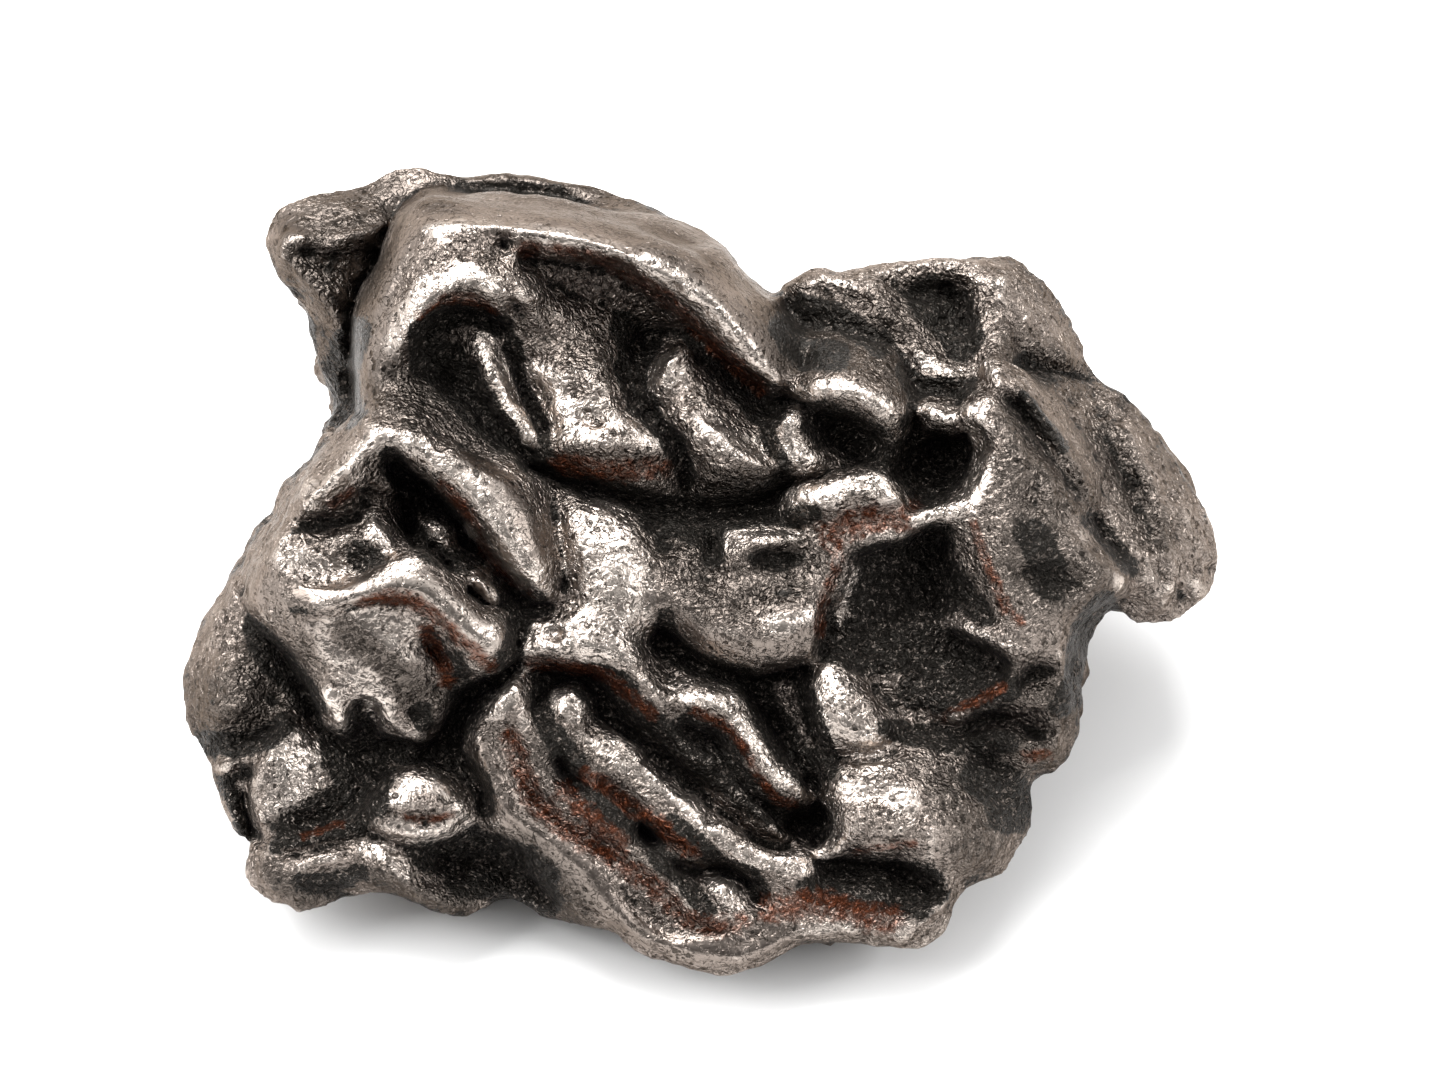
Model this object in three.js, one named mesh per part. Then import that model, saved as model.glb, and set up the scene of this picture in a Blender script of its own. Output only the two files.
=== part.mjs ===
// A small iron meteorite, 35 mm long: one solid lump of nickel-iron whose whole surface was melted
// and pinched into folds, lips, pits and crevices, and then worn by handling.
//
// The form is written as relief on a leaning face plane. Every line below follows one edge, crest or
// hollow of the lump. A line of the front has points [across, up, out] in millimetres: across and up
// lie in the face plane, and out is the height above it. A line of the back has points [across,
// behind, above]: how far behind the middle of the face it lies, and how far above the floor. A skin
// is stretched over the lines of the front, another over those of the back, and they meet at the rim.

import * as THREE from 'three';
import { mergeVertices } from 'three/addons/utils/BufferGeometryUtils.js';

// Driving dimensions, in millimetres.
const FACE_LEAN = 55; // degrees from the face plane to upright
const FACE_CENTRE = { x: 0.78, y: -1.56, z: 10.6 }; // where the middle of the face plane lies
const SKIN_STEP = 0.2; // spacing of the grid that a skin is stretched on
const SKIN_LIMITS = { across: [-20, 18.4], up: [-16, 14.4] };
const LINE_STEP = 0.07; // spacing of the points laid along a line
const STRETCHES = [ // how many times coarser than SKIN_STEP each grid is, and how often it is evened
  { coarser: 16, passes: 200 },
  { coarser: 8, passes: 120 },
  { coarser: 4, passes: 80 },
  { coarser: 2, passes: 60 },
  { coarser: 1, passes: 40 },
];
const CREST_KEPT = 0.45; // share of a crest's sharpness that wear has left
const WEAR_PASSES = 4; // how often the skin is eased to find what stands proud of it
const WORN_PASSES = 2; // how often the skin is eased after wearing
const THINNEST = 0.5; // least metal between the two skins, away from the rim
const THINNING_SHARE = 0.1; // the last share of the way to the rim, where the metal thins to nothing
const EVEN_PASSES = 60; // how often the net's points are spread out along the slopes
const EVEN_UNTIL = 0.95; // the share of the way to the rim inside which they move
const EASE_AMOUNTS = [0.5, -0.52, 0.5, -0.52]; // in and out again, so that the lump keeps its size
const SOLE_DEPTH = 1e-4; // a point this near the floor belongs to a flat sole, and stays
const STAR_CENTRE = { across: -0.5, up: -1 }; // the rim is seen whole from here
const RIM_SLOTS = 2880; // directions in which the rim's distance is kept
const FACET_ROWS = 21; // rows of triangles on each side of the starting icosahedron
const SAME_SPOT = 1e-5; // corners of the icosahedron this near each other are one
const FRONT_SHARE = 0.66; // share of the triangles that go to the front

// The rim, where the front meets the back, clockwise from the ear.
const RIM = [
  [-15.4, 10, -6], [-15.3, 10.6, -6], [-15, 11, -6], [-14, 11.5, -6.2], [-13, 11.8, -6.4],
  [-12, 12.05, -6.5], [-11.2, 12.45, -6.6], [-10.2, 12.62, -6.7], [-9.3, 12.45, -6.7],
  [-8.6, 12.3, -6.7], [-7.5, 12.4, -6.7], [-6.5, 12.35, -6.7], [-5.5, 12.1, -6.7],
  [-4.4, 12.05, -6.7], [-3.6, 11.85, -6.6], [-2.8, 11.5, -6.4], [-2.1, 11.05, -5.8],
  [-1.2, 10.6, -5.2], [-0.4, 10.2, -4.9], [0.2, 9.7, -4.7], [0.6, 9.15, -4.7], [1, 8.85, -4.8],
  [1.6, 8.5, -5], [2.1, 8.95, -5], [2.7, 9.2, -4.9], [3.4, 9.18, -4.8], [3.9, 9, -4.9],
  [4.6, 9.2, -5], [5.5, 9.45, -5], [6.7, 9.58, -5], [8, 9.6, -5], [9.4, 9.6, -5.1],
  [10.1, 9.35, -5.4], [10.9, 8.6, -5.7], [11.5, 7.6, -6.2], [12, 6.8, -6.4], [12.2, 6, -6.6],
  [12.8, 5.4, -6.4], [13.7, 4.8, -6.3], [14.3, 4.1, -6.2], [14.9, 3.2, -6.2], [15.5, 2.2, -6.2],
  [16.1, 1.2, -6.1], [16.5, 0.2, -6], [16.6, -0.8, -5.8], [16.3, -1.6, -5.5], [15.7, -2.2, -5.3],
  [15, -2.6, -5], [14.2, -2.75, -4.7], [13.5, -2.45, -4.4], [12.9, -2.2, -4.4], [12.4, -2.9, -4.2],
  [12.2, -3.7, -4], [11.95, -4.6, -3.6], [11.9, -5.6, -3.2], [11.9, -6.2, -3], [11.6, -6.9, -2.9],
  [11.2, -7.5, -2.9], [10.6, -7.75, -3], [10.25, -8.1, -3], [10.3, -8.9, -2.8],
  [10.15, -9.8, -2.6], [9.7, -10.5, -2.4], [9.2, -11.1, -2.2], [8.4, -11.3, -1.8],
  [7.9, -11.8, -1.4], [7.5, -12.6, -1], [6.9, -13.3, -0.9], [6.2, -13.6, -0.8], [5.2, -13.4, -0.9],
  [4, -13.3, -1], [3, -13.3, -1], [2.2, -13.55, -0.9], [1.3, -14.1, -0.7], [0.4, -14.4, -0.6],
  [-0.6, -14.35, -0.6], [-1.8, -14.05, -0.7], [-2.9, -13.6, -0.9], [-3.6, -13.1, -1.3],
  [-4.3, -12.85, -1.9], [-5.2, -12.7, -2.4], [-6.2, -12.4, -2.5], [-6.9, -12, -2.6],
  [-7.3, -11.75, -2.8], [-7.8, -12, -2.4], [-8.4, -12.35, -2], [-9.2, -12.45, -1.7],
  [-10, -12.2, -1.5], [-11, -11.8, -1.5], [-11.8, -11.65, -1.7], [-12.6, -11.9, -2],
  [-13.3, -12.15, -1.9], [-14, -12.3, -1.7], [-15, -12.1, -1.6], [-15.5, -11.75, -1.6],
  [-15.9, -11.3, -1.7], [-16.05, -10.8, -1.9], [-15.85, -10.3, -2.1], [-16.1, -10, -2.5],
  [-16.5, -9.3, -2.6], [-16.8, -8.7, -2.7], [-17, -8, -2.8], [-17.2, -7.3, -3],
  [-17.6, -6.7, -3.6], [-18, -6.1, -3.9], [-18.2, -5.2, -4], [-18.1, -4.4, -4.1],
  [-17.8, -3.3, -4.3], [-17.5, -2.6, -4.5], [-17.1, -1.9, -4.6], [-16.8, -1.5, -4.7],
  [-16.5, -1, -4.8], [-16.1, -0.5, -4.9], [-15.9, 0, -5], [-15.6, 0.6, -5.1], [-15.1, 1.05, -5.2],
  [-15, 1.4, -5.3], [-14.7, 2.1, -5.5], [-14.1, 2.6, -5.6], [-13.6, 3.3, -5.8], [-13.2, 4.2, -6.4],
  [-13, 4.8, -7.4], [-13.4, 5.5, -7.4], [-13.7, 6.3, -7.3], [-13.9, 7.2, -7.1], [-14.2, 8.1, -6.6],
  [-14.6, 8.6, -6.4], [-15, 9, -6.2],
];

// The ear: a low lobe that stands out behind the hood at the upper left.
const EAR = {
  earRim: [
    [-15.25, 10, -5.6], [-15.1, 10.6, -5.6], [-14, 11.3, -5.9], [-13, 11.6, -6.2],
    [-12, 11.9, -6.3], [-11.2, 12.25, -6.4], [-10.2, 12.4, -6.4], [-9, 12.2, -6.4],
    [-7.5, 12.2, -6.4], [-6.5, 12.15, -6.4], [-5.5, 11.95, -6.4], [-4.4, 11.85, -6.4],
    [-3.6, 11.65, -6.3], [-2.8, 11.35, -6.1],
  ],
  earTopHollow: [
    [-12.2, 11.4, -5.7], [-11.2, 11.6, -5.8], [-10.5, 11.8, -6], [-9.5, 11.95, -6.3],
    [-8.3, 12, -6.6], [-7.6, 11.85, -6.7],
  ],
  earCrest: [
    [-15, 9.9, -4.6], [-14.7, 10.25, -4.3], [-14.2, 10.4, -4.2], [-13.8, 10.1, -4.2],
    [-13.2, 10, -4.25], [-12.5, 10.2, -4.2], [-11.9, 10.35, -4.3], [-11.3, 10.7, -4.5],
  ],
  earUnderCrest: [
    [-14.1, 9.8, -4.8], [-13.6, 9.6, -4.8], [-12.6, 9.75, -4.75], [-11.8, 9.95, -4.85],
    [-11.2, 10.2, -5.1],
  ],
  earHollow: [[-13.7, 9.25, -4.7], [-13, 8.95, -4.8], [-12.3, 9, -5], [-11.7, 9.4, -5.2]],
  earLowerLip: [
    [-15, 9.6, -4.6], [-14.5, 9.2, -4.2], [-13.9, 8.7, -4.1], [-13.3, 8.3, -4.1],
    [-12.6, 8.25, -4.4],
  ],
  earNub: [[-13.1, 7.8, -4.5], [-12.8, 7.5, -4.3], [-12.7, 7, -4.8]],
  earEdge: [
    [-14.3, 8.2, -5.4], [-13.7, 7.6, -5.4], [-13.1, 6.9, -5.5], [-12.6, 6.2, -5.8],
    [-12.4, 5.6, -6.2],
  ],
  earFlank: [[-13.7, 7, -6.6], [-13.5, 6.3, -6.8], [-13.2, 5.6, -6.9], [-12.9, 5, -7]],
  leftNotch: [[-12.6, 5, -7], [-12.7, 4.4, -6.6], [-13, 4, -5.6]],
};

// The hood: a thick rounded brow with two overhanging lips.
const HOOD = {
  hoodLeftFoot: [
    [-10.25, 11.75, -6.3], [-10.85, 11.2, -6], [-11.2, 10.5, -6], [-11.7, 9.4, -6.2],
    [-12.2, 8.4, -6.2], [-12.5, 7.4, -6.2], [-12.5, 6.2, -6.6], [-12.4, 5.2, -7],
    [-12.4, 4.4, -6.6],
  ],
  hoodLeftEdge: [
    [-10.05, 11.6, -1.7], [-10.65, 11, -1.4], [-11.05, 10.3, -1.3], [-11.5, 9.3, -1.2],
    [-12, 8.3, -1.2], [-12.3, 7.3, -1.2], [-12.3, 6.2, -1], [-12.2, 5.2, -0.7], [-12.2, 4.4, -0.3],
  ],
  hoodTopEdge: [
    [-10.05, 11.6, -1.7], [-9.3, 11.65, -1.7], [-8, 11.6, -1.7], [-7, 11.55, -1.7],
    [-6, 11.45, -1.7], [-5, 11.25, -1.7], [-4, 10.95, -1.7], [-3, 10.65, -1.7], [-2, 10.25, -1.8],
    [-1.2, 9.95, -1.9], [-0.4, 9.65, -2], [0.3, 9.2, -2.2], [0.9, 8.7, -2.6], [1.5, 8.3, -3],
  ],
  hoodTopFoot: [
    [-9.3, 11.85, -6.4], [-8, 11.8, -6.8], [-7, 11.75, -6.8], [-6, 11.65, -6.8], [-5, 11.45, -6.6],
    [-4, 11.15, -5], [-3, 10.9, -4], [-2, 10.55, -3.6], [-1.2, 10.2, -3.6], [-0.5, 9.9, -3.6],
  ],
  hoodBrow: [
    [-9.4, 10.9, -0.3], [-8, 11, -0.3], [-6.5, 11, -0.3], [-5, 10.75, -0.1], [-3.5, 10.3, 0.1],
    [-2, 9.75, 0.3], [-0.8, 9.2, 0.3], [0.2, 8.5, 0.1], [1, 7.7, -0.2], [1.6, 6.9, -0.5],
    [2.1, 6.1, -0.9],
  ],
  hoodCrest: [
    [-10.1, 10.5, 0.2], [-9.3, 10.75, 0.45], [-8.6, 10.75, 0.6], [-7.9, 10.65, 0.7],
    [-7.2, 10.55, 0.75], [-6.2, 10.35, 0.9], [-5.3, 10.2, 1], [-4.4, 10.05, 1.1], [-3.3, 9.6, 1.2],
    [-2.2, 9.1, 1.3], [-1.2, 8.6, 1.3], [-0.4, 8, 1.2], [0.2, 7.4, 1.05], [0.8, 6.7, 0.8],
    [1.3, 6, 0.4], [1.8, 5.4, 0],
  ],
  hoodLipEdge: [
    [-6.8, 9.9, 0.2], [-6, 9.75, 0.4], [-5, 9.7, 0.5], [-4, 9.5, 0.55], [-3.2, 9.1, 0.55],
    [-2.4, 8.6, 0.6], [-1.5, 8, 0.55], [-0.8, 7.45, 0.5], [0, 6.65, 0.3], [0.7, 5.95, 0],
    [1.3, 5.4, -0.4], [1.7, 5.05, -0.9],
  ],
  hoodLipFoot: [
    [-6.7, 9.5, -1], [-5.5, 9.35, -1.3], [-4, 9.1, -1.5], [-3, 8.6, -1.6], [-2, 7.85, -1.7],
    [-1, 7, -1.9], [0, 6.05, -2.1], [0.8, 5.4, -2.2], [1.4, 4.85, -2.4],
  ],
  hoodFlank: [[1, 8.6, -2.3], [1.6, 8, -2], [2.1, 7.2, -2], [2.5, 6.5, -2], [2.7, 5.9, -2.2]],
  leftLipCrest: [
    [-11, 5.9, 0.5], [-10.85, 6.6, 0.75], [-10.6, 7.4, 0.9], [-10.2, 8.1, 1.05], [-9.7, 8.7, 1.1],
    [-9, 9.2, 1.1], [-8.4, 9.35, 1.1], [-7.8, 9.2, 1.05], [-7.3, 8.95, 1], [-6.8, 8.55, 0.85],
    [-6.2, 8.2, 0.6],
  ],
  leftLipFace: [
    [-10.7, 6.5, 0.95], [-10.3, 7.35, 1.15], [-9.85, 8, 1.35], [-9.2, 8.5, 1.45],
    [-8.5, 8.65, 1.45], [-7.8, 8.45, 1.35], [-7.2, 8.15, 1.15], [-6.6, 7.85, 0.8],
  ],
  leftLipEdge: [
    [-10.6, 6, 0.2], [-10.4, 6.75, 0.4], [-10.05, 7.2, 0.5], [-9.55, 7.65, 0.6], [-9, 8, 0.7],
    [-8.4, 8.1, 0.7], [-7.8, 7.9, 0.6], [-7.2, 7.6, 0.4], [-6.6, 7.35, 0.1], [-6.1, 7.5, 0],
  ],
  leftLipFoot: [
    [-10.3, 5.8, -0.7], [-10.1, 6.7, -0.9], [-9.7, 7.25, -1], [-8.9, 7.7, -1], [-8, 7.55, -1.1],
    [-7.3, 7.1, -1.1],
  ],
  browSaddle: [[-9.6, 9.8, 0.8], [-8.8, 9.85, 0.6], [-8, 9.8, 0.6]],
  browPit: [[-7.5, 10.1, -0.2], [-7.3, 9.8, -0.4]],
  browBridge: [[-6.8, 10.1, 0.8], [-6.9, 9.7, 0.7], [-7.1, 9.3, 0.6]],
  leftBrow: [[-11.3, 8, 0.2], [-10.8, 9.2, 0.3], [-10.3, 10.2, 0.1], [-11.7, 6.8, 0], [-11.8, 5.6, 0.1]],
};

// The bowl under the hood, with three ribs standing in it and a long crevice below.
const BOWL = {
  bowlFloor: [[-5.8, 8.7, -1.3], [-5, 8.2, -1.6], [-4, 7.9, -1.9], [-3, 7.4, -2.2], [-2.2, 7, -2.6]],
  bowlDeep: [[-3.2, 6.3, -2.2], [-2.6, 6.8, -2.8], [-1.8, 7.1, -2.7], [-1, 6.9, -2.3]],
  bowlShelf: [[-7, 8, -0.2], [-6.3, 7, -0.5], [-5.4, 6.8, -0.6], [-4.4, 6.7, -0.9]],
  leftBowl: [
    [-9.9, 6, -1.1], [-9.3, 5.4, -1.3], [-8.6, 4.9, -1.3], [-8, 4.4, -1.3], [-7.5, 3.9, -1.2],
    [-7, 3.4, -1.2], [-6.6, 3, -1.3],
  ],
  leftBowlTop: [[-9.2, 6.8, -1.1], [-8.6, 6.2, -0.9], [-8.1, 5.4, -0.9]],
  ribOne: [
    [-8.9, 7.1, -0.8], [-8.4, 7, -0.4], [-7.95, 6.6, -0.1], [-7.65, 6, 0.15], [-7.35, 5.3, 0.3],
    [-7.05, 4.6, 0.35], [-6.7, 4, 0.3], [-6.35, 3.5, 0.1], [-6.1, 3.1, -0.2],
  ],
  ribOneFlank: [
    [-8.5, 6.3, -0.35], [-8.05, 5.5, 0], [-7.6, 4.7, 0.1], [-7.15, 3.9, 0.1], [-6.65, 3.3, -0.1],
  ],
  ribOneFoot: [
    [-7.35, 6.5, -1], [-7, 5.9, -1.3], [-6.75, 5.2, -1.3], [-6.45, 4.6, -1.2], [-6.15, 4, -1.1],
    [-5.95, 3.5, -0.9],
  ],
  lumpTwoTop: [[-6.2, 5.7, -0.3], [-5.4, 5.8, -0.1], [-4.7, 5.9, -0.05], [-4.1, 5.9, 0]],
  lumpTwoSpine: [
    [-4, 5.4, 0.5], [-3.75, 4.8, 0.5], [-3.4, 4.2, 0.5], [-2.8, 3.8, 0.5], [-2.2, 3.5, 0.3],
    [-1.8, 3.1, 0],
  ],
  lumpTwoFace: [[-5.6, 4.8, 0.05], [-5, 4.2, 0.3], [-4.4, 4.9, 0.2]],
  lumpTwoDents: [[-5.7, 5.2, -0.1], [-5.1, 5.05, -0.1], [-4.8, 4.7, 0]],
  lumpTwoLowDent: [[-4.6, 4.1, 0.1], [-4.2, 3.9, 0.15]],
  lumpTwoKnot: [[-5.3, 5.5, 0.2], [-4.9, 5.35, 0.15]],
  lumpTwoCrest: [[-5.9, 3.15, 0.3], [-5.2, 3.3, 0.7], [-4.5, 3.35, 0.9], [-3.7, 3.35, 1], [-3, 3.3, 0.8]],
  lumpTwoBelly: [
    [-6.3, 2.7, -0.4], [-5.5, 2.5, -0.2], [-4.5, 2.3, 0], [-3.5, 2.1, 0], [-2.6, 1.85, -0.1],
    [-1.9, 1.7, -0.5],
  ],
  longCrevice: [
    [-6.6, 2.5, -1.6], [-5.5, 2, -1.8], [-4.5, 1.7, -1.9], [-3.5, 1.4, -2], [-2.5, 1.15, -2],
    [-1.5, 1.05, -2.1], [-0.5, 1.1, -2.2], [0.5, 1.15, -2.1], [1.5, 1.4, -2], [2.1, 1.8, -1.9],
    [2.8, 2.05, -1.8], [3.3, 2.2, -1.7],
  ],
  slotTwo: [
    [-3.6, 6, -1.7], [-3.3, 5.3, -1.5], [-3.05, 4.8, -1.4], [-2.5, 4.3, -1.2], [-1.95, 3.7, -1.2],
    [-1.45, 3.1, -1.3], [-1.2, 2.5, -1.4], [-1.3, 1.7, -1.7],
  ],
  ribThreeTop: [[-2.2, 4.7, -0.4], [-1.7, 5.1, -0.4], [-1, 5.25, -0.5], [-0.5, 4.95, -0.4]],
  ribThreeCrest: [
    [-0.8, 4.3, 0.2], [-0.5, 3.8, 0.5], [0, 3.35, 0.6], [0.6, 2.95, 0.6], [1.2, 2.65, 0.4],
    [1.6, 2.4, 0.2],
  ],
  ribThreeLeft: [[-1.6, 4.3, 0], [-1.1, 3.4, 0.1], [-0.7, 2.6, 0.1], [-0.3, 2, -0.2]],
  ribThreeBelly: [[-0.7, 1.6, -0.9], [0.2, 1.7, -0.7], [1, 1.8, -0.6], [1.7, 2, -0.5]],
  ribThreeFoot: [
    [-0.2, 5.15, -1.1], [0.3, 4.7, -1.1], [0.8, 4.2, -1.1], [1.1, 3.75, -1], [1.35, 3.2, -0.9],
    [1.5, 2.8, -0.6],
  ],
  horn: [[-2.15, 5.15, 0], [-2.1, 5.7, 0.4], [-1.8, 6.15, 0.5], [-1.35, 6.6, 0.3]],
  hornBack: [[-1.2, 6, -0.5], [-1.1, 5.6, -0.5]],
  hornFoot: [
    [-2.6, 5.2, -1.6], [-2.6, 5.8, -1.9], [-2.2, 6.4, -2.2], [-1.7, 6.8, -2.2], [-1.1, 6.7, -1.9],
    [-0.8, 6.1, -1.6],
  ],
  rightHollow: [[-0.3, 6, -1.8], [0.4, 5.3, -1.9], [1.2, 4.6, -2], [1.7, 4.3, -1.9]],
  fin: [[1.5, 3.4, -0.2], [1.85, 3.85, 0.2], [2.2, 4.2, 0.4], [2.5, 4.4, 0.3]],
  finFace: [[2, 3, 0], [2.6, 3.3, -0.2], [3.1, 2.9, -0.4], [3.5, 2.6, -0.9]],
  finBelly: [[2, 2.4, -0.1], [2.7, 2.3, -0.3], [3.2, 2.4, -0.7]],
  finFoot: [[1.9, 4.6, -2], [2.3, 4.8, -2.2], [2.8, 4.5, -2]],
};

// A small visor with a pocket under it, to the right of the ribs.
const VISOR = {
  visorCrest: [
    [2.45, 5.05, 0.1], [3, 5.2, 0.5], [3.6, 5.15, 0.8], [4.2, 5, 0.9], [4.8, 4.8, 1],
    [5.3, 4.5, 0.9], [5.7, 4.25, 0.7],
  ],
  visorBack: [
    [2.8, 5.5, -0.3], [3.6, 5.65, 0.1], [4.6, 5.6, 0.3], [5.4, 5.4, 0.3], [5.85, 4.9, 0.2],
    [6.05, 4.3, 0],
  ],
  visorFar: [
    [3, 6.9, -2.4], [4, 6.8, -2.2], [5, 6.5, -1.9], [5.7, 6.1, -1.6], [6.1, 5.5, -1.4],
    [6.3, 4.8, -1.3],
  ],
  visorBrow: [[3.2, 6.1, -1.3], [4.2, 6.2, -0.9], [5.2, 6, -0.7], [5.9, 5.5, -0.7]],
  visorRight: [[6.35, 4.7, -1.2], [6.2, 4, -0.6], [5.9, 3.4, -0.3], [5.6, 2.9, -0.1]],
  visorLip: [[2.8, 4.75, 0.1], [3.6, 4.55, 0.2], [4.3, 4.35, 0.2], [4.9, 4, 0.2], [5.4, 3.5, 0.1]],
  pocketTop: [[2.9, 4.35, -1.3], [3.7, 4.1, -1.7], [4.5, 3.8, -1.9], [5.1, 3.3, -1.8]],
  pocket: [[3.3, 3.7, -1.6], [3.9, 3.2, -2.3], [4.5, 2.9, -2.3], [5, 2.75, -1.5]],
  pocketFloor: [[3.5, 2.4, -1.5], [4.2, 2.4, -1.3], [4.8, 2.55, -0.9]],
};

// The deep round hole with a lip round it.
const HOLE = {
  holeRimRight: [
    [8, 4.7, 0], [8.3, 4.2, 0.5], [8.8, 3.8, 0.5], [9.1, 3.3, 0.6], [8.9, 2.7, 0.7],
    [8.7, 2.2, 0.7], [8.35, 1.75, 0.7], [7.95, 1.3, 0.6], [7.4, 1.05, 0.5], [6.8, 0.9, 0.4],
  ],
  holeLipRight: [
    [8, 4.1, -0.4], [8.4, 3.6, -0.3], [8.6, 3.2, -0.2], [8.45, 2.7, -0.2], [8.2, 2.1, -0.2],
    [7.8, 1.65, -0.2], [7.2, 1.3, -0.3], [6.7, 1.15, -0.3],
  ],
  holeWallRight: [
    [8, 3.6, -2.4], [8.2, 3, -2.4], [8, 2.3, -2.3], [7.6, 1.9, -2.2], [7.1, 1.55, -2],
    [6.6, 1.4, -1.9],
  ],
  holeRimLeft: [
    [6.7, 0.85, 0.4], [6.3, 0.95, 0.3], [5.95, 1.3, 0.3], [5.65, 1.8, 0.4], [5.4, 2.2, 0.5],
    [5.15, 2.5, 0.5],
  ],
  holeWallLeft: [
    [6.4, 1.5, -1.9], [6.1, 1.9, -2], [5.8, 2.4, -2], [5.8, 2.9, -2.1], [6.1, 3.6, -2.2],
    [6.4, 4.2, -2.2],
  ],
  holeFloor: [[6.5, 2.5, -2.8], [7, 2.9, -3.1], [7.4, 2.5, -2.9], [7, 3.4, -3.2], [7.6, 3.4, -3.1]],
  holePlate: [[6.65, 4.45, -0.5], [7, 4.2, -0.4], [7.5, 4.1, -0.3], [7.8, 4.05, -0.3]],
  holePlateTop: [[6.75, 4.7, -0.9], [7.2, 4.65, -0.8], [7.7, 4.35, -0.7]],
  holePlateLip: [[6.7, 3.95, -1], [7.2, 3.75, -1], [7.8, 3.75, -0.9], [8.1, 3.8, -0.7]],
  gapAbovePlate: [
    [6.55, 4.9, -2.6], [7, 5.1, -2.9], [7.6, 5, -2.9], [7.9, 4.6, -2], [8.1, 5.3, -2.6],
    [8.6, 5.4, -2.4],
  ],
};

// The pointed lip below the hole, which runs down into a seam.
const STAR_LIP = {
  starCrest: [
    [2.1, 1.5, 0.3], [2.7, 1.45, 0.8], [3.4, 1.4, 0.9], [4.1, 1.55, 0.95], [4.7, 1.85, 0.9],
    [5.15, 2.1, 0.7], [5.6, 1.7, 0.6], [6.1, 1.2, 0.5],
  ],
  starBack: [[2.4, 1.9, 0.1], [3.2, 1.9, 0.5], [4, 2.05, 0.55], [4.6, 2.4, 0.5], [5.1, 2.6, 0.4]],
  starLipLow: [[2.1, 1.2, -0.1], [2.6, 0.7, -0.1], [3.2, 0.35, 0], [3.7, 0.25, 0.2]],
  starFace: [[4.1, 0.9, 0.2], [5, 1, 0.1], [5.8, 0.9, 0.1]],
  starEdge: [[4.35, -0.3, 0.2], [4.9, -0.05, 0.3], [5.6, 0.15, 0.3], [6.2, 0.4, 0.3], [6.7, 0.75, 0.4]],
  starFoot: [[4.6, -0.6, -1.3], [5.2, -0.35, -1.5], [5.9, -0.1, -1.6], [6.5, 0.1, -1.8], [7, 0.45, -1.9]],
  seam: [
    [4, 0.2, 0.5], [3.85, -0.4, 0.5], [3.55, -1, 0.5], [3.3, -1.6, 0.6], [3.15, -2.2, 0.6],
    [3.1, -2.9, 0.6], [2.95, -3.5, 0.5], [2.7, -3.85, 0.2],
  ],
  seamRight: [
    [4.5, -0.7, -0.2], [4.15, -1.2, -0.2], [3.8, -1.7, -0.4], [3.5, -2.2, -0.9], [3.4, -3, -1.2],
    [3.2, -3.7, -1.3],
  ],
};

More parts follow.
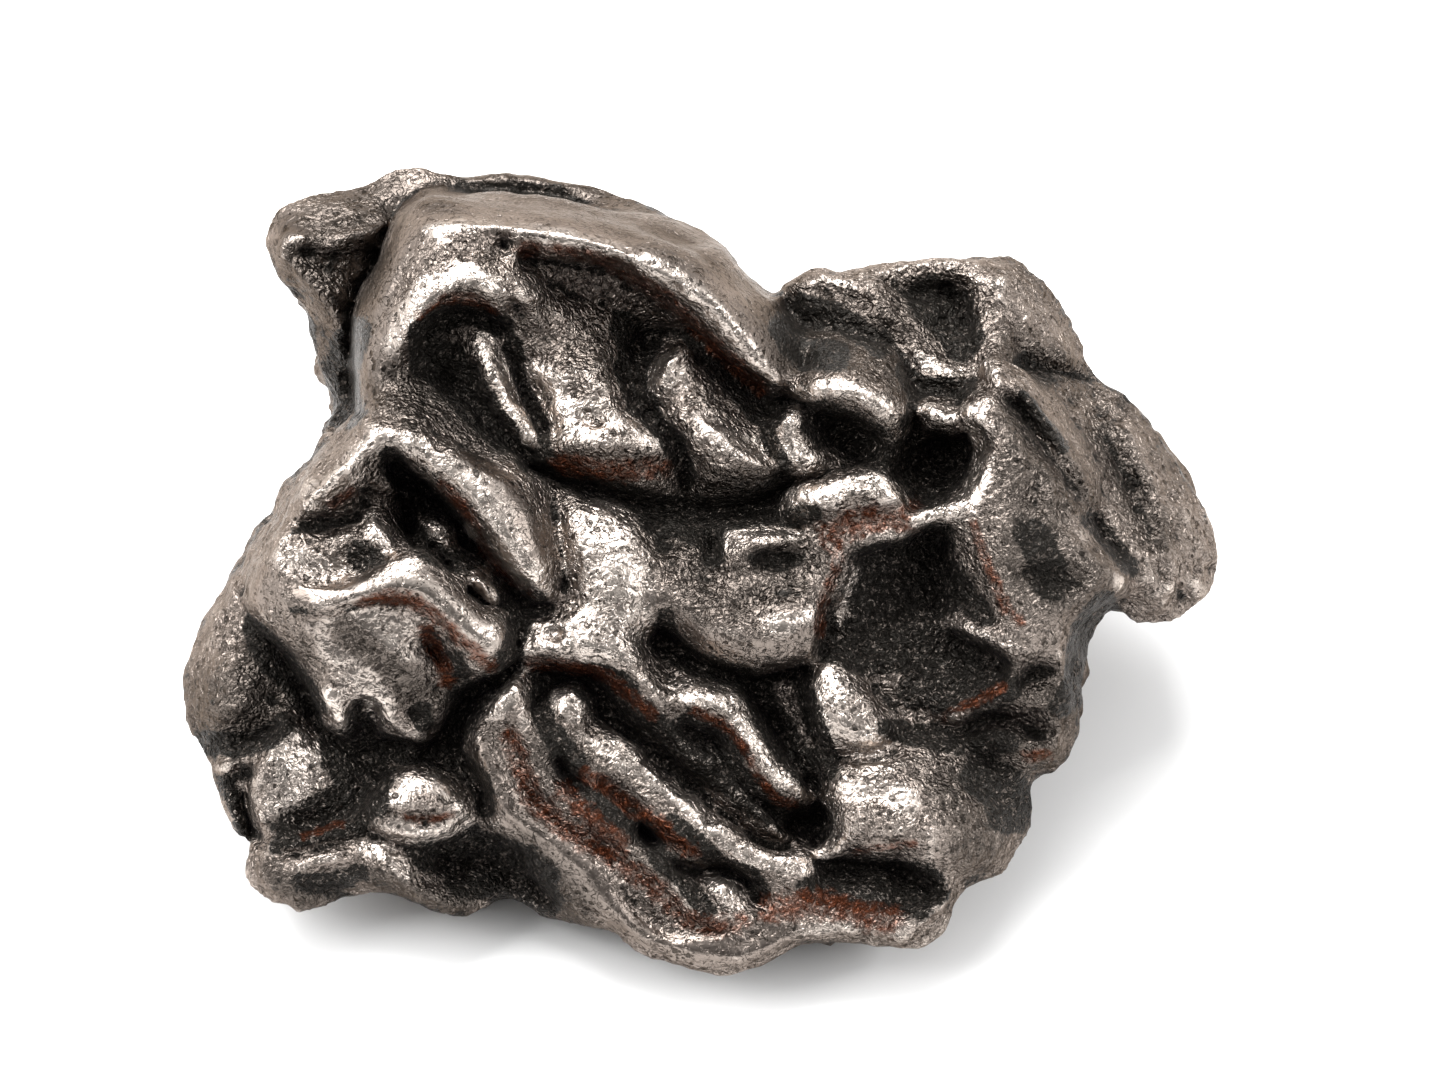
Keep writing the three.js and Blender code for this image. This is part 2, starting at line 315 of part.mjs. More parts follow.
// The swollen middle, folded over itself in three lips.
const MIDDLE = {
  midTopEdge: [[-5.9, 1.95, -0.8], [-5, 1.55, -0.2], [-4, 1.2, 0], [-3.2, 0.95, -0.1], [-2.6, 0.7, -0.5]],
  midBright: [[-5.2, 0.9, 0.4], [-4.8, 0.2, 0.8], [-4.1, -0.3, 1], [-3.7, -1, 1.1], [-3.5, -1.6, 1.1]],
  midBrightLeft: [[-5.2, 0, 0.5], [-5.1, -1, 0.6], [-4.6, -1.5, 0.9]],
  midSpine: [
    [-3.1, 0.6, 0.3], [-2.8, 0, 0.6], [-2.5, -0.6, 0.7], [-2.3, -1.2, 0.8], [-2.3, -1.8, 0.8],
    [-2.4, -2.4, 0.7],
  ],
  midHollow: [[-2.3, 0.5, -1.1], [-2, -0.1, -0.5], [-0.9, 0.65, -1.2]],
  midLump: [[-1.7, 0.5, -0.5], [-1.35, 0, -0.2], [-1.05, -0.4, -0.1], [-0.85, -0.8, -0.05]],
  midPit: [[-0.5, 0.35, -1.2], [-0.3, 0, -1.5], [-0.45, -0.35, -1.1]],
  midUpperShelf: [[-1.9, -0.9, 0.3], [-1.2, -1.1, 0.2], [-0.6, -1.2, 0.1], [0, -1.1, 0.3]],
  midLowerCrest: [
    [-1.95, -1.75, 0.8], [-1.4, -2.2, 0.9], [-0.8, -2.7, 1], [0, -3.1, 1.1], [1, -3.2, 1.15],
    [2, -3, 1.1], [2.7, -2.6, 0.9], [3, -2, 0.7],
  ],
  midLowerEdge: [
    [-2.05, -2.4, 0.2], [-1.4, -2.9, 0.2], [-0.9, -3.4, 0.2], [-0.2, -3.85, 0.3], [0.6, -4.1, 0.3],
    [1.4, -4.15, 0.3], [2.2, -4, 0.3], [2.7, -3.85, 0.2],
  ],
  midLowerFoot: [
    [-2.1, -3, -1.3], [-1.6, -3.5, -1.4], [-1, -3.95, -1.4], [-0.4, -4.2, -1.3],
    [0.4, -4.45, -1.9], [1.2, -4.5, -2.2], [2, -4.35, -1.9], [2.8, -4.15, -1.4],
  ],
  whiteCrest: [[0.2, 0.3, 0.1], [0.7, 0.5, 0.35], [1.4, 0.35, 0.5], [2.2, 0.4, 0.3], [2.9, 0.15, 0.1]],
  whiteCrestFront: [
    [0.05, -0.25, 0.5], [0.45, -0.5, 0.8], [0.85, -0.25, 0.85], [1.4, -0.05, 0.75], [2, 0.05, 0.5],
  ],
  whiteCrestBack: [
    [0, 0.75, -1.1], [0.7, 0.8, -1], [1.5, 0.75, -0.8], [2.2, 0.6, -0.7], [2.6, 0.45, -0.4],
  ],
  midDimple: [[1.2, -0.5, -0.1], [1.9, -0.5, -0.3], [2.6, -0.5, -0.2]],
  midFold: [[-0.1, -0.95, 0.5], [0.5, -0.9, 0.6], [1.1, -1, 0.5]],
  midBelly: [[0.4, -1.7, 0.8], [0.9, -1.4, 0.6], [1.6, -1.2, 0.45], [2.3, -1.1, 0.3]],
  shellGroove: [[0.95, -2.05, 0.6], [1.3, -1.75, 0.4], [1.9, -1.65, 0.35], [2.5, -1.75, 0.3]],
  shellTop: [
    [1.4, -2.25, 0.9], [1.95, -2.15, 0.95], [2.5, -2.4, 0.9], [2.2, -2.8, 1.15], [1.5, -2.8, 1.15],
  ],
  shelfCrest: [
    [-7, -3.7, 0.5], [-6.3, -3.5, 0.8], [-5.5, -3.45, 1], [-4.8, -3.3, 1.1], [-4, -3.35, 1.2],
    [-3.3, -3.7, 1.2], [-2.8, -4.2, 1.1], [-2.3, -4.9, 1], [-2, -5.4, 0.8],
  ],
  shelfTop: [[-6.2, -2.7, 0.6], [-5.6, -2.6, 0.7], [-5.1, -3, 0.9], [-4.4, -2.9, 1], [-3.6, -2.6, 1]],
  shelfNotch: [[-6.4, -2.2, -0.5], [-5.7, -2.1, 0], [-5.1, -2.1, 0.4], [-4.4, -2, 0.8]],
  shelfPit: [[-5.6, -3.1, 0.4], [-5.5, -2.9, 0.3]],
  shelfLow: [
    [-6.6, -4, 0.1], [-5.7, -4, 0.3], [-4.8, -4.05, 0.4], [-4, -4.3, 0.4], [-3.4, -4.8, 0.4],
    [-3, -5.4, 0.3], [-2.7, -6, 0.1],
  ],
  shelfFoot: [
    [-6.3, -4.4, -1], [-5.5, -4.45, -1.3], [-4.5, -4.55, -1.4], [-3.9, -5.2, -1.4],
    [-3.5, -6, -1.4],
  ],
  shelfRightFoot: [[-2.3, -3.2, -1.3], [-2.1, -4, -1], [-1.8, -4.35, -0.9]],
};

// The lower plate, with three wandering ridges and channels between them.
const LOWER_PLATE = {
  ridgeThree: [
    [-1.65, -4.65, 0.3], [-1, -4.75, 0.5], [-0.3, -4.9, 0.5], [0.25, -5.15, 0.5], [0.7, -5.7, 0.5],
    [1.1, -6.2, 0.45], [1.45, -6.7, 0.35], [1.7, -7.2, 0.3], [2, -7.6, 0.2], [2.5, -8, 0.1],
    [3, -8.5, -0.2],
  ],
  ridgeThreeTop: [
    [-1.5, -5.2, 0.85], [-0.8, -5.3, 0.9], [-0.1, -5.5, 0.85], [0.35, -5.95, 0.8],
    [0.75, -6.6, 0.7], [1.1, -7.2, 0.55], [1.6, -7.9, 0.4], [2.2, -8.3, 0.25],
  ],
  ridgeThreeLow: [
    [-1.6, -5.7, 0.3], [-0.9, -5.85, 0.3], [-0.1, -6.1, 0.3], [0.25, -6.6, 0.15], [0.65, -7.4, 0],
    [1.15, -8.15, -0.1], [1.8, -8.7, -0.3], [2.6, -8.85, -0.4],
  ],
  ridgeThreeFoot: [
    [-1.3, -6.1, -0.7], [-0.8, -6.35, -0.9], [-0.25, -6.5, -0.9], [0.1, -7.1, -0.7],
    [0.5, -7.9, -0.8], [1, -8.6, -1.1], [1.7, -9.05, -1.6],
  ],
  pocketRidge: [
    [-2, -5.7, 0.4], [-1.7, -6.3, 0.25], [-1.4, -6.9, 0.15], [-0.9, -7.35, 0.15], [-0.3, -7.45, 0],
    [0.3, -7.4, -0.3],
  ],
  tailRidge: [[0.1, -8, -0.5], [0.7, -8.5, 0], [1.2, -9, 0.1], [1.7, -9.5, 0], [1.95, -9.9, -0.3]],
  channelTwo: [
    [-4.1, -5.7, -1.5], [-3.2, -6.4, -1.6], [-2.4, -7, -1.5], [-1.6, -7.7, -1.4],
    [-0.9, -8.3, -1.3], [-0.2, -9, -1.3], [0.5, -9.5, -1.3], [1.2, -10, -1.3], [2.2, -10.1, -1.5],
  ],
  channelTwoDeep: [[2.1, -9.3, -2.2], [2.7, -9.3, -2.4], [3.2, -9.1, -2.3], [3.1, -10, -2.2]],
  channelThree: [
    [0.7, -4.7, -2], [1.2, -5.3, -2.2], [1.7, -6.2, -2.2], [2.1, -7, -1.8], [2.6, -7.8, -1.6],
    [3.1, -8.4, -1.8],
  ],
  channelFacet: [[2.4, -6.9, -1.2], [2.9, -7.4, -1.1], [3.1, -8, -1.3]],
  ridgeTwo: [
    [-4.4, -6.3, 0.1], [-3.7, -6.7, 0.4], [-3, -7.1, 0.5], [-2.3, -7.6, 0.6], [-1.8, -8.05, 0.65],
    [-1.3, -8.5, 0.7], [-0.8, -9.05, 0.7], [-0.4, -9.5, 0.7], [0.1, -9.75, 0.7], [0.6, -10.1, 0.7],
    [1.1, -10.35, 0.6], [1.6, -10.6, 0.6], [2.1, -10.75, 0.5], [2.6, -10.7, 0.4], [3, -10.9, 0.1],
  ],
  ridgeTwoInner: [
    [-5.5, -6.6, 0.3], [-5, -7.2, 0.5], [-4.5, -7.9, 0.45], [-4, -8.5, 0.5], [-3.4, -9, 0.5],
    [-3.1, -9.4, 0.4],
  ],
  ridgeTwoBody: [
    [-3.6, -7.6, 0.55], [-2.8, -8.3, 0.55], [-2, -9, 0.55], [-1.3, -9.6, 0.55], [-0.6, -10, 0.5],
    [0, -10.25, 0.4],
  ],
  ridgeTwoBumps: [
    [-3.2, -7.6, 0.5], [-2.8, -8, 0.3], [-2.4, -8.4, 0.55], [-2, -8.9, 0.35], [-1.6, -9.3, 0.5],
  ],
  ridgeTwoFace: [
    [-4.1, -7.9, 0], [-3.5, -8.5, -0.1], [-2.9, -9.1, -0.1], [-2.1, -9.9, 0], [-1.5, -10.25, 0.1],
  ],
  ridgeTwoLow: [
    [-1.9, -10.4, -0.2], [-1.4, -10.55, 0.1], [-0.8, -10.6, 0.2], [-0.3, -10.45, 0.2],
    [0.1, -10.45, 0.3], [0.7, -10.9, 0.2], [1.2, -11.1, 0.1],
  ],
  ridgeTwoFoot: [
    [-1.6, -10.8, -0.8], [-0.9, -10.95, -1.1], [-0.2, -10.9, -1.2], [0.5, -11.05, -1.4],
    [0.95, -11.35, -1.4],
  ],
  plateHole: [[-2.8, -9.5, -1], [-2.5, -9.75, -1.4], [-2.15, -9.9, -1.1]],
  innerPits: [[-5.6, -7.3, -0.4], [-5.1, -7.9, -0.6], [-4.7, -8.2, -0.2]],
  ridgeOne: [
    [-7, -4.3, 0.7], [-6.85, -5, 0.9], [-6.65, -5.6, 0.9], [-6.45, -6.3, 0.75], [-6.25, -7, 0.7],
    [-5.9, -7.7, 0.6], [-5.3, -8.25, 0.7], [-4.8, -8.65, 0.55], [-4.3, -9, 0.65],
    [-3.8, -9.35, 0.6], [-3.3, -9.7, 0.75], [-3, -10.1, 0.6], [-2.5, -10.55, 0.7],
    [-1.9, -10.95, 0.55], [-1.45, -11.35, 0.65], [-1.1, -11.85, 0.55], [-0.7, -12.35, 0.55],
    [-0.1, -12.55, 0.5], [0.5, -12.4, 0.4], [0.9, -12, 0.2],
  ],
  curl: [[-0.45, -11.6, 0.35], [-0.1, -11.35, 0.55], [0.2, -11.6, 0.55], [0.05, -11.9, 0.45]],
  curlGroove: [
    [-0.85, -11.7, -0.1], [-0.5, -12.05, 0], [0.05, -12.2, 0.1], [0.5, -12, 0], [0.6, -11.6, -0.2],
  ],
  ridgeOneGroove: [
    [-7.25, -6.3, 0.3], [-7, -7.2, 0.1], [-6.6, -8.1, 0], [-6.1, -8.9, -0.1], [-5.4, -9.5, -0.1],
    [-4.5, -10, 0], [-3.6, -10.5, 0], [-2.9, -11.1, 0], [-2.2, -11.7, 0], [-1.7, -12.3, 0],
    [-1.1, -12.75, 0], [-0.3, -12.95, 0], [0.4, -12.7, 0], [0.7, -12.2, 0],
  ],
  plateRim: [
    [-8.35, -6.3, 0.5], [-8.2, -6.9, 0.7], [-7.9, -7.6, 0.7], [-7.6, -8.4, 0.7], [-7.2, -9, 0.7],
    [-6.5, -9.4, 0.7], [-5.7, -9.9, 0.6], [-4.9, -10.5, 0.6], [-4.3, -11.1, 0.5],
    [-3.8, -11.9, 0.4], [-3.3, -12.6, 0.4], [-2.5, -13.15, 0.3], [-1.5, -13.45, 0.3],
    [-0.6, -13.75, 0.3], [0.4, -13.8, 0.3], [1.1, -13.55, 0.2], [1.9, -13.25, 0.1], [3, -13, 0.1],
    [4, -12.95, 0.1], [5, -13.05, 0.1], [5.9, -13.05, 0.2], [6.5, -12.7, 0.4], [7, -12.2, 0.5],
    [7.4, -11.8, 0.5],
  ],
  plateHollow: [[-3.6, -11.4, 0], [-2.9, -12.1, -0.4], [-2.2, -12.8, -0.3], [-1.4, -13.1, -0.1]],
  plateThinLine: [
    [-1.3, -13.05, 0.2], [-0.5, -13.15, 0.3], [0.05, -13.1, 0.35], [0.6, -12.75, 0.4],
    [0.9, -12.3, 0.3],
  ],
  plateOuter: [
    [-7.9, -9.3, -0.2], [-7.2, -9.8, -0.3], [-6.5, -10.2, -0.4], [-6, -11, -0.5],
    [-5.4, -11.8, -0.6], [-4.8, -12.5, -0.8], [-4.2, -12.8, -1],
  ],
  bottomBrown: [
    [0.3, -13.35, 0.1], [1.2, -13, 0], [2.2, -12.6, -0.05], [3.5, -12.4, -0.05], [4.8, -12.6, 0],
    [5.8, -12.7, 0.05],
  ],
  bottomBump: [[1.3, -12.2, -0.1], [1.8, -11.6, 0.1], [2.6, -11.5, 0.2], [3.1, -11.7, 0]],
  bottomGap: [[1.1, -11.9, -0.9], [1.3, -12.1, -0.6]],
  bottomGray: [[3.6, -11.2, -0.5], [4.6, -11.4, -0.3], [5.5, -11.65, -0.3], [6.3, -12.05, -0.4]],
  bottomSlot: [
    [3.2, -10.75, -1.2], [4, -10.75, -1.4], [5, -10.8, -1.5], [6, -11.05, -1.5],
    [6.8, -11.45, -1.2], [7, -11.85, -0.9],
  ],
};

// The square block and the nugget at the lower right.
const LOWER_BLOCK = {
  blockLeft: [[3.55, -7.6, 0.1], [3.5, -8.3, 0.5], [3.75, -9, 0.6], [4, -9.5, 0.6]],
  blockLeftFoot: [[3.15, -7.8, -1.5], [3.15, -8.5, -1.9], [3.5, -9.2, -1.9], [3.5, -9.8, -1.5]],
  blockTop: [[4.3, -8.2, 0.75], [5.2, -8.4, 0.9], [6.2, -8.3, 0.85], [6.8, -8.8, 0.8]],
  blockMiddle: [[4.4, -8.9, 1.05], [5.2, -9.1, 1.2], [6.2, -9.1, 1.15], [7, -9.4, 1]],
  blockUpper: [
    [3.6, -7.5, 0], [4.3, -7.3, 0.3], [5, -7.2, 0.4], [5.8, -7.1, 0.3], [6.6, -7, 0],
    [7.3, -7.4, -0.3],
  ],
  blockRoll: [
    [3.7, -9.95, 0.4], [4.2, -9.7, 0.8], [4.9, -9.6, 1.15], [5.6, -9.6, 1.2], [6.4, -9.7, 1.1],
    [7.2, -9.95, 0.85], [7.8, -10.4, 0.5],
  ],
  blockRollLow: [
    [3.2, -10.45, 0.1], [3.6, -10.3, 0.2], [4.2, -10.2, 0.2], [5, -10.3, 0.2], [5.8, -10.45, 0.2],
    [6.5, -10.75, 0.1], [7, -11.15, 0],
  ],
  blockRight: [[7.8, -8.6, 0.2], [8.3, -9.4, -0.1], [8.5, -10.3, -0.3], [8.2, -11, -0.2]],
  blockFar: [[8.9, -8.9, -0.9], [9.3, -9.8, -1.1], [9.1, -10.6, -1], [9.8, -9.3, -1.8]],
  rightNotch: [[8.2, -7.4, -0.9], [8.7, -8.2, -1.3], [9.5, -8.5, -1.9], [9.9, -8, -2.2]],
  nugget: [
    [3.2, -4.35, 0.1], [3.6, -4.8, 0.5], [3.8, -5.4, 0.7], [4.2, -6, 0.75], [4.7, -6.5, 0.6],
    [5.2, -6.8, 0.3],
  ],
  nuggetLeft: [[3, -4.7, -0.1], [3.1, -5.4, 0.2], [3.3, -6.1, 0.3], [3.6, -6.6, 0.2]],
  nuggetLeftFoot: [[2.55, -4.6, -1.3], [2.75, -5.4, -1.4], [2.9, -6.2, -1.3], [3.15, -6.85, -1.1]],
  nuggetRight: [[3.9, -4.35, 0.1], [4.5, -5, 0.3], [5, -5.6, 0.4], [5.5, -6.2, 0.3]],
  nuggetRightFoot: [
    [4.3, -4.05, -1], [4.9, -4.7, -1.2], [5.4, -5.3, -1.3], [5.9, -5.9, -1.3], [6.1, -6.4, -1.2],
  ],
  nuggetFoot: [[3.5, -7.05, -0.9], [4.2, -7.15, -0.5], [4.9, -7.1, -0.3], [5.7, -6.8, -0.6]],
};

// The dark valley between the middle and the right block.
const VALLEY = {
  valleyA: [[4.8, -1.2, -1.4], [5.3, -2.2, -1.6], [5.2, -3.2, -1.5], [4.6, -3.8, -1.3]],
  valleyDeep: [
    [7.2, 0.2, -2.3], [7, -0.5, -2.4], [7.1, -1.2, -2.3], [7.2, -1.8, -2.2], [7.2, -2.4, -2.1],
  ],
  valleyCurl: [[5.4, -2.9, -1.3], [6, -3.05, -1.2], [6.6, -2.85, -1.3], [7, -2.6, -1.6]],
  valleyB: [[6.2, -1.6, -1.9], [6, -2.4, -1.8]],
  valleyC: [[6.2, -3.8, -1.6], [7.3, -4, -1.6], [8.3, -4.3, -1.5], [9, -4.6, -1.2]],
  valleyD: [[6, -4.9, -1.4], [7.2, -5.2, -1.2], [8.2, -5, -1.1]],
  valleyLine: [
    [7.6, -5.85, -0.5], [8.4, -5.55, -0.25], [9.2, -5.2, -0.05], [9.55, -4.85, 0.05],
    [9.65, -4.35, 0.1],
  ],
  valleyLineFoot: [
    [6.4, -5.8, -1.7], [7.4, -6.15, -1.8], [8.3, -5.95, -1.9], [9.2, -5.75, -1.9],
    [10, -6.1, -1.9], [10.6, -6.5, -1.8],
  ],
};

// The large right block with a keel down its right side.
const RIGHT_BLOCK = {
  blockEdgeRed: [
    [7.7, 0.55, 0.1], [8.2, 0.1, 0.3], [8.55, -0.7, 0.4], [8.95, -1.5, 0.4], [9.4, -2.2, 0.4],
    [9.9, -2.65, 0.3],
  ],
  darkFacet: [[7.9, -0.5, -0.9], [8, -1.4, -1], [8.4, -2.1, -0.9], [8.9, -2.6, -0.6]],
  facetCrest: [
    [7.85, -2.75, -0.4], [8.4, -3, -0.1], [9, -3.35, 0.1], [9.5, -3.65, 0.15], [9.75, -4, 0.05],
  ],
  facetFoot: [[7.45, -3, -1.8], [8.1, -3.45, -1.9], [8.8, -3.75, -1.8], [9.3, -4.15, -1.6]],
  faceA: [[9.6, 2.8, 0.7], [10, 1.8, 0.7], [9.6, 0.8, 0.8], [9.2, -0.2, 0.8]],
  faceB: [[10.8, 1.6, 0.5], [10.7, 0.7, 0.55], [10.4, -0.2, 0.55], [10.2, -2.2, 0.45]],
  faceC: [[11.4, 0.5, 0.4], [11.9, -0.4, 0.35], [12.6, -0.9, 0.25], [11.9, -1.9, 0.35], [11, -2.5, 0.35]],
  facePittedHollow: [[10, -1, 0.2], [10.8, -1.3, -0.05], [11.6, -1.3, 0], [12.2, -1.1, 0.1]],
  faceCrack: [[10.4, 3, 0.15], [10.55, 2.3, 0.1], [10.35, 1.6, 0.3], [10.6, 1, 0.3]],
  faceFarCrack: [[11.3, 1.4, -0.1], [11.35, 0.8, -0.1], [11.7, 0.1, -0.05]],
  stripOne: [
    [8.4, 5, -0.1], [8.9, 4.7, 0.2], [9.5, 4, 0.4], [10.2, 3.1, 0.4], [11, 2, 0.3],
    [11.7, 1.1, 0.1],
  ],
  rightEdge: [
    [11.95, 1.1, -0.4], [12.1, 0.6, -0.4], [12.3, 0.15, -0.4], [12.85, -0.4, -0.4],
    [13.35, -1.1, -0.4], [13.2, -1.45, -0.4], [12.3, -2.15, -0.3], [11.7, -2.6, -0.2],
    [11.5, -2.9, -0.3], [11.4, -3.6, -0.4], [11.35, -4.3, -0.5], [11.5, -5, -0.7],
    [11.65, -5.4, -0.9],
  ],
  rightEdgeFoot: [
    [12.3, 1, -3], [12.5, 0.4, -3], [13, -0.2, -2.8], [13.55, -0.95, -2.4], [13.45, -1.6, -2.6],
    [12.6, -2.35, -3.2], [12, -2.75, -3.2], [11.75, -3.2, -3], [11.65, -3.9, -2.8],
    [11.65, -4.5, -2.6], [11.8, -5.1, -2.2],
  ],
  stripTwo: [
    [8.7, 5.9, -0.8], [9.1, 5.5, -0.3], [9.7, 5.2, -0.5], [10.3, 4.5, -0.7], [10.8, 3.9, -0.7],
    [11.3, 3.1, -0.8], [11.9, 2.4, -0.9], [12.2, 1.8, -1], [12.3, 1.3, -1.2],
  ],
  stripTwoFar: [
    [9.9, 5.7, -1.8], [10.6, 5, -1.9], [11.2, 4.3, -1.9], [11.7, 3.5, -2], [12.2, 2.7, -2.1],
    [12.6, 1.9, -2.2], [12.6, 1.4, -2.4],
  ],
  stripCrevice: [
    [9.2, 5.05, -0.5], [9.7, 4.65, -1.4], [10.1, 4.1, -1.5], [10.4, 3.5, -1.4], [10.8, 2.9, -1.1],
    [11.3, 2.2, -1], [11.8, 1.6, -1.1], [12.05, 1.2, -1.2],
  ],
  stripFoot: [
    [10.2, 5.9, -4.2], [10.9, 5.2, -4.2], [11.4, 4.5, -4], [11.9, 3.7, -3.8], [12.4, 2.9, -3.6],
    [12.8, 2.1, -3.4], [12.8, 1.4, -3.2],
  ],
  belowA: [[10.1, -3.75, 0], [10.6, -3.35, 0], [11.2, -3.1, -0.1]],
  belowFacet: [[9.9, -4.7, -1], [10.4, -4.4, -1], [11, -4.25, -0.9]],
  belowB: [[9.9, -5.3, -0.6], [10.5, -5.2, -0.6], [11.1, -5.1, -0.7], [11.5, -5.8, -1.1]],
  belowLobe: [
    [8.4, -6.65, -1.1], [8.9, -6.5, -0.9], [9.6, -6.5, -0.8], [10.3, -6.75, -0.9],
    [10.9, -6.9, -1.1],
  ],
  belowLobeLow: [[8.3, -7, -1.9], [9, -7.3, -2.1], [9.8, -7.6, -2], [10.3, -7.3, -1.7]],
  belowSide: [[11.3, -6.2, -1.2], [11.3, -6.9, -1.6], [10.8, -7.4, -1.9]],
};

// The knobs, hollow and slab behind the right block.
const REAR_RIGHT = {
  knobRidge: [
    [2, 8.65, -4.3], [2.6, 8.9, -3.9], [3.4, 8.85, -3.7], [4.2, 8.6, -3.5], [5, 8.25, -3.3],
    [5.6, 7.7, -3.1], [6.15, 7.2, -3], [6.45, 6.6, -2.9], [6.8, 6.1, -2.6], [7.4, 5.75, -2.4],
    [8, 5.6, -2.4], [8.4, 5.65, -2.4],
  ],
  knobInner: [[2.6, 8.3, -3.9], [3.4, 8.1, -3.7], [4.4, 7.7, -3.5], [5.2, 7.2, -3.3], [5.8, 6.8, -3.2]],
  knobValley: [[3.2, 8.55, -3.95], [4.1, 8.3, -3.8], [4.9, 7.95, -3.6]],
  knobFoot: [
    [2, 8.1, -4.6], [2.5, 7.5, -4.2], [3.3, 7.2, -3.8], [4.3, 6.95, -3.5], [5.3, 6.6, -3.3],
    [6, 6.15, -3.2], [6.3, 5.5, -3.1], [6.5, 5, -3],
  ],
  knobBumps: [[2.7, 7.9, -3.6], [3.2, 7.6, -3.8], [3.7, 7.75, -3.4], [4.3, 7.3, -3.7], [4.9, 7.35, -3.2]],
  backHollow: [
    [5.8, 8.6, -4.5], [6.4, 8.2, -4.9], [7, 8.5, -5], [7.8, 8.3, -5.1], [8.1, 7.9, -5],
    [8.1, 7.2, -4.8],
  ],
  backHollowLow: [[6.8, 7.3, -4], [7.4, 7.3, -4.5], [7.5, 6.6, -3.8], [8, 6.4, -3.7]],
  backHollowStreak: [[7.2, 8.9, -4.4], [7, 8.1, -4.5], [7.1, 7.4, -4.1]],
  backRim: [
    [4.2, 9, -4.5], [5, 9.1, -4.4], [6, 9.15, -4.3], [7, 9.3, -4.2], [8, 9.25, -4.1],
    [8.4, 9, -4.1],
  ],
  backPost: [[8.6, 9.2, -4], [8.55, 8.2, -3.8], [8.5, 7.2, -3.5], [8.5, 6.3, -3], [8.6, 5.9, -2.5]],
  postFace: [[9.3, 9.1, -4], [9.4, 8.2, -3.7], [9.3, 7.2, -3.3], [9.2, 6.4, -2.7]],
  backShoulder: [[10.1, 8.8, -4.8], [10.6, 8, -4.9], [11, 7.2, -5], [11.6, 6.8, -5.6]],
  shoulderLow: [[9.8, 6.9, -3.9], [10.4, 6.6, -4.1], [11, 6.3, -4.4], [11.7, 6.3, -5]],
  shoulderCrevice: [
    [9.7, 6.2, -4], [10.3, 5.9, -4.8], [11, 5.7, -5.4], [11.7, 5.6, -6], [12.2, 5.3, -6.3],
  ],
  slabTop: [[11.6, 5, -5], [12.3, 4.7, -5.2], [13.2, 4.4, -5.6]],
  slabA: [[12.2, 3.6, -3.9], [12.7, 2.7, -3.7], [13.1, 1.8, -3.5], [13.5, 0.9, -3.3], [13.9, 0, -3.1]],
  slabB: [[12.4, 4.2, -4.7], [13, 3.2, -4.6], [13.5, 2.2, -4.4], [13.95, 1.2, -4.2], [14.3, 0.3, -3.9]],
  slabC: [
    [12.8, 4.6, -4.8], [13.5, 3.6, -4.6], [14.1, 2.6, -4.4], [14.6, 1.5, -4.2], [14.9, 0.5, -4],
    [15.1, -0.4, -3.7],
  ],
  slabD: [[13.6, 4.3, -5.4], [14.3, 3.2, -5.3], [14.9, 2.1, -5.1], [15.4, 1, -4.9], [15.6, 0, -4.7]],
  slabLow: [[13.9, -1.3, -2.9], [14.5, -1.2, -3], [15, -1.5, -3.3], [14.4, -2.1, -3.8], [13.7, -2, -3.6]],
  slabLowCrevice: [[15.25, -1.6, -4.6], [15.3, -2, -5]],
  slabKnob: [[15.7, -1.5, -4.2], [16, -1.3, -4.6]],
};

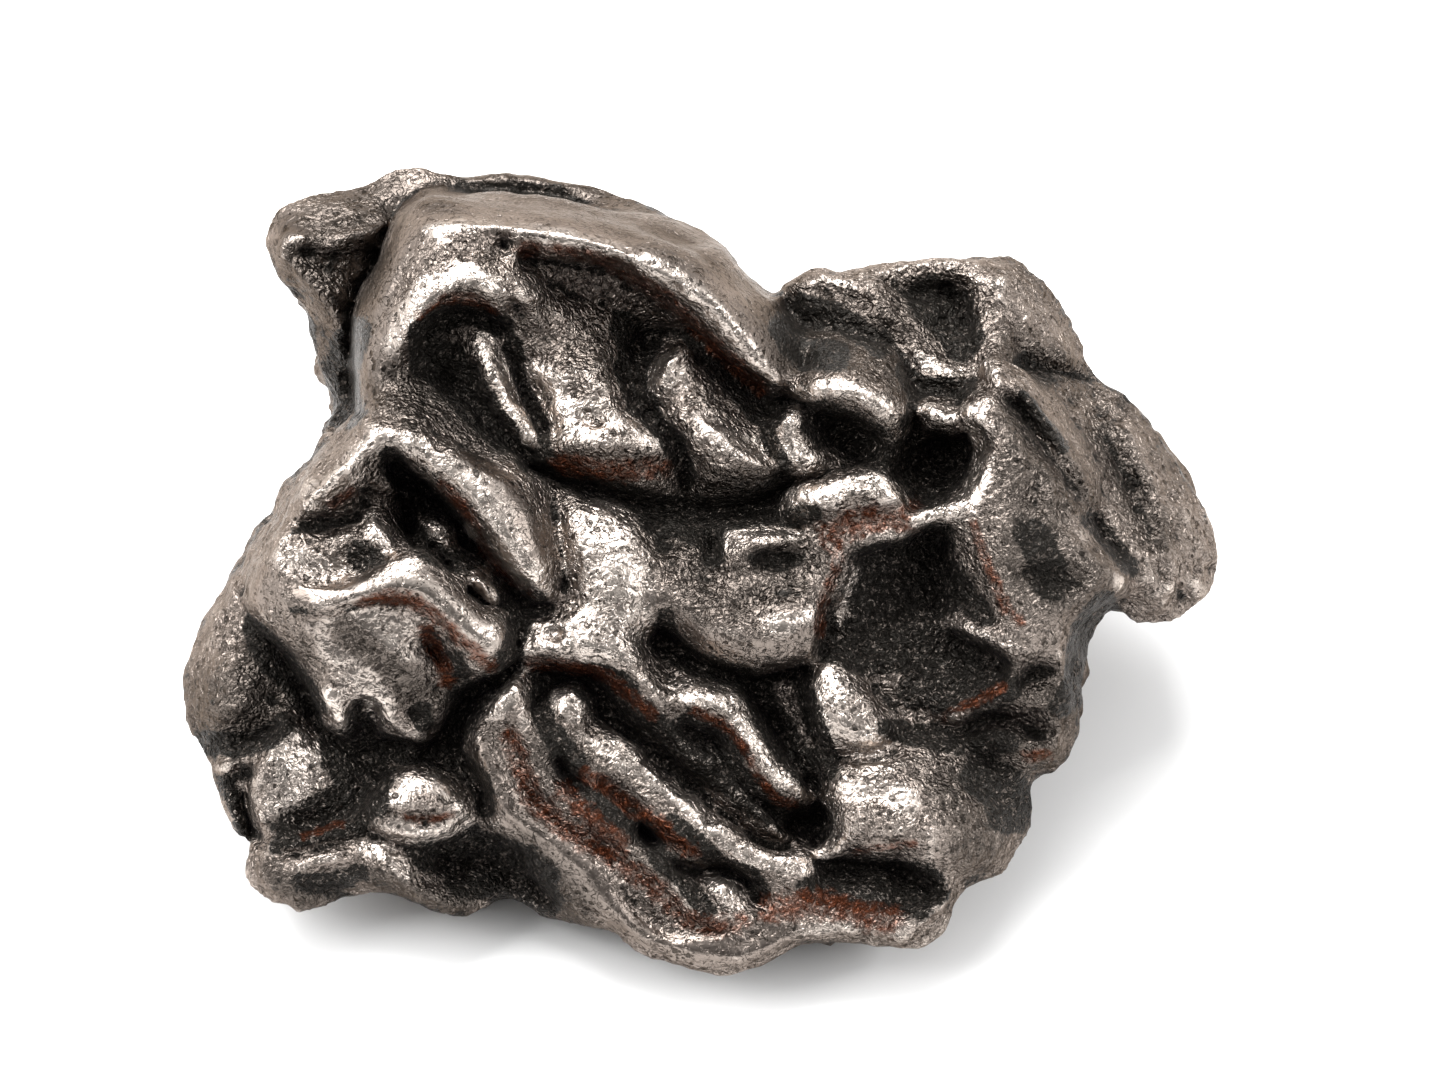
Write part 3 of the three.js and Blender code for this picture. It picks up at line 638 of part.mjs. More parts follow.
// The left block, which stands nearest: two arms, a slot, a long lip and a pitted face.
const LEFT_BLOCK = {
  armRight: [
    [-11.3, 3.5, 1.9], [-10.7, 3.45, 2.2], [-10.1, 3.15, 2.4], [-9.5, 2.75, 2.5], [-8.9, 2.3, 2.6],
    [-8.4, 1.8, 2.6], [-8, 1.2, 2.6], [-7.6, 0.4, 2.6], [-7.2, -0.2, 2.5], [-6.7, -0.8, 2.3],
    [-6.15, -1.3, 2],
  ],
  armRightShoulder: [
    [-9.3, 3.1, 2], [-8.4, 2.75, 2.15], [-7.6, 2.3, 2.2], [-7, 1.6, 2.25], [-6.6, 0.8, 2.3],
    [-6.3, 0, 2.25], [-6, -0.8, 2],
  ],
  armRightEdge: [
    [-9.6, 3.6, 1], [-8.6, 3.2, 0.9], [-7.6, 2.95, 0.9], [-6.9, 2.5, 1], [-6.35, 1.95, 1.1],
    [-6.05, 1.2, 1.2], [-5.85, 0.3, 1.3], [-5.65, -0.6, 1.2], [-5.55, -1.3, 1], [-5.8, -1.75, 0.9],
  ],
  armRightFoot: [
    [-6.15, 2.2, -0.9], [-5.8, 1.4, -0.5], [-5.6, 0.4, -0.1], [-5.4, -0.6, 0], [-5.35, -1.5, -0.2],
  ],
  armRightLow: [
    [-11.2, 3.15, 1.6], [-10.6, 2.75, 1.7], [-10, 2.35, 1.8], [-9.3, 1.85, 1.8], [-8.8, 1.25, 1.8],
    [-8.3, 0.6, 1.7], [-7.8, 0, 1.6], [-7.2, -0.7, 1.5], [-6.7, -1.3, 1.3], [-6.2, -1.75, 1.1],
  ],
  slotRightWall: [
    [-11, 2.8, -0.6], [-10.4, 2.2, -1.4], [-9.7, 1.6, -1.8], [-9.2, 1, -1.9], [-8.7, 0.3, -1.9],
    [-8.2, -0.3, -1.8], [-7.6, -0.9, -1.5], [-7, -1.5, -1.2], [-6.5, -2, -1],
  ],
  slotLeftWall: [
    [-11.1, 2.5, -0.6], [-10.7, 1.3, -1.6], [-10.6, 0.6, -1.8], [-10.4, 0, -1.6],
    [-9.6, -0.3, -1.4], [-9, -0.9, -1],
  ],
  slotLump: [[-10.05, 0.75, -0.1], [-9.7, 0.5, 0.3], [-9.3, 0.25, 0.3], [-9, 0, 0]],
  slotBead: [[-8.6, 0.5, 0.3], [-8.4, 0.25, 0.3]],
  slotCone: [[-8.25, -0.85, 1.1], [-8.05, -1.15, 1.7], [-7.8, -1.6, 1.6], [-7.5, -1.9, 1]],
  slotConeFoot: [[-8.5, -1.6, -0.6], [-7.9, -2.05, -0.2], [-7.2, -2.1, -0.3]],
  slotTail: [[-7.2, -2.5, 0.1], [-6.9, -3, -0.2], [-6.9, -3.5, -0.6]],
  armLeft: [
    [-11.5, 3.5, 2], [-11.9, 3.1, 2.4], [-12.3, 2.8, 2.15], [-12.7, 2.45, 2.5], [-13.2, 2.1, 2.25],
    [-13.6, 1.65, 2.4], [-14, 1.2, 1.9],
  ],
  armPeak: [[-11.9, 3.75, 1.7], [-11.3, 3.75, 2], [-10.8, 3.6, 2.1]],
  armLeftLow: [
    [-11.7, 2.5, 1.5], [-12.1, 2, 1.6], [-12.7, 1.45, 1.5], [-13.4, 1.05, 1.4], [-14.1, 0.75, 1.3],
  ],
  armLeftFoot: [
    [-11.9, 1.6, 0.1], [-12.1, 1, 0.2], [-12.8, 0.7, 0.3], [-13.5, 0.65, 0.5], [-14.2, 0.55, 0.8],
  ],
  tongue: [[-11.9, 2.3, 1.3], [-11.3, 2.2, 1.1], [-10.9, 1.85, 0.9], [-10.55, 1.5, 0.5]],
  leftEdge: [
    [-12.25, 4.2, 0], [-12.6, 3.8, 0.3], [-13.1, 3.2, 0.5], [-13.7, 2.5, 0.6], [-14.1, 1.9, 0.7],
    [-14.6, 0.9, 0.7], [-15.15, 0, 0.8], [-15.6, -0.8, 0.8], [-15.8, -1.5, 0.8],
    [-15.7, -2.1, 0.8], [-15, -2.9, 0.8], [-14.3, -3.6, 0.7], [-13.85, -4.4, 0.5],
    [-13.45, -5.2, 0.3], [-13.15, -5.9, 0.2], [-12.8, -6.3, 0],
  ],
  leftEdgeFoot: [
    [-12.6, 4.1, -4.6], [-13, 3.7, -4], [-13.4, 3.2, -3.8], [-13.9, 2.6, -3.7], [-14.4, 1.9, -3.5],
    [-14.9, 1, -3.2], [-15.4, 0.1, -3], [-15.85, -0.8, -2.8], [-16.05, -1.6, -2.6],
    [-15.95, -2.3, -2.3], [-15.2, -3.1, -2.2], [-14.5, -3.9, -2.2], [-14.1, -4.8, -2.3],
    [-13.7, -5.6, -2.4], [-13.3, -6.3, -2.2], [-12.8, -6.6, -1.9],
  ],
  plateBody: [
    [-14.2, -0.4, 1.65], [-13.6, -0.3, 1.6], [-13, -0.25, 1.5], [-12.4, -0.3, 1.3],
    [-12.6, -0.9, 1.4], [-11.8, -0.8, 1.1],
  ],
  plateTopEdge: [[-14.3, 0.3, 1.5], [-13.5, 0.25, 1.5], [-12.8, 0.4, 1.4], [-12.2, 0.65, 1.2]],
  plateLeftRim: [[-14.7, 0.3, 1.7], [-14.8, -0.3, 1.8], [-14.75, -0.9, 1.85], [-14.4, -1.35, 1.9]],
  plateRightRim: [[-12, 1.15, 0.7], [-11.6, 0.65, 1.5], [-11.3, 0.15, 1.7], [-11, -0.3, 1.4]],
  longRidge: [
    [-15.1, -1.5, 1.5], [-14.5, -1.75, 2], [-13.9, -1.8, 2.25], [-13.2, -1.75, 2.35],
    [-12.5, -1.5, 2.45], [-11.8, -1.15, 2.6], [-11.2, -0.85, 2.7], [-10.6, -0.8, 2.75],
    [-10, -0.95, 2.75], [-9.5, -1.3, 2.7], [-9, -1.8, 2.65], [-8.5, -2.25, 2.55], [-8, -2.7, 2.45],
    [-7.5, -3.2, 2.2], [-7.25, -3.6, 1.9],
  ],
  longRidgeBack: [
    [-15, -1, 1.5], [-14, -1.4, 2.1], [-13.2, -1.4, 2.2], [-12.4, -1.15, 2.2], [-11.7, -0.75, 2.3],
    [-11, -0.45, 2.5], [-10.3, -0.4, 2.5], [-9.6, -0.75, 2.4], [-9.1, -1.3, 2.4],
    [-8.6, -1.8, 2.3], [-8, -2.25, 2.2], [-7.4, -2.8, 2], [-7.05, -3.4, 1.7],
  ],
  longRidgeFront: [
    [-13.6, -2.15, 2.5], [-12.8, -2, 2.65], [-12, -1.75, 2.8], [-11.3, -1.45, 2.9],
    [-10.6, -1.35, 3], [-9.9, -1.6, 2.95], [-9.3, -2.15, 2.85], [-8.8, -2.65, 2.75],
    [-8.2, -3.15, 2.6], [-7.7, -3.6, 2.3],
  ],
  longRidgeFoot: [
    [-13.9, -1.15, 1.6], [-13.1, -1.1, 1.5], [-12.4, -0.8, 1.3], [-11.6, -0.45, 1.3],
    [-10.9, -0.1, 1.4], [-10.2, -0.05, 1.3], [-9.4, -0.45, 1.2], [-8.8, -1, 1.2],
    [-8.3, -1.5, 1.2], [-7.8, -1.95, 1.1], [-7.2, -2.5, 1],
  ],
  longRidgeLow: [
    [-15, -2.4, 1.5], [-14.2, -2.5, 1.8], [-13.4, -2.5, 1.9], [-12.7, -2.35, 1.9],
    [-12, -2.1, 1.9], [-11.3, -1.95, 2], [-10.7, -2.1, 1.9], [-10, -2.45, 1.8], [-9.5, -2.9, 1.7],
    [-9, -3.5, 1.6], [-8.5, -4.05, 1.5], [-8, -4.35, 1.4], [-7.5, -4.25, 1.4], [-7.15, -3.85, 1.5],
  ],
  frontFaceA: [[-14, -3.1, 1.4], [-12.9, -3.1, 1.6], [-11.8, -2.8, 1.7], [-11, -2.8, 1.5]],
  frontFaceB: [[-13.3, -4.1, 1.1], [-12.3, -4.2, 1.3], [-11.2, -4, 1.4], [-10.4, -4, 1.2]],
  frontPit: [[-9.9, -3.3, 0.6], [-9.6, -3.6, 0.3], [-9.3, -4.1, 0.4]],
  frontLow: [[-9.6, -4.9, 0.4], [-9.1, -4.7, 0.2], [-8.7, -4.6, 0.4]],
  legOne: [[-13.4, -4.8, 1.1], [-13.1, -5.4, 1.1], [-12.85, -5.9, 1], [-12.65, -6.2, 0.7]],
  legTwo: [[-12.5, -4.9, 1], [-12.1, -4.95, 0.9], [-11.8, -5, 0.9]],
  legGap: [
    [-12.25, -5.6, -0.2], [-12.1, -5.3, 0.1], [-11.8, -5.6, -0.4], [-11.7, -6.2, -1.1],
    [-12.2, -6.4, -1.3],
  ],
  legThree: [
    [-11.6, -5, 0.8], [-11.25, -5.6, 0.7], [-10.8, -6.15, 0.5], [-10.3, -6.5, 0.4],
    [-10, -6.6, 0.2],
  ],
  legThreePit: [[-10.6, -5.6, -0.1], [-10.3, -5.9, -0.3]],
  legThreeRight: [[-10.4, -5, 0.6], [-9.8, -5.2, 0.5], [-9.3, -5.5, 0.3], [-9.7, -6.1, 0.1]],
  middleCrevice: [
    [-6.9, -4, -0.9], [-7.4, -4.5, -1.2], [-8.2, -4.8, -1.4], [-8.8, -5.4, -1.6],
    [-9.2, -6.1, -1.7], [-9.6, -6.8, -1.8], [-10.2, -7, -1.7], [-11, -6.6, -1.6],
    [-11.7, -6.8, -1.6],
  ],
  middleCreviceRight: [
    [-7.9, -5.2, -0.8], [-8.5, -5.9, -1.1], [-8.8, -6.6, -1.4], [-8.6, -7.5, -1.6],
    [-8.1, -8.3, -1.4], [-8, -9, -1.2],
  ],
};

// The left lobe and the wedge plate under it.
const LEFT_LOBE = {
  leftRim: [
    [-14.9, 1.2, -4.3], [-15.6, 0.4, -4.2], [-16, -0.4, -4.1], [-16.6, -1.3, -4],
    [-17.1, -2.2, -3.9], [-17.55, -3.3, -3.7], [-17.9, -4.4, -3.5], [-18, -5.2, -3.5],
    [-17.8, -6, -3.5], [-17.4, -6.6, -3.5],
  ],
  leftStrip: [[-13.4, 3.8, -4.3], [-14.2, 2.4, -3.9], [-14.9, 0.8, -3.3]],
  leftStripB: [[-15.7, 0, -3.2], [-16.3, -1.2, -3], [-16.9, -2.4, -2.9], [-17.2, -3.4, -2.6]],
  leftLobe: [[-17.3, -4.6, -1.9], [-16.6, -4.3, -1.2], [-15.9, -4.3, -1.2], [-15.2, -4.4, -1.7]],
  leftLobeLow: [[-17.4, -5.6, -1.9], [-16.6, -5.6, -1.2], [-15.7, -5.5, -1.3], [-14.9, -5.4, -1.9]],
  leftLobeFoot: [[-17.2, -6.5, -2.6], [-16.4, -6.5, -2.5], [-15.6, -6.4, -2.4], [-14.9, -6.1, -2.3]],
  leftLedge: [[-17, -7.5, -2], [-16.6, -7.45, -1.5], [-16.1, -7.3, -1.3], [-15.5, -7.15, -1.4]],
  leftLedgeLow: [[-16.8, -8, -2.4], [-16.2, -7.8, -2.3], [-15.8, -7.7, -2.4]],
  leftNub: [[-16.5, -8.4, -1.8], [-16.4, -9, -1.6], [-16.1, -9.6, -1.9]],
  leftNubGap: [[-16, -8.3, -2.9], [-15.95, -9, -3], [-15.7, -9.7, -2.7], [-15.6, -10, -2.3]],
  wedgeEdge: [
    [-14.6, -5.8, -0.6], [-14.85, -6.5, -0.5], [-15.2, -7.1, -0.5], [-15.5, -7.7, -0.55],
    [-15.75, -8.4, -0.7], [-15.6, -9.1, -0.8], [-15.4, -9.5, -1],
  ],
  wedgeFace: [
    [-14.3, -6.5, -0.6], [-14.4, -7.4, -0.7], [-14.6, -8.4, -0.85], [-13.8, -7, -0.9],
    [-13.7, -8.2, -1.2],
  ],
  wedgeRight: [
    [-13, -6.9, -1.3], [-12.4, -7.6, -1.5], [-12, -8.3, -1.6], [-12.6, -8.9, -1.5],
    [-13.4, -9.2, -1.6], [-14.3, -9.4, -1.7],
  ],
  wedgeHollow: [[-13.5, -6.3, -1.6], [-12.8, -6.9, -1.8], [-11.8, -7.2, -1.9], [-11.4, -7.7, -1.8]],
};

// The roll, the toe, the nut and the recess at the lower left.
const LOWER_LEFT = {
  rollTop: [
    [-15.6, -10.3, -1.2], [-15, -10.1, -0.8], [-14.3, -10.1, -0.6], [-13.7, -9.9, -0.6],
    [-13.1, -9.7, -0.6], [-12.4, -9.5, -0.6],
  ],
  rollSeam: [[-14.7, -10.5, -0.9], [-14, -10.4, -1], [-13.2, -10.15, -1], [-12.3, -9.95, -1]],
  rollLow: [[-14.3, -10.85, -0.3], [-13.6, -10.65, -0.2], [-12.8, -10.5, -0.3], [-12.2, -10.45, -0.5]],
  rollLowEdge: [[-13.9, -11, -0.8], [-13.2, -10.8, -0.8], [-12.3, -10.7, -0.9]],
  rollHollow: [[-13.9, -11.45, -1.2], [-13.2, -11.4, -1.6], [-12.9, -11.7, -1.8]],
  rollKnob: [[-12.9, -11.1, -0.9], [-12.5, -11.3, -0.9]],
  rollEnd: [[-15.4, -11, -0.9], [-15, -11.5, -0.9], [-14.3, -11.8, -1], [-13.5, -12, -1.4]],
  toe: [
    [-11.9, -10.2, -0.5], [-11.4, -10.6, -0.2], [-10.9, -11.1, -0.2], [-10.3, -11.6, -0.4],
    [-9.5, -12, -0.7], [-8.8, -12.1, -1.1],
  ],
  toeLeft: [[-12.1, -11, -1], [-11.6, -11.4, -1]],
  nutCrest: [
    [-11.8, -8.9, 0.2], [-11.2, -8.6, 0.6], [-10.6, -8.7, 0.8], [-9.9, -8.75, 0.85],
    [-9.2, -8.8, 0.75], [-8.5, -8.6, 0.4],
  ],
  nutGroove: [[-11.3, -9.1, 0.2], [-10.6, -9.2, 0.2], [-9.8, -9.25, 0.2], [-9, -9.15, 0.15]],
  nutTop: [
    [-11.3, -8.2, 0.1], [-10.8, -7.8, 0.1], [-10.2, -7.75, 0.1], [-9.6, -7.95, 0.2],
    [-9.1, -8.25, 0.2],
  ],
  nutLow: [
    [-11.8, -9.35, 0.2], [-11.1, -9.6, 0.5], [-10.2, -9.75, 0.6], [-9.3, -9.55, 0.5],
    [-8.6, -9.1, 0.2],
  ],
  nutFoot: [
    [-12.1, -9, -0.7], [-11.9, -9.65, -0.9], [-11, -10, -0.8], [-10, -10.2, -1.2],
    [-9, -9.95, -1.4], [-8.3, -9.4, -1.2],
  ],
  nutBack: [
    [-11.9, -8.4, -1.3], [-11.4, -7.8, -1.5], [-10.6, -7.4, -1.6], [-9.6, -7.5, -1.5],
    [-8.8, -8, -1.2],
  ],
  recess: [
    [-9.6, -10.5, -2.2], [-8.8, -10.9, -2.5], [-7.8, -10.6, -2.5], [-7.2, -11.2, -2.6],
    [-6.4, -11.3, -2.4], [-5.8, -12, -2.2],
  ],
  recessTop: [[-8.2, -9.7, -1.6], [-7.4, -10.1, -2], [-6.8, -10.5, -2]],
  recessRim: [
    [-8.3, -12.1, -1.5], [-7.4, -11.6, -2.2], [-6.6, -12, -1.9], [-5.6, -12.4, -1.9],
    [-4.8, -12.65, -1.9],
  ],
};

// The head of the lower plate and its small knob.
const PLATE_HEAD = {
  platePeak: [[-7.1, -4.5, 0.8], [-7.35, -5.1, 1], [-7.6, -5.5, 0.9], [-8.1, -5.9, 0.6]],
  plateShoulder: [[-7.9, -6.3, 0.3], [-7.5, -6, 0.5], [-7, -5.9, 0.5]],
  knob: [
    [-5.8, -5.5, 0.2], [-5.5, -5.05, 0.5], [-5, -4.95, 0.65], [-4.75, -5.3, 0.7],
    [-4.75, -5.8, 0.6], [-5.1, -6, 0.5],
  ],
  knobFootTwo: [
    [-6.3, -5.5, -0.7], [-6, -4.95, -0.9], [-5.4, -4.65, -1.2], [-4.7, -4.65, -1.2],
    [-4.3, -5.2, -1.2], [-4.3, -5.9, -0.9],
  ],
};

// The rear wall: a rolled upper edge over scoops with ridges between them.
const REAR_WALL = {
  rearTopRoll: [
    [-14.6, 12.2, 10.2], [-13, 13.2, 10.6], [-11, 14, 10.9], [-8.8, 14.6, 10.9],
    [-6.6, 14.9, 10.8], [-4.6, 14.6, 10.7], [-3, 13.6, 10.6], [-1.6, 12.4, 10.4], [0, 11, 10.4],
  ],
  rearTopGroove: [
    [-12.6, 12.3, 9.2], [-10.6, 12.9, 9.4], [-8.4, 13.4, 9.1], [-6.2, 13.7, 8.9], [-4.2, 13.2, 9],
    [-2.4, 12, 9.1],
  ],
  rearLeftRidge: [
    [-13.9, 11.6, 8.6], [-13.2, 12.2, 7.2], [-12.6, 12.4, 5.6], [-12.4, 11.4, 4],
    [-12.2, 9.8, 2.6], [-11.4, 8, 1.4],
  ],
  rearLeftSpur: [[-12.6, 12.4, 5.6], [-14, 9.4, 5.2], [-14.9, 6.6, 5.2]],
  rearLeftScoop: [[-11.2, 12.2, 8], [-10.6, 11.9, 6.6], [-10.4, 11.4, 5], [-10.2, 10.2, 3.4]],
  rearMiddleRidge: [
    [-8.6, 13.6, 8.2], [-8.2, 14.4, 6.8], [-7.4, 14.7, 5.2], [-6.6, 13.8, 3.6], [-6, 12.4, 2.2],
    [-5.4, 10.6, 0.9],
  ],
  rearMiddleSpur: [[-7.4, 14.7, 5.2], [-9, 13.2, 4], [-9.4, 11.4, 2.6]],
  rearMiddleScoop: [[-5.6, 13.2, 8], [-4.6, 12.8, 6.6], [-3.8, 12, 5], [-3.6, 10.8, 3.4]],
  rearMiddleNub: [[-2.6, 12.4, 3.6], [-1.8, 12.6, 4.4], [-0.8, 12.3, 4]],
  rearShelfRidge: [
    [-3.2, 13.2, 8.2], [-2, 13.4, 7.2], [-0.6, 13, 6.4], [0.6, 12.6, 5.4], [1.8, 12.8, 4.2],
    [2.4, 11.8, 2.8], [2.4, 10.2, 1.4],
  ],
  rearHighScoop: [[-0.8, 11.4, 8.8], [0.4, 11.2, 8]],
  rearCrevice: [[1.9, 9.6, 9.4], [2.6, 9.7, 8.2], [3.2, 10, 6.8], [3.9, 10.2, 5.4], [4.4, 9.8, 4]],
  rearFarRoll: [
    [2.9, 10.6, 10.6], [4.6, 11.4, 10.4], [6.4, 11.8, 10.2], [8.2, 12, 10], [9.8, 11.4, 9.6],
    [10.9, 10.4, 8.8], [11.6, 9.6, 7.6],
  ],
  rearFarScoop: [[5.6, 10.7, 8.8], [7.2, 10.6, 8.2], [8.6, 10.2, 7.4]],
  rearFarRidge: [[5.2, 11.8, 7.2], [6, 12.2, 5.8], [6.8, 11.6, 4.4], [7, 10.4, 3], [6.6, 9, 1.8]],
  rightRearPit: [[8.4, 10, 5.4], [8.8, 9.4, 4.2]],
  rightRearRidge: [[11.4, 9.2, 6.4], [11, 9.8, 5], [10.4, 9.2, 3.6], [9.8, 7.8, 2.6], [9.2, 6.2, 1.9]],
};

// The overhanging right side.
const UNDER_RIGHT = {
  slabUnderRoll: [
    [13.4, 8.4, 6.6], [14.4, 7.4, 5.4], [15.2, 6, 4.6], [15.7, 4.4, 4.4], [15.6, 2.8, 4.5],
    [14.9, 1.4, 4.8],
  ],
  slabUnderGroove: [[12.6, 7.8, 5.6], [13.1, 6.4, 4.6], [13.4, 4.8, 4.3], [13.2, 3.2, 4.4]],
  slabUnderLump: [[12, 6.4, 3.6], [12.3, 4.8, 3], [12.1, 3.2, 3.2]],
  rightFlankRidge: [
    [11.9, 1.6, 3.6], [11.6, 0, 3.3], [11.2, -1.6, 3.1], [10.8, -3.2, 2.9], [10.4, -4.8, 2.9],
  ],
  rightUnderGroove: [[10.4, 4.2, 2.4], [10.2, 2.4, 2.2], [9.8, 0.6, 2.2], [9.4, -1.2, 2], [9.2, -3, 2.1]],
  rightUnderSpur: [[8.6, 4.6, 1.3], [8.2, 2.6, 1], [8, 0.6, 1.2]],
  rightFrontHollow: [[8.6, -6.4, 2.3], [8.4, -5, 1.7]],
};

// The three worn flats that it rests on.
const FEET = {
  rightFoot: [
    [3, -6.4, -0.35], [4.6, -6.9, -0.4], [6.2, -6, -0.4], [6.8, -4.4, -0.4], [5.6, -3.4, -0.4],
    [4, -4.2, -0.4], [3, -5.4, -0.35],
  ],
  rightFootSole: [[4.6, -5.4, -0.4], [5.6, -4.8, -0.4]],
  leftFoot: [
    [-9.6, -4.4, -0.35], [-8.6, -5.6, -0.4], [-6.8, -5.8, -0.4], [-5.6, -4.6, -0.4],
    [-6, -3, -0.4], [-7.6, -2, -0.4], [-9.2, -2.8, -0.4],
  ],
  leftFootSole: [[-7.6, -4.4, -0.4], [-6.9, -3.8, -0.4]],
  rearFoot: [
    [-4.4, 7.4, -0.35], [-3.8, 8.8, -0.4], [-2, 9.6, -0.4], [0, 9.2, -0.4], [1, 7.8, -0.4],
    [0.2, 6.4, -0.4], [-1.8, 5.8, -0.4], [-3.6, 6.2, -0.4],
  ],
  rearFootSole: [[-2.4, 7.6, -0.4], [-0.8, 7.8, -0.4]],
};

// The edges that overhang at the front and on the left.
const UNDER_EDGES = {
  frontRimRoll: [
    [-2.6, -10.2, 1.1], [-0.8, -10.6, 1.1], [1.2, -10.6, 1.1], [3.4, -10.2, 1.1],
    [5.4, -10.2, 1.1], [6.8, -9.4, 1.3],
  ],
  frontHollow: [[-2.2, -8.4, 1.9], [-0.4, -8.6, 1.7], [1.4, -8.6, 1.6]],
  leftFrontRoll: [
    [-8.6, -8.6, 1.5], [-10.4, -8.2, 1.8], [-12.2, -8, 1.9], [-14.2, -7.9, 1.9],
    [-15.4, -6.8, 2.2],
  ],
  leftUnderRoll: [
    [-16.4, -4.8, 3], [-17, -3, 3.4], [-17, -1, 3.7], [-16.4, 0.8, 4.1], [-15.6, 2.6, 4.6],
    [-14.9, 4.4, 5], [-14.9, 6.6, 5.2],
  ],
  leftUnderGroove: [
    [-14.6, -5.4, 2.6], [-14.8, -3.4, 3.1], [-14.6, -1.4, 3.2], [-14, 0.6, 3.4], [-13.4, 2.6, 3.9],
    [-13.2, 4.6, 4.1],
  ],
  leftUnderRidge: [
    [-12.2, -5.6, 1.3], [-12.4, -3.6, 1.4], [-12.2, -1.6, 1.5], [-11.6, 0.6, 1.5],
    [-11.4, 2.8, 1.6], [-11.2, 5, 1.6], [-11.4, 8, 1.4],
  ],
};

// The hollows and ridges of the underside.
const BELLY = {
  bellyScoopLeft: [[-9.6, 0.6, 2.6], [-8.8, 2.4, 3], [-7.8, 4.2, 2.8]],
  bellyRidgeLeft: [
    [-6.4, -1.2, 0.5], [-5.8, 0.8, 0.9], [-5.2, 2.8, 0.8], [-4.4, 4.8, 0.5], [-3.8, 6.2, 0],
  ],
  bellyScoopMiddle: [[-3.4, -4.6, 2.4], [-2.6, -2.6, 2.9], [-2.2, -0.6, 2.8], [-2.4, 1.4, 2.2]],
  bellyFrontRidge: [[-3.9, -6.8, 0.9], [-1.8, -6.2, 0.7], [0.2, -6.4, 0.8], [1.8, -6.2, 0.4]],
  bellyRidgeRight: [[3.6, -2.8, 0.3], [3.4, -0.8, 0.8], [2.8, 1.2, 0.7], [2, 3.2, 0.7], [1, 5.2, 0.4]],
  bellyScoopRight: [[0.8, -4.2, 2.2], [0.9, -2.2, 2.6], [0.6, -0.2, 2.4]],
  bellyScoopFar: [[5.8, 0.2, 2.3], [5.6, 2.2, 2.7], [4.8, 4.4, 2.4]],
  bellyPit: [[3.4, 6.6, 2], [4.4, 7.6, 2.3]],
};
const FRONT = [
  EAR, HOOD, BOWL, VISOR, HOLE, STAR_LIP, MIDDLE, LOWER_PLATE, LOWER_BLOCK, VALLEY, RIGHT_BLOCK,
  REAR_RIGHT, LEFT_BLOCK, LEFT_LOBE, LOWER_LEFT, PLATE_HEAD,
];
const BACK = [REAR_WALL, UNDER_RIGHT, FEET, UNDER_EDGES, BELLY];

const lean = THREE.MathUtils.degToRad(FACE_LEAN);
const leanSin = Math.sin(lean);
const leanCos = Math.cos(lean);

// A line's points, laid close together along a smooth curve through the given ones.
function layPoints(line, closed) {
  const curve = new THREE.CatmullRomCurve3(line.map((p) => new THREE.Vector3(...p)), closed);
  const count = Math.max(2, Math.ceil(curve.getLength() / LINE_STEP));
  return curve.getPoints(count);
}

// A square grid of heights over the face plane.
class Grid {
  constructor(step) {
    const { across, up } = SKIN_LIMITS;
    this.step = step;
    this.columns = Math.ceil((across[1] - across[0]) / step) + 1;
    this.rows = Math.ceil((up[1] - up[0]) / step) + 1;
    this.height = new Float64Array(this.columns * this.rows);
  }

  // The height at a place between the grid's nodes.
  at(across, up) {
    const x = THREE.MathUtils.clamp((across - SKIN_LIMITS.across[0]) / this.step, 0, this.columns - 1.001);
    const y = THREE.MathUtils.clamp((up - SKIN_LIMITS.up[0]) / this.step, 0, this.rows - 1.001);
    const column = Math.floor(x);
    const row = Math.floor(y);
    const node = row * this.columns + column;
    const low = THREE.MathUtils.lerp(this.height[node], this.height[node + 1], x - column);
    const next = node + this.columns;
    const high = THREE.MathUtils.lerp(this.height[next], this.height[next + 1], x - column);
    return THREE.MathUtils.lerp(low, high, y - row);
  }

  // The mean of a node's four neighbours.
  around(column, row) {
    const left = row * this.columns + Math.max(column - 1, 0);
    const right = row * this.columns + Math.min(column + 1, this.columns - 1);
    const below = Math.max(row - 1, 0) * this.columns + column;
    const above = Math.min(row + 1, this.rows - 1) * this.columns + column;
    return (this.height[left] + this.height[right] + this.height[below] + this.height[above]) / 4;
  }
}

// A skin stretched over points: coarse grids first, so that wide gaps settle too.
function stretchSkin(points) {
  let skin = null;
  for (const { coarser, passes } of STRETCHES) {
    const grid = new Grid(SKIN_STEP * coarser);
    const sum = new Float64Array(grid.height.length);
    const hits = new Float64Array(grid.height.length);
    for (const point of points) {
      const column = Math.round((point.x - SKIN_LIMITS.across[0]) / grid.step);
      const row = Math.round((point.y - SKIN_LIMITS.up[0]) / grid.step);
      sum[row * grid.columns + column] += point.z;
      hits[row * grid.columns + column] += 1;
    }
    for (let row = 0; row < grid.rows; row += 1) {
      for (let column = 0; column < grid.columns; column += 1) {
        const node = row * grid.columns + column;
        const across = SKIN_LIMITS.across[0] + column * grid.step;
        const up = SKIN_LIMITS.up[0] + row * grid.step;
        const start = skin ? skin.at(across, up) : 0;
        grid.height[node] = hits[node] ? sum[node] / hits[node] : start;
      }
    }
    for (let pass = 0; pass < passes; pass += 1) {
      for (let row = 0; row < grid.rows; row += 1) {
        for (let column = 0; column < grid.columns; column += 1) {
          const node = row * grid.columns + column;
          if (!hits[node]) grid.height[node] = grid.around(column, row);
        }
      }
    }
    skin = grid;
  }
  return skin;
}

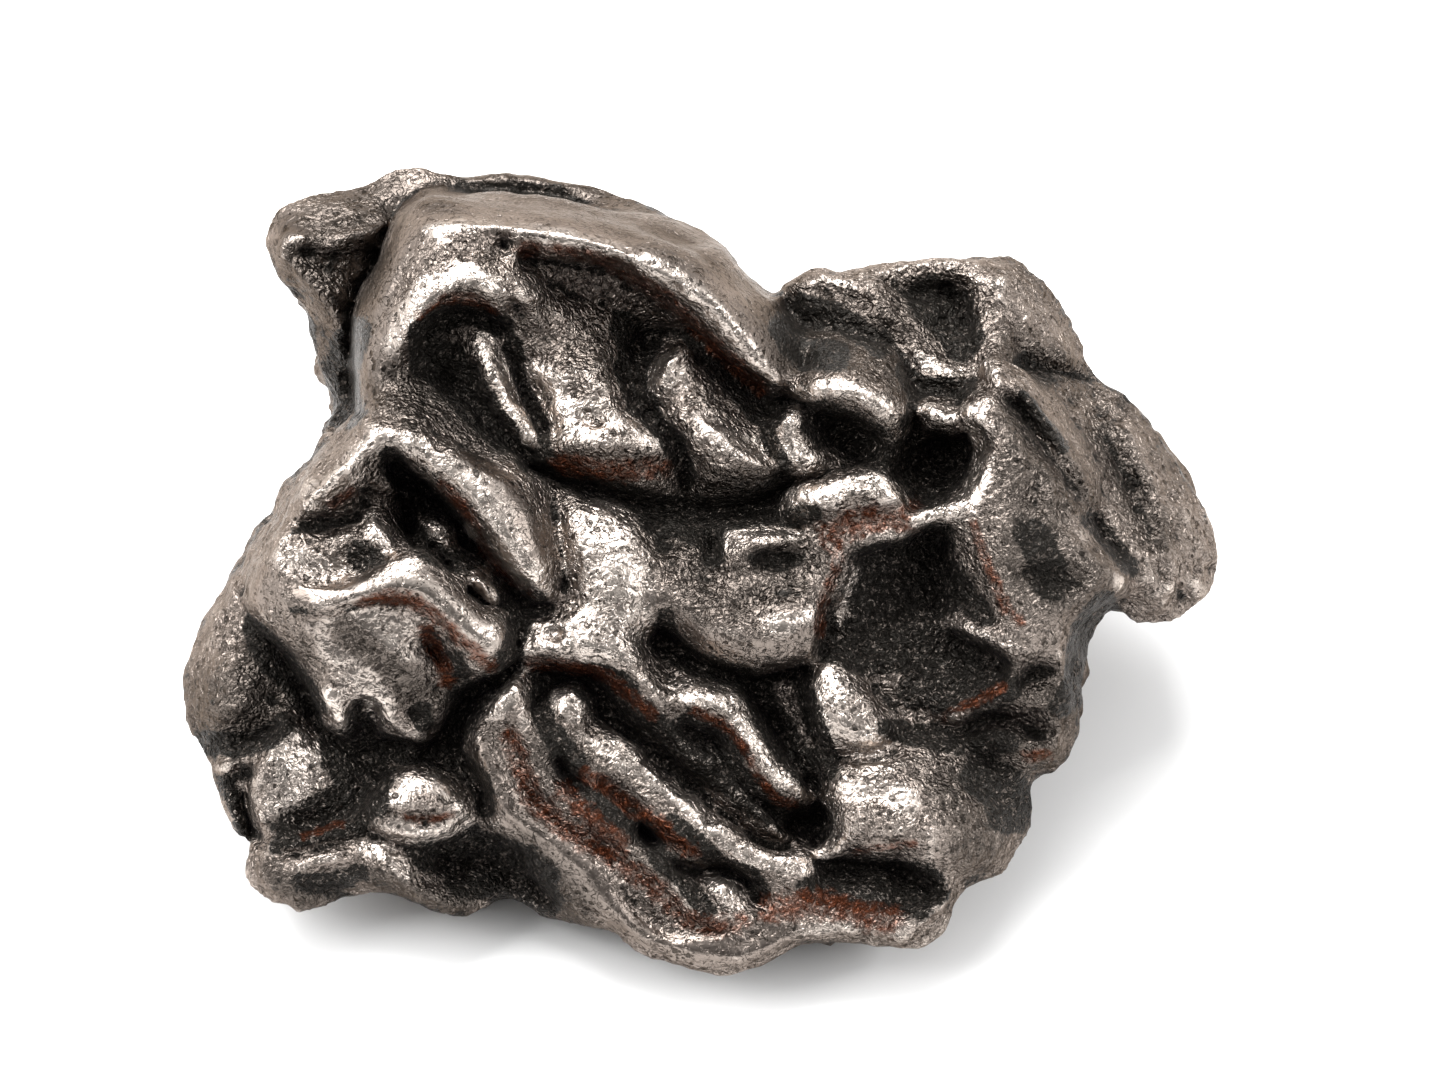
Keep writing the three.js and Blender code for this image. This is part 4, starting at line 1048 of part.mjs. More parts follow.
// A copy of a grid in which every node has moved halfway to the mean of its neighbours.
function ease(grid) {
  const eased = new Grid(grid.step);
  for (let row = 0; row < grid.rows; row += 1) {
    for (let column = 0; column < grid.columns; column += 1) {
      const node = row * grid.columns + column;
      eased.height[node] = (grid.height[node] + grid.around(column, row)) / 2;
    }
  }
  return eased;
}

// Wear: crests are rounded down towards the eased skin, while crevices keep their sharp floors.
function wear(skin, side) {
  let eased = skin;
  for (let pass = 0; pass < WEAR_PASSES; pass += 1) eased = ease(eased);
  const worn = new Grid(skin.step);
  for (let node = 0; node < worn.height.length; node += 1) {
    const above = (skin.height[node] - eased.height[node]) * side;
    const kept = above > 0 ? above * CREST_KEPT : above;
    worn.height[node] = eased.height[node] + kept * side;
  }
  let result = worn;
  for (let pass = 0; pass < WORN_PASSES; pass += 1) result = ease(result);
  return result;
}

// How far the rim is from STAR_CENTRE in every direction.
function rimReach(rim) {
  const reach = new Float64Array(RIM_SLOTS);
  for (const point of rim) {
    const across = point.x - STAR_CENTRE.across;
    const up = point.y - STAR_CENTRE.up;
    const turn = (Math.atan2(up, across) / (2 * Math.PI) + 1) % 1;
    const slot = Math.floor(turn * reach.length);
    reach[slot] = Math.max(reach[slot], Math.hypot(across, up));
  }
  return (angle) => {
    const turn = (angle / (2 * Math.PI) + 1) % 1;
    const slot = Math.floor(turn * reach.length);
    for (let away = 0; away < reach.length; away += 1) {
      const after = reach[(slot + away) % reach.length];
      const before = reach[(slot - away + reach.length) % reach.length];
      if (after || before) return Math.max(after, before);
    }
    return 0;
  };
}

// The height at which the floor cuts the face plane's normal, so that the feet end flat on it.
function floorHeight(up) {
  return (-FACE_CENTRE.z - up * leanCos) / leanSin;
}

// The neighbours of every point of a net.
function neighboursOf(geometry) {
  const neighbours = Array.from({ length: geometry.getAttribute('position').count }, () => new Set());
  const corners = geometry.getIndex().array;
  for (let first = 0; first < corners.length; first += 3) {
    for (let side = 0; side < 3; side += 1) {
      neighbours[corners[first + side]].add(corners[first + ((side + 1) % 3)]);
      neighbours[corners[first + ((side + 1) % 3)]].add(corners[first + side]);
    }
  }
  return neighbours.map((set) => [...set]);
}

// An even net of triangles, drawn out over the two skins as a balloon is over a mould.
function drawOver(front, back, rim) {
  const net = new THREE.IcosahedronGeometry(1, FACET_ROWS);
  net.deleteAttribute('normal');
  net.deleteAttribute('uv');
  const geometry = mergeVertices(net, SAME_SPOT);
  const reach = rimReach(rim);
  const rimAngle = Math.acos(1 - 2 * FRONT_SHARE);
  const place = geometry.getAttribute('position');

  // Each point of the net gets a place in the face plane, and lies on the front or on the back.
  const points = [];
  for (let index = 0; index < place.count; index += 1) {
    const direction = new THREE.Vector3().fromBufferAttribute(place, index).normalize();
    const around = Math.atan2(direction.y, direction.x);
    const fromPole = Math.acos(THREE.MathUtils.clamp(direction.z, -1, 1));
    const onFront = fromPole <= rimAngle;
    const share = onFront
      ? Math.sin(fromPole / 2) / Math.sin(rimAngle / 2)
      : Math.cos(fromPole / 2) / Math.cos(rimAngle / 2);
    points.push({
      onFront,
      share,
      across: STAR_CENTRE.across + share * reach(around) * Math.cos(around),
      up: STAR_CENTRE.up + share * reach(around) * Math.sin(around),
    });
  }

  // The height of a point: on the front skin, or on the back skin and never below the floor.
  const lift = (point) => {
    const frontHeight = Math.max(front.at(point.across, point.up), floorHeight(point.up));
    if (point.onFront) {
      point.out = frontHeight;
    } else {
      const backHeight = Math.max(back.at(point.across, point.up), floorHeight(point.up));
      const thinnest = THINNEST * Math.min(1, (1 - point.share) / THINNING_SHARE);
      point.out = Math.min(backHeight, frontHeight - thinnest);
    }
  };
  points.forEach(lift);

  // Long edges pull hardest, so points gather on the steep slopes, where the form turns fastest.
  const neighbours = neighboursOf(geometry);
  for (let pass = 0; pass < EVEN_PASSES; pass += 1) {
    points.forEach((point, index) => {
      if (point.share > EVEN_UNTIL) return;
      let across = 0;
      let up = 0;
      let pull = 0;
      for (const other of neighbours[index]) {
        const near = points[other];
        const length = Math.hypot(near.across - point.across, near.up - point.up, near.out - point.out);
        across += near.across * length;
        up += near.up * length;
        pull += length;
      }
      point.across += (across / pull - point.across) / 2;
      point.up += (up / pull - point.up) / 2;
      lift(point);
    });
  }

  // The net's places in the part's own frame, with the saw teeth along the steepest edges eased away.
  let places = points.map((point) => new THREE.Vector3(
    FACE_CENTRE.x + point.across,
    FACE_CENTRE.y + point.up * leanSin - point.out * leanCos,
    Math.max(FACE_CENTRE.z + point.up * leanCos + point.out * leanSin, 0),
  ));
  for (const amount of EASE_AMOUNTS) {
    places = places.map((spot, index) => {
      if (spot.z < SOLE_DEPTH) return spot;
      const middle = new THREE.Vector3();
      for (const other of neighbours[index]) middle.add(places[other]);
      middle.divideScalar(neighbours[index].length);
      return spot.clone().lerp(middle, amount);
    });
  }
  places.forEach((spot, index) => place.setXYZ(index, spot.x, spot.y, Math.max(spot.z, 0)));
  geometry.computeVertexNormals();
  return geometry;
}

// A line of the back, turned from [across, behind, above the floor] into the face plane's measures.
function leanBack(line) {
  return line.map(([across, behind, above]) => [
    across,
    behind * leanSin + (above - FACE_CENTRE.z) * leanCos,
    -behind * leanCos + (above - FACE_CENTRE.z) * leanSin,
  ]);
}

const linesOf = (lumps) => lumps.flatMap((lump) => Object.values(lump));
const rimPoints = layPoints(RIM, true);
const frontPoints = linesOf(FRONT).flatMap((line) => layPoints(line, false));
const backPoints = linesOf(BACK).flatMap((line) => layPoints(leanBack(line), false));
const frontSkin = wear(stretchSkin([...frontPoints, ...rimPoints]), 1);
const backSkin = wear(stretchSkin([...backPoints, ...rimPoints]), -1);

const wornIron = new THREE.MeshStandardMaterial({ color: 0x6f6a65, roughness: 0.42, metalness: 1 });
const meteorite = new THREE.Mesh(drawOver(frontSkin, backSkin, rimPoints), wornIron);
meteorite.name = 'meteorite';

const part = new THREE.Group();
part.add(meteorite);

export default part;
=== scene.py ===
import math

import bpy
import numpy as np
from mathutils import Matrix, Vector


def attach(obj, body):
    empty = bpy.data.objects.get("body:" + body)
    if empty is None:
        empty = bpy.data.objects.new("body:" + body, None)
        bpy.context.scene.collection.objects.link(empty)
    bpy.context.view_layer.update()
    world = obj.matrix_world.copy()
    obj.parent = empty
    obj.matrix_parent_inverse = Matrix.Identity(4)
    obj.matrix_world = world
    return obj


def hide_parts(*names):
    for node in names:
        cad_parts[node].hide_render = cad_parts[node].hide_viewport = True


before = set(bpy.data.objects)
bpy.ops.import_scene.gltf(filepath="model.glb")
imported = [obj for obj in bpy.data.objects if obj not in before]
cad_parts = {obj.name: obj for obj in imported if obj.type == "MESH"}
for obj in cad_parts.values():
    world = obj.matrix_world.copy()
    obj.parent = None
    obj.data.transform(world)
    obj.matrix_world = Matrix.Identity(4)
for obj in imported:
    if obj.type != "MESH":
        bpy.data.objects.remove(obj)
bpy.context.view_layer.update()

# ------------------------------------------------------------------------
# The meteorite.
# One solid lump of nickel-iron, 35 mm long. Its skin was melted and pinched into folds, lips and
# crevices, and has been handled since: crests are rubbed bright, and oxide stays in the hollows.
# Its colour also carries painted shade in the deeper folds and on a few shaded sides, and painted
# highlights on some faces.
# ------------------------------------------------------------------------

MM = 0.001
FACE_LEAN = math.radians(55)  # from the face plane to upright
FACE_CENTRE = np.array([0.78, -1.56, 10.6])  # where the middle of the face plane lies, in mm
LEAN_SIN, LEAN_COS = math.sin(FACE_LEAN), math.cos(FACE_LEAN)

# A front line has points (across, up, out): across and up lie in the face plane, out is the height
# above it. A back line has points (across, behind, above): how far behind the middle of the face it
# lies, and how far above the floor. All are millimetres.

# The rim, where the front meets the back, clockwise from the ear.
RIM = [
    (-15.4, 10, -6), (-15.3, 10.6, -6), (-15, 11, -6), (-14, 11.5, -6.2), (-13, 11.8, -6.4),
    (-12, 12.05, -6.5), (-11.2, 12.45, -6.6), (-10.2, 12.62, -6.7), (-9.3, 12.45, -6.7), (-8.6, 12.3, -6.7),
    (-7.5, 12.4, -6.7), (-6.5, 12.35, -6.7), (-5.5, 12.1, -6.7), (-4.4, 12.05, -6.7), (-3.6, 11.85, -6.6),
    (-2.8, 11.5, -6.4), (-2.1, 11.05, -5.8), (-1.2, 10.6, -5.2), (-0.4, 10.2, -4.9), (0.2, 9.7, -4.7),
    (0.6, 9.15, -4.7), (1, 8.85, -4.8), (1.6, 8.5, -5), (2.1, 8.95, -5), (2.7, 9.2, -4.9), (3.4, 9.18, -4.8),
    (3.9, 9, -4.9), (4.6, 9.2, -5), (5.5, 9.45, -5), (6.7, 9.58, -5), (8, 9.6, -5), (9.4, 9.6, -5.1),
    (10.1, 9.35, -5.4), (10.9, 8.6, -5.7), (11.5, 7.6, -6.2), (12, 6.8, -6.4), (12.2, 6, -6.6),
    (12.8, 5.4, -6.4), (13.7, 4.8, -6.3), (14.3, 4.1, -6.2), (14.9, 3.2, -6.2), (15.5, 2.2, -6.2),
    (16.1, 1.2, -6.1), (16.5, 0.2, -6), (16.6, -0.8, -5.8), (16.3, -1.6, -5.5), (15.7, -2.2, -5.3),
    (15, -2.6, -5), (14.2, -2.75, -4.7), (13.5, -2.45, -4.4), (12.9, -2.2, -4.4), (12.4, -2.9, -4.2),
    (12.2, -3.7, -4), (11.95, -4.6, -3.6), (11.9, -5.6, -3.2), (11.9, -6.2, -3), (11.6, -6.9, -2.9),
    (11.2, -7.5, -2.9), (10.6, -7.75, -3), (10.25, -8.1, -3), (10.3, -8.9, -2.8), (10.15, -9.8, -2.6),
    (9.7, -10.5, -2.4), (9.2, -11.1, -2.2), (8.4, -11.3, -1.8), (7.9, -11.8, -1.4), (7.5, -12.6, -1),
    (6.9, -13.3, -0.9), (6.2, -13.6, -0.8), (5.2, -13.4, -0.9), (4, -13.3, -1), (3, -13.3, -1),
    (2.2, -13.55, -0.9), (1.3, -14.1, -0.7), (0.4, -14.4, -0.6), (-0.6, -14.35, -0.6), (-1.8, -14.05, -0.7),
    (-2.9, -13.6, -0.9), (-3.6, -13.1, -1.3), (-4.3, -12.85, -1.9), (-5.2, -12.7, -2.4), (-6.2, -12.4, -2.5),
    (-6.9, -12, -2.6), (-7.3, -11.75, -2.8), (-7.8, -12, -2.4), (-8.4, -12.35, -2), (-9.2, -12.45, -1.7),
    (-10, -12.2, -1.5), (-11, -11.8, -1.5), (-11.8, -11.65, -1.7), (-12.6, -11.9, -2), (-13.3, -12.15, -1.9),
    (-14, -12.3, -1.7), (-15, -12.1, -1.6), (-15.5, -11.75, -1.6), (-15.9, -11.3, -1.7),
    (-16.05, -10.8, -1.9), (-15.85, -10.3, -2.1), (-16.1, -10, -2.5), (-16.5, -9.3, -2.6),
    (-16.8, -8.7, -2.7), (-17, -8, -2.8), (-17.2, -7.3, -3), (-17.6, -6.7, -3.6), (-18, -6.1, -3.9),
    (-18.2, -5.2, -4), (-18.1, -4.4, -4.1), (-17.8, -3.3, -4.3), (-17.5, -2.6, -4.5), (-17.1, -1.9, -4.6),
    (-16.8, -1.5, -4.7), (-16.5, -1, -4.8), (-16.1, -0.5, -4.9), (-15.9, 0, -5), (-15.6, 0.6, -5.1),
    (-15.1, 1.05, -5.2), (-15, 1.4, -5.3), (-14.7, 2.1, -5.5), (-14.1, 2.6, -5.6), (-13.6, 3.3, -5.8),
    (-13.2, 4.2, -6.4), (-13, 4.8, -7.4), (-13.4, 5.5, -7.4), (-13.7, 6.3, -7.3), (-13.9, 7.2, -7.1),
    (-14.2, 8.1, -6.6), (-14.6, 8.6, -6.4), (-15, 9, -6.2),
]

# The ear: a low lobe that stands out behind the hood at the upper left.
EAR = {
    "ear rim": [
        (-15.25, 10, -5.6), (-15.1, 10.6, -5.6), (-14, 11.3, -5.9), (-13, 11.6, -6.2), (-12, 11.9, -6.3),
        (-11.2, 12.25, -6.4), (-10.2, 12.4, -6.4), (-9, 12.2, -6.4), (-7.5, 12.2, -6.4), (-6.5, 12.15, -6.4),
        (-5.5, 11.95, -6.4), (-4.4, 11.85, -6.4), (-3.6, 11.65, -6.3), (-2.8, 11.35, -6.1)],
    "ear top hollow": [
        (-12.2, 11.4, -5.7), (-11.2, 11.6, -5.8), (-10.5, 11.8, -6), (-9.5, 11.95, -6.3), (-8.3, 12, -6.6),
        (-7.6, 11.85, -6.7)],
    "ear crest": [
        (-15, 9.9, -4.6), (-14.7, 10.25, -4.3), (-14.2, 10.4, -4.2), (-13.8, 10.1, -4.2), (-13.2, 10, -4.25),
        (-12.5, 10.2, -4.2), (-11.9, 10.35, -4.3), (-11.3, 10.7, -4.5)],
    "ear under crest": [
        (-14.1, 9.8, -4.8), (-13.6, 9.6, -4.8), (-12.6, 9.75, -4.75), (-11.8, 9.95, -4.85),
        (-11.2, 10.2, -5.1)],
    "ear hollow": [(-13.7, 9.25, -4.7), (-13, 8.95, -4.8), (-12.3, 9, -5), (-11.7, 9.4, -5.2)],
    "ear lower lip": [
        (-15, 9.6, -4.6), (-14.5, 9.2, -4.2), (-13.9, 8.7, -4.1), (-13.3, 8.3, -4.1), (-12.6, 8.25, -4.4)],
    "ear nub": [(-13.1, 7.8, -4.5), (-12.8, 7.5, -4.3), (-12.7, 7, -4.8)],
    "ear edge": [
        (-14.3, 8.2, -5.4), (-13.7, 7.6, -5.4), (-13.1, 6.9, -5.5), (-12.6, 6.2, -5.8), (-12.4, 5.6, -6.2)],
    "ear flank": [(-13.7, 7, -6.6), (-13.5, 6.3, -6.8), (-13.2, 5.6, -6.9), (-12.9, 5, -7)],
    "left notch": [(-12.6, 5, -7), (-12.7, 4.4, -6.6), (-13, 4, -5.6)],
}

# The hood: a thick rounded brow with two overhanging lips.
HOOD = {
    "hood left foot": [
        (-10.25, 11.75, -6.3), (-10.85, 11.2, -6), (-11.2, 10.5, -6), (-11.7, 9.4, -6.2), (-12.2, 8.4, -6.2),
        (-12.5, 7.4, -6.2), (-12.5, 6.2, -6.6), (-12.4, 5.2, -7), (-12.4, 4.4, -6.6)],
    "hood left edge": [
        (-10.05, 11.6, -1.7), (-10.65, 11, -1.4), (-11.05, 10.3, -1.3), (-11.5, 9.3, -1.2), (-12, 8.3, -1.2),
        (-12.3, 7.3, -1.2), (-12.3, 6.2, -1), (-12.2, 5.2, -0.7), (-12.2, 4.4, -0.3)],
    "hood top edge": [
        (-10.05, 11.6, -1.7), (-9.3, 11.65, -1.7), (-8, 11.6, -1.7), (-7, 11.55, -1.7), (-6, 11.45, -1.7),
        (-5, 11.25, -1.7), (-4, 10.95, -1.7), (-3, 10.65, -1.7), (-2, 10.25, -1.8), (-1.2, 9.95, -1.9),
        (-0.4, 9.65, -2), (0.3, 9.2, -2.2), (0.9, 8.7, -2.6), (1.5, 8.3, -3)],
    "hood top foot": [
        (-9.3, 11.85, -6.4), (-8, 11.8, -6.8), (-7, 11.75, -6.8), (-6, 11.65, -6.8), (-5, 11.45, -6.6),
        (-4, 11.15, -5), (-3, 10.9, -4), (-2, 10.55, -3.6), (-1.2, 10.2, -3.6), (-0.5, 9.9, -3.6)],
    "hood brow": [
        (-9.4, 10.9, -0.3), (-8, 11, -0.3), (-6.5, 11, -0.3), (-5, 10.75, -0.1), (-3.5, 10.3, 0.1),
        (-2, 9.75, 0.3), (-0.8, 9.2, 0.3), (0.2, 8.5, 0.1), (1, 7.7, -0.2), (1.6, 6.9, -0.5),
        (2.1, 6.1, -0.9)],
    "hood crest": [
        (-10.1, 10.5, 0.2), (-9.3, 10.75, 0.45), (-8.6, 10.75, 0.6), (-7.9, 10.65, 0.7), (-7.2, 10.55, 0.75),
        (-6.2, 10.35, 0.9), (-5.3, 10.2, 1), (-4.4, 10.05, 1.1), (-3.3, 9.6, 1.2), (-2.2, 9.1, 1.3),
        (-1.2, 8.6, 1.3), (-0.4, 8, 1.2), (0.2, 7.4, 1.05), (0.8, 6.7, 0.8), (1.3, 6, 0.4), (1.8, 5.4, 0)],
    "hood lip edge": [
        (-6.8, 9.9, 0.2), (-6, 9.75, 0.4), (-5, 9.7, 0.5), (-4, 9.5, 0.55), (-3.2, 9.1, 0.55),
        (-2.4, 8.6, 0.6), (-1.5, 8, 0.55), (-0.8, 7.45, 0.5), (0, 6.65, 0.3), (0.7, 5.95, 0),
        (1.3, 5.4, -0.4), (1.7, 5.05, -0.9)],
    "hood lip foot": [
        (-6.7, 9.5, -1), (-5.5, 9.35, -1.3), (-4, 9.1, -1.5), (-3, 8.6, -1.6), (-2, 7.85, -1.7),
        (-1, 7, -1.9), (0, 6.05, -2.1), (0.8, 5.4, -2.2), (1.4, 4.85, -2.4)],
    "hood flank": [(1, 8.6, -2.3), (1.6, 8, -2), (2.1, 7.2, -2), (2.5, 6.5, -2), (2.7, 5.9, -2.2)],
    "left lip crest": [
        (-11, 5.9, 0.5), (-10.85, 6.6, 0.75), (-10.6, 7.4, 0.9), (-10.2, 8.1, 1.05), (-9.7, 8.7, 1.1),
        (-9, 9.2, 1.1), (-8.4, 9.35, 1.1), (-7.8, 9.2, 1.05), (-7.3, 8.95, 1), (-6.8, 8.55, 0.85),
        (-6.2, 8.2, 0.6)],
    "left lip face": [
        (-10.7, 6.5, 0.95), (-10.3, 7.35, 1.15), (-9.85, 8, 1.35), (-9.2, 8.5, 1.45), (-8.5, 8.65, 1.45),
        (-7.8, 8.45, 1.35), (-7.2, 8.15, 1.15), (-6.6, 7.85, 0.8)],
    "left lip edge": [
        (-10.6, 6, 0.2), (-10.4, 6.75, 0.4), (-10.05, 7.2, 0.5), (-9.55, 7.65, 0.6), (-9, 8, 0.7),
        (-8.4, 8.1, 0.7), (-7.8, 7.9, 0.6), (-7.2, 7.6, 0.4), (-6.6, 7.35, 0.1), (-6.1, 7.5, 0)],
    "left lip foot": [
        (-10.3, 5.8, -0.7), (-10.1, 6.7, -0.9), (-9.7, 7.25, -1), (-8.9, 7.7, -1), (-8, 7.55, -1.1),
        (-7.3, 7.1, -1.1)],
    "brow saddle": [(-9.6, 9.8, 0.8), (-8.8, 9.85, 0.6), (-8, 9.8, 0.6)],
    "brow pit": [(-7.5, 10.1, -0.2), (-7.3, 9.8, -0.4)],
    "brow bridge": [(-6.8, 10.1, 0.8), (-6.9, 9.7, 0.7), (-7.1, 9.3, 0.6)],
    "left brow": [
        (-11.3, 8, 0.2), (-10.8, 9.2, 0.3), (-10.3, 10.2, 0.1), (-11.7, 6.8, 0), (-11.8, 5.6, 0.1)],
}

# The bowl under the hood, with three ribs standing in it and a long crevice below.
BOWL = {
    "bowl floor": [(-5.8, 8.7, -1.3), (-5, 8.2, -1.6), (-4, 7.9, -1.9), (-3, 7.4, -2.2), (-2.2, 7, -2.6)],
    "bowl deep": [(-3.2, 6.3, -2.2), (-2.6, 6.8, -2.8), (-1.8, 7.1, -2.7), (-1, 6.9, -2.3)],
    "bowl shelf": [(-7, 8, -0.2), (-6.3, 7, -0.5), (-5.4, 6.8, -0.6), (-4.4, 6.7, -0.9)],
    "left bowl": [
        (-9.9, 6, -1.1), (-9.3, 5.4, -1.3), (-8.6, 4.9, -1.3), (-8, 4.4, -1.3), (-7.5, 3.9, -1.2),
        (-7, 3.4, -1.2), (-6.6, 3, -1.3)],
    "left bowl top": [(-9.2, 6.8, -1.1), (-8.6, 6.2, -0.9), (-8.1, 5.4, -0.9)],
    "rib one": [
        (-8.9, 7.1, -0.8), (-8.4, 7, -0.4), (-7.95, 6.6, -0.1), (-7.65, 6, 0.15), (-7.35, 5.3, 0.3),
        (-7.05, 4.6, 0.35), (-6.7, 4, 0.3), (-6.35, 3.5, 0.1), (-6.1, 3.1, -0.2)],
    "rib one flank": [
        (-8.5, 6.3, -0.35), (-8.05, 5.5, 0), (-7.6, 4.7, 0.1), (-7.15, 3.9, 0.1), (-6.65, 3.3, -0.1)],
    "rib one foot": [
        (-7.35, 6.5, -1), (-7, 5.9, -1.3), (-6.75, 5.2, -1.3), (-6.45, 4.6, -1.2), (-6.15, 4, -1.1),
        (-5.95, 3.5, -0.9)],
    "lump two top": [(-6.2, 5.7, -0.3), (-5.4, 5.8, -0.1), (-4.7, 5.9, -0.05), (-4.1, 5.9, 0)],
    "lump two spine": [
        (-4, 5.4, 0.5), (-3.75, 4.8, 0.5), (-3.4, 4.2, 0.5), (-2.8, 3.8, 0.5), (-2.2, 3.5, 0.3),
        (-1.8, 3.1, 0)],
    "lump two face": [(-5.6, 4.8, 0.05), (-5, 4.2, 0.3), (-4.4, 4.9, 0.2)],
    "lump two dents": [(-5.7, 5.2, -0.1), (-5.1, 5.05, -0.1), (-4.8, 4.7, 0)],
    "lump two low dent": [(-4.6, 4.1, 0.1), (-4.2, 3.9, 0.15)],
    "lump two knot": [(-5.3, 5.5, 0.2), (-4.9, 5.35, 0.15)],
    "lump two crest": [
        (-5.9, 3.15, 0.3), (-5.2, 3.3, 0.7), (-4.5, 3.35, 0.9), (-3.7, 3.35, 1), (-3, 3.3, 0.8)],
    "lump two belly": [
        (-6.3, 2.7, -0.4), (-5.5, 2.5, -0.2), (-4.5, 2.3, 0), (-3.5, 2.1, 0), (-2.6, 1.85, -0.1),
        (-1.9, 1.7, -0.5)],
    "long crevice": [
        (-6.6, 2.5, -1.6), (-5.5, 2, -1.8), (-4.5, 1.7, -1.9), (-3.5, 1.4, -2), (-2.5, 1.15, -2),
        (-1.5, 1.05, -2.1), (-0.5, 1.1, -2.2), (0.5, 1.15, -2.1), (1.5, 1.4, -2), (2.1, 1.8, -1.9),
        (2.8, 2.05, -1.8), (3.3, 2.2, -1.7)],
    "slot two": [
        (-3.6, 6, -1.7), (-3.3, 5.3, -1.5), (-3.05, 4.8, -1.4), (-2.5, 4.3, -1.2), (-1.95, 3.7, -1.2),
        (-1.45, 3.1, -1.3), (-1.2, 2.5, -1.4), (-1.3, 1.7, -1.7)],
    "rib three top": [(-2.2, 4.7, -0.4), (-1.7, 5.1, -0.4), (-1, 5.25, -0.5), (-0.5, 4.95, -0.4)],
    "rib three crest": [
        (-0.8, 4.3, 0.2), (-0.5, 3.8, 0.5), (0, 3.35, 0.6), (0.6, 2.95, 0.6), (1.2, 2.65, 0.4),
        (1.6, 2.4, 0.2)],
    "rib three left": [(-1.6, 4.3, 0), (-1.1, 3.4, 0.1), (-0.7, 2.6, 0.1), (-0.3, 2, -0.2)],
    "rib three belly": [(-0.7, 1.6, -0.9), (0.2, 1.7, -0.7), (1, 1.8, -0.6), (1.7, 2, -0.5)],
    "rib three foot": [
        (-0.2, 5.15, -1.1), (0.3, 4.7, -1.1), (0.8, 4.2, -1.1), (1.1, 3.75, -1), (1.35, 3.2, -0.9),
        (1.5, 2.8, -0.6)],
    "horn": [(-2.15, 5.15, 0), (-2.1, 5.7, 0.4), (-1.8, 6.15, 0.5), (-1.35, 6.6, 0.3)],
    "horn back": [(-1.2, 6, -0.5), (-1.1, 5.6, -0.5)],
    "horn foot": [
        (-2.6, 5.2, -1.6), (-2.6, 5.8, -1.9), (-2.2, 6.4, -2.2), (-1.7, 6.8, -2.2), (-1.1, 6.7, -1.9),
        (-0.8, 6.1, -1.6)],
    "right hollow": [(-0.3, 6, -1.8), (0.4, 5.3, -1.9), (1.2, 4.6, -2), (1.7, 4.3, -1.9)],
    "fin": [(1.5, 3.4, -0.2), (1.85, 3.85, 0.2), (2.2, 4.2, 0.4), (2.5, 4.4, 0.3)],
    "fin face": [(2, 3, 0), (2.6, 3.3, -0.2), (3.1, 2.9, -0.4), (3.5, 2.6, -0.9)],
    "fin belly": [(2, 2.4, -0.1), (2.7, 2.3, -0.3), (3.2, 2.4, -0.7)],
    "fin foot": [(1.9, 4.6, -2), (2.3, 4.8, -2.2), (2.8, 4.5, -2)],
}

# A small visor with a pocket under it, to the right of the ribs.
VISOR = {
    "visor crest": [
        (2.45, 5.05, 0.1), (3, 5.2, 0.5), (3.6, 5.15, 0.8), (4.2, 5, 0.9), (4.8, 4.8, 1), (5.3, 4.5, 0.9),
        (5.7, 4.25, 0.7)],
    "visor back": [
        (2.8, 5.5, -0.3), (3.6, 5.65, 0.1), (4.6, 5.6, 0.3), (5.4, 5.4, 0.3), (5.85, 4.9, 0.2),
        (6.05, 4.3, 0)],
    "visor far": [
        (3, 6.9, -2.4), (4, 6.8, -2.2), (5, 6.5, -1.9), (5.7, 6.1, -1.6), (6.1, 5.5, -1.4),
        (6.3, 4.8, -1.3)],
    "visor brow": [(3.2, 6.1, -1.3), (4.2, 6.2, -0.9), (5.2, 6, -0.7), (5.9, 5.5, -0.7)],
    "visor right": [(6.35, 4.7, -1.2), (6.2, 4, -0.6), (5.9, 3.4, -0.3), (5.6, 2.9, -0.1)],
    "visor lip": [(2.8, 4.75, 0.1), (3.6, 4.55, 0.2), (4.3, 4.35, 0.2), (4.9, 4, 0.2), (5.4, 3.5, 0.1)],
    "pocket top": [(2.9, 4.35, -1.3), (3.7, 4.1, -1.7), (4.5, 3.8, -1.9), (5.1, 3.3, -1.8)],
    "pocket": [(3.3, 3.7, -1.6), (3.9, 3.2, -2.3), (4.5, 2.9, -2.3), (5, 2.75, -1.5)],
    "pocket floor": [(3.5, 2.4, -1.5), (4.2, 2.4, -1.3), (4.8, 2.55, -0.9)],
}

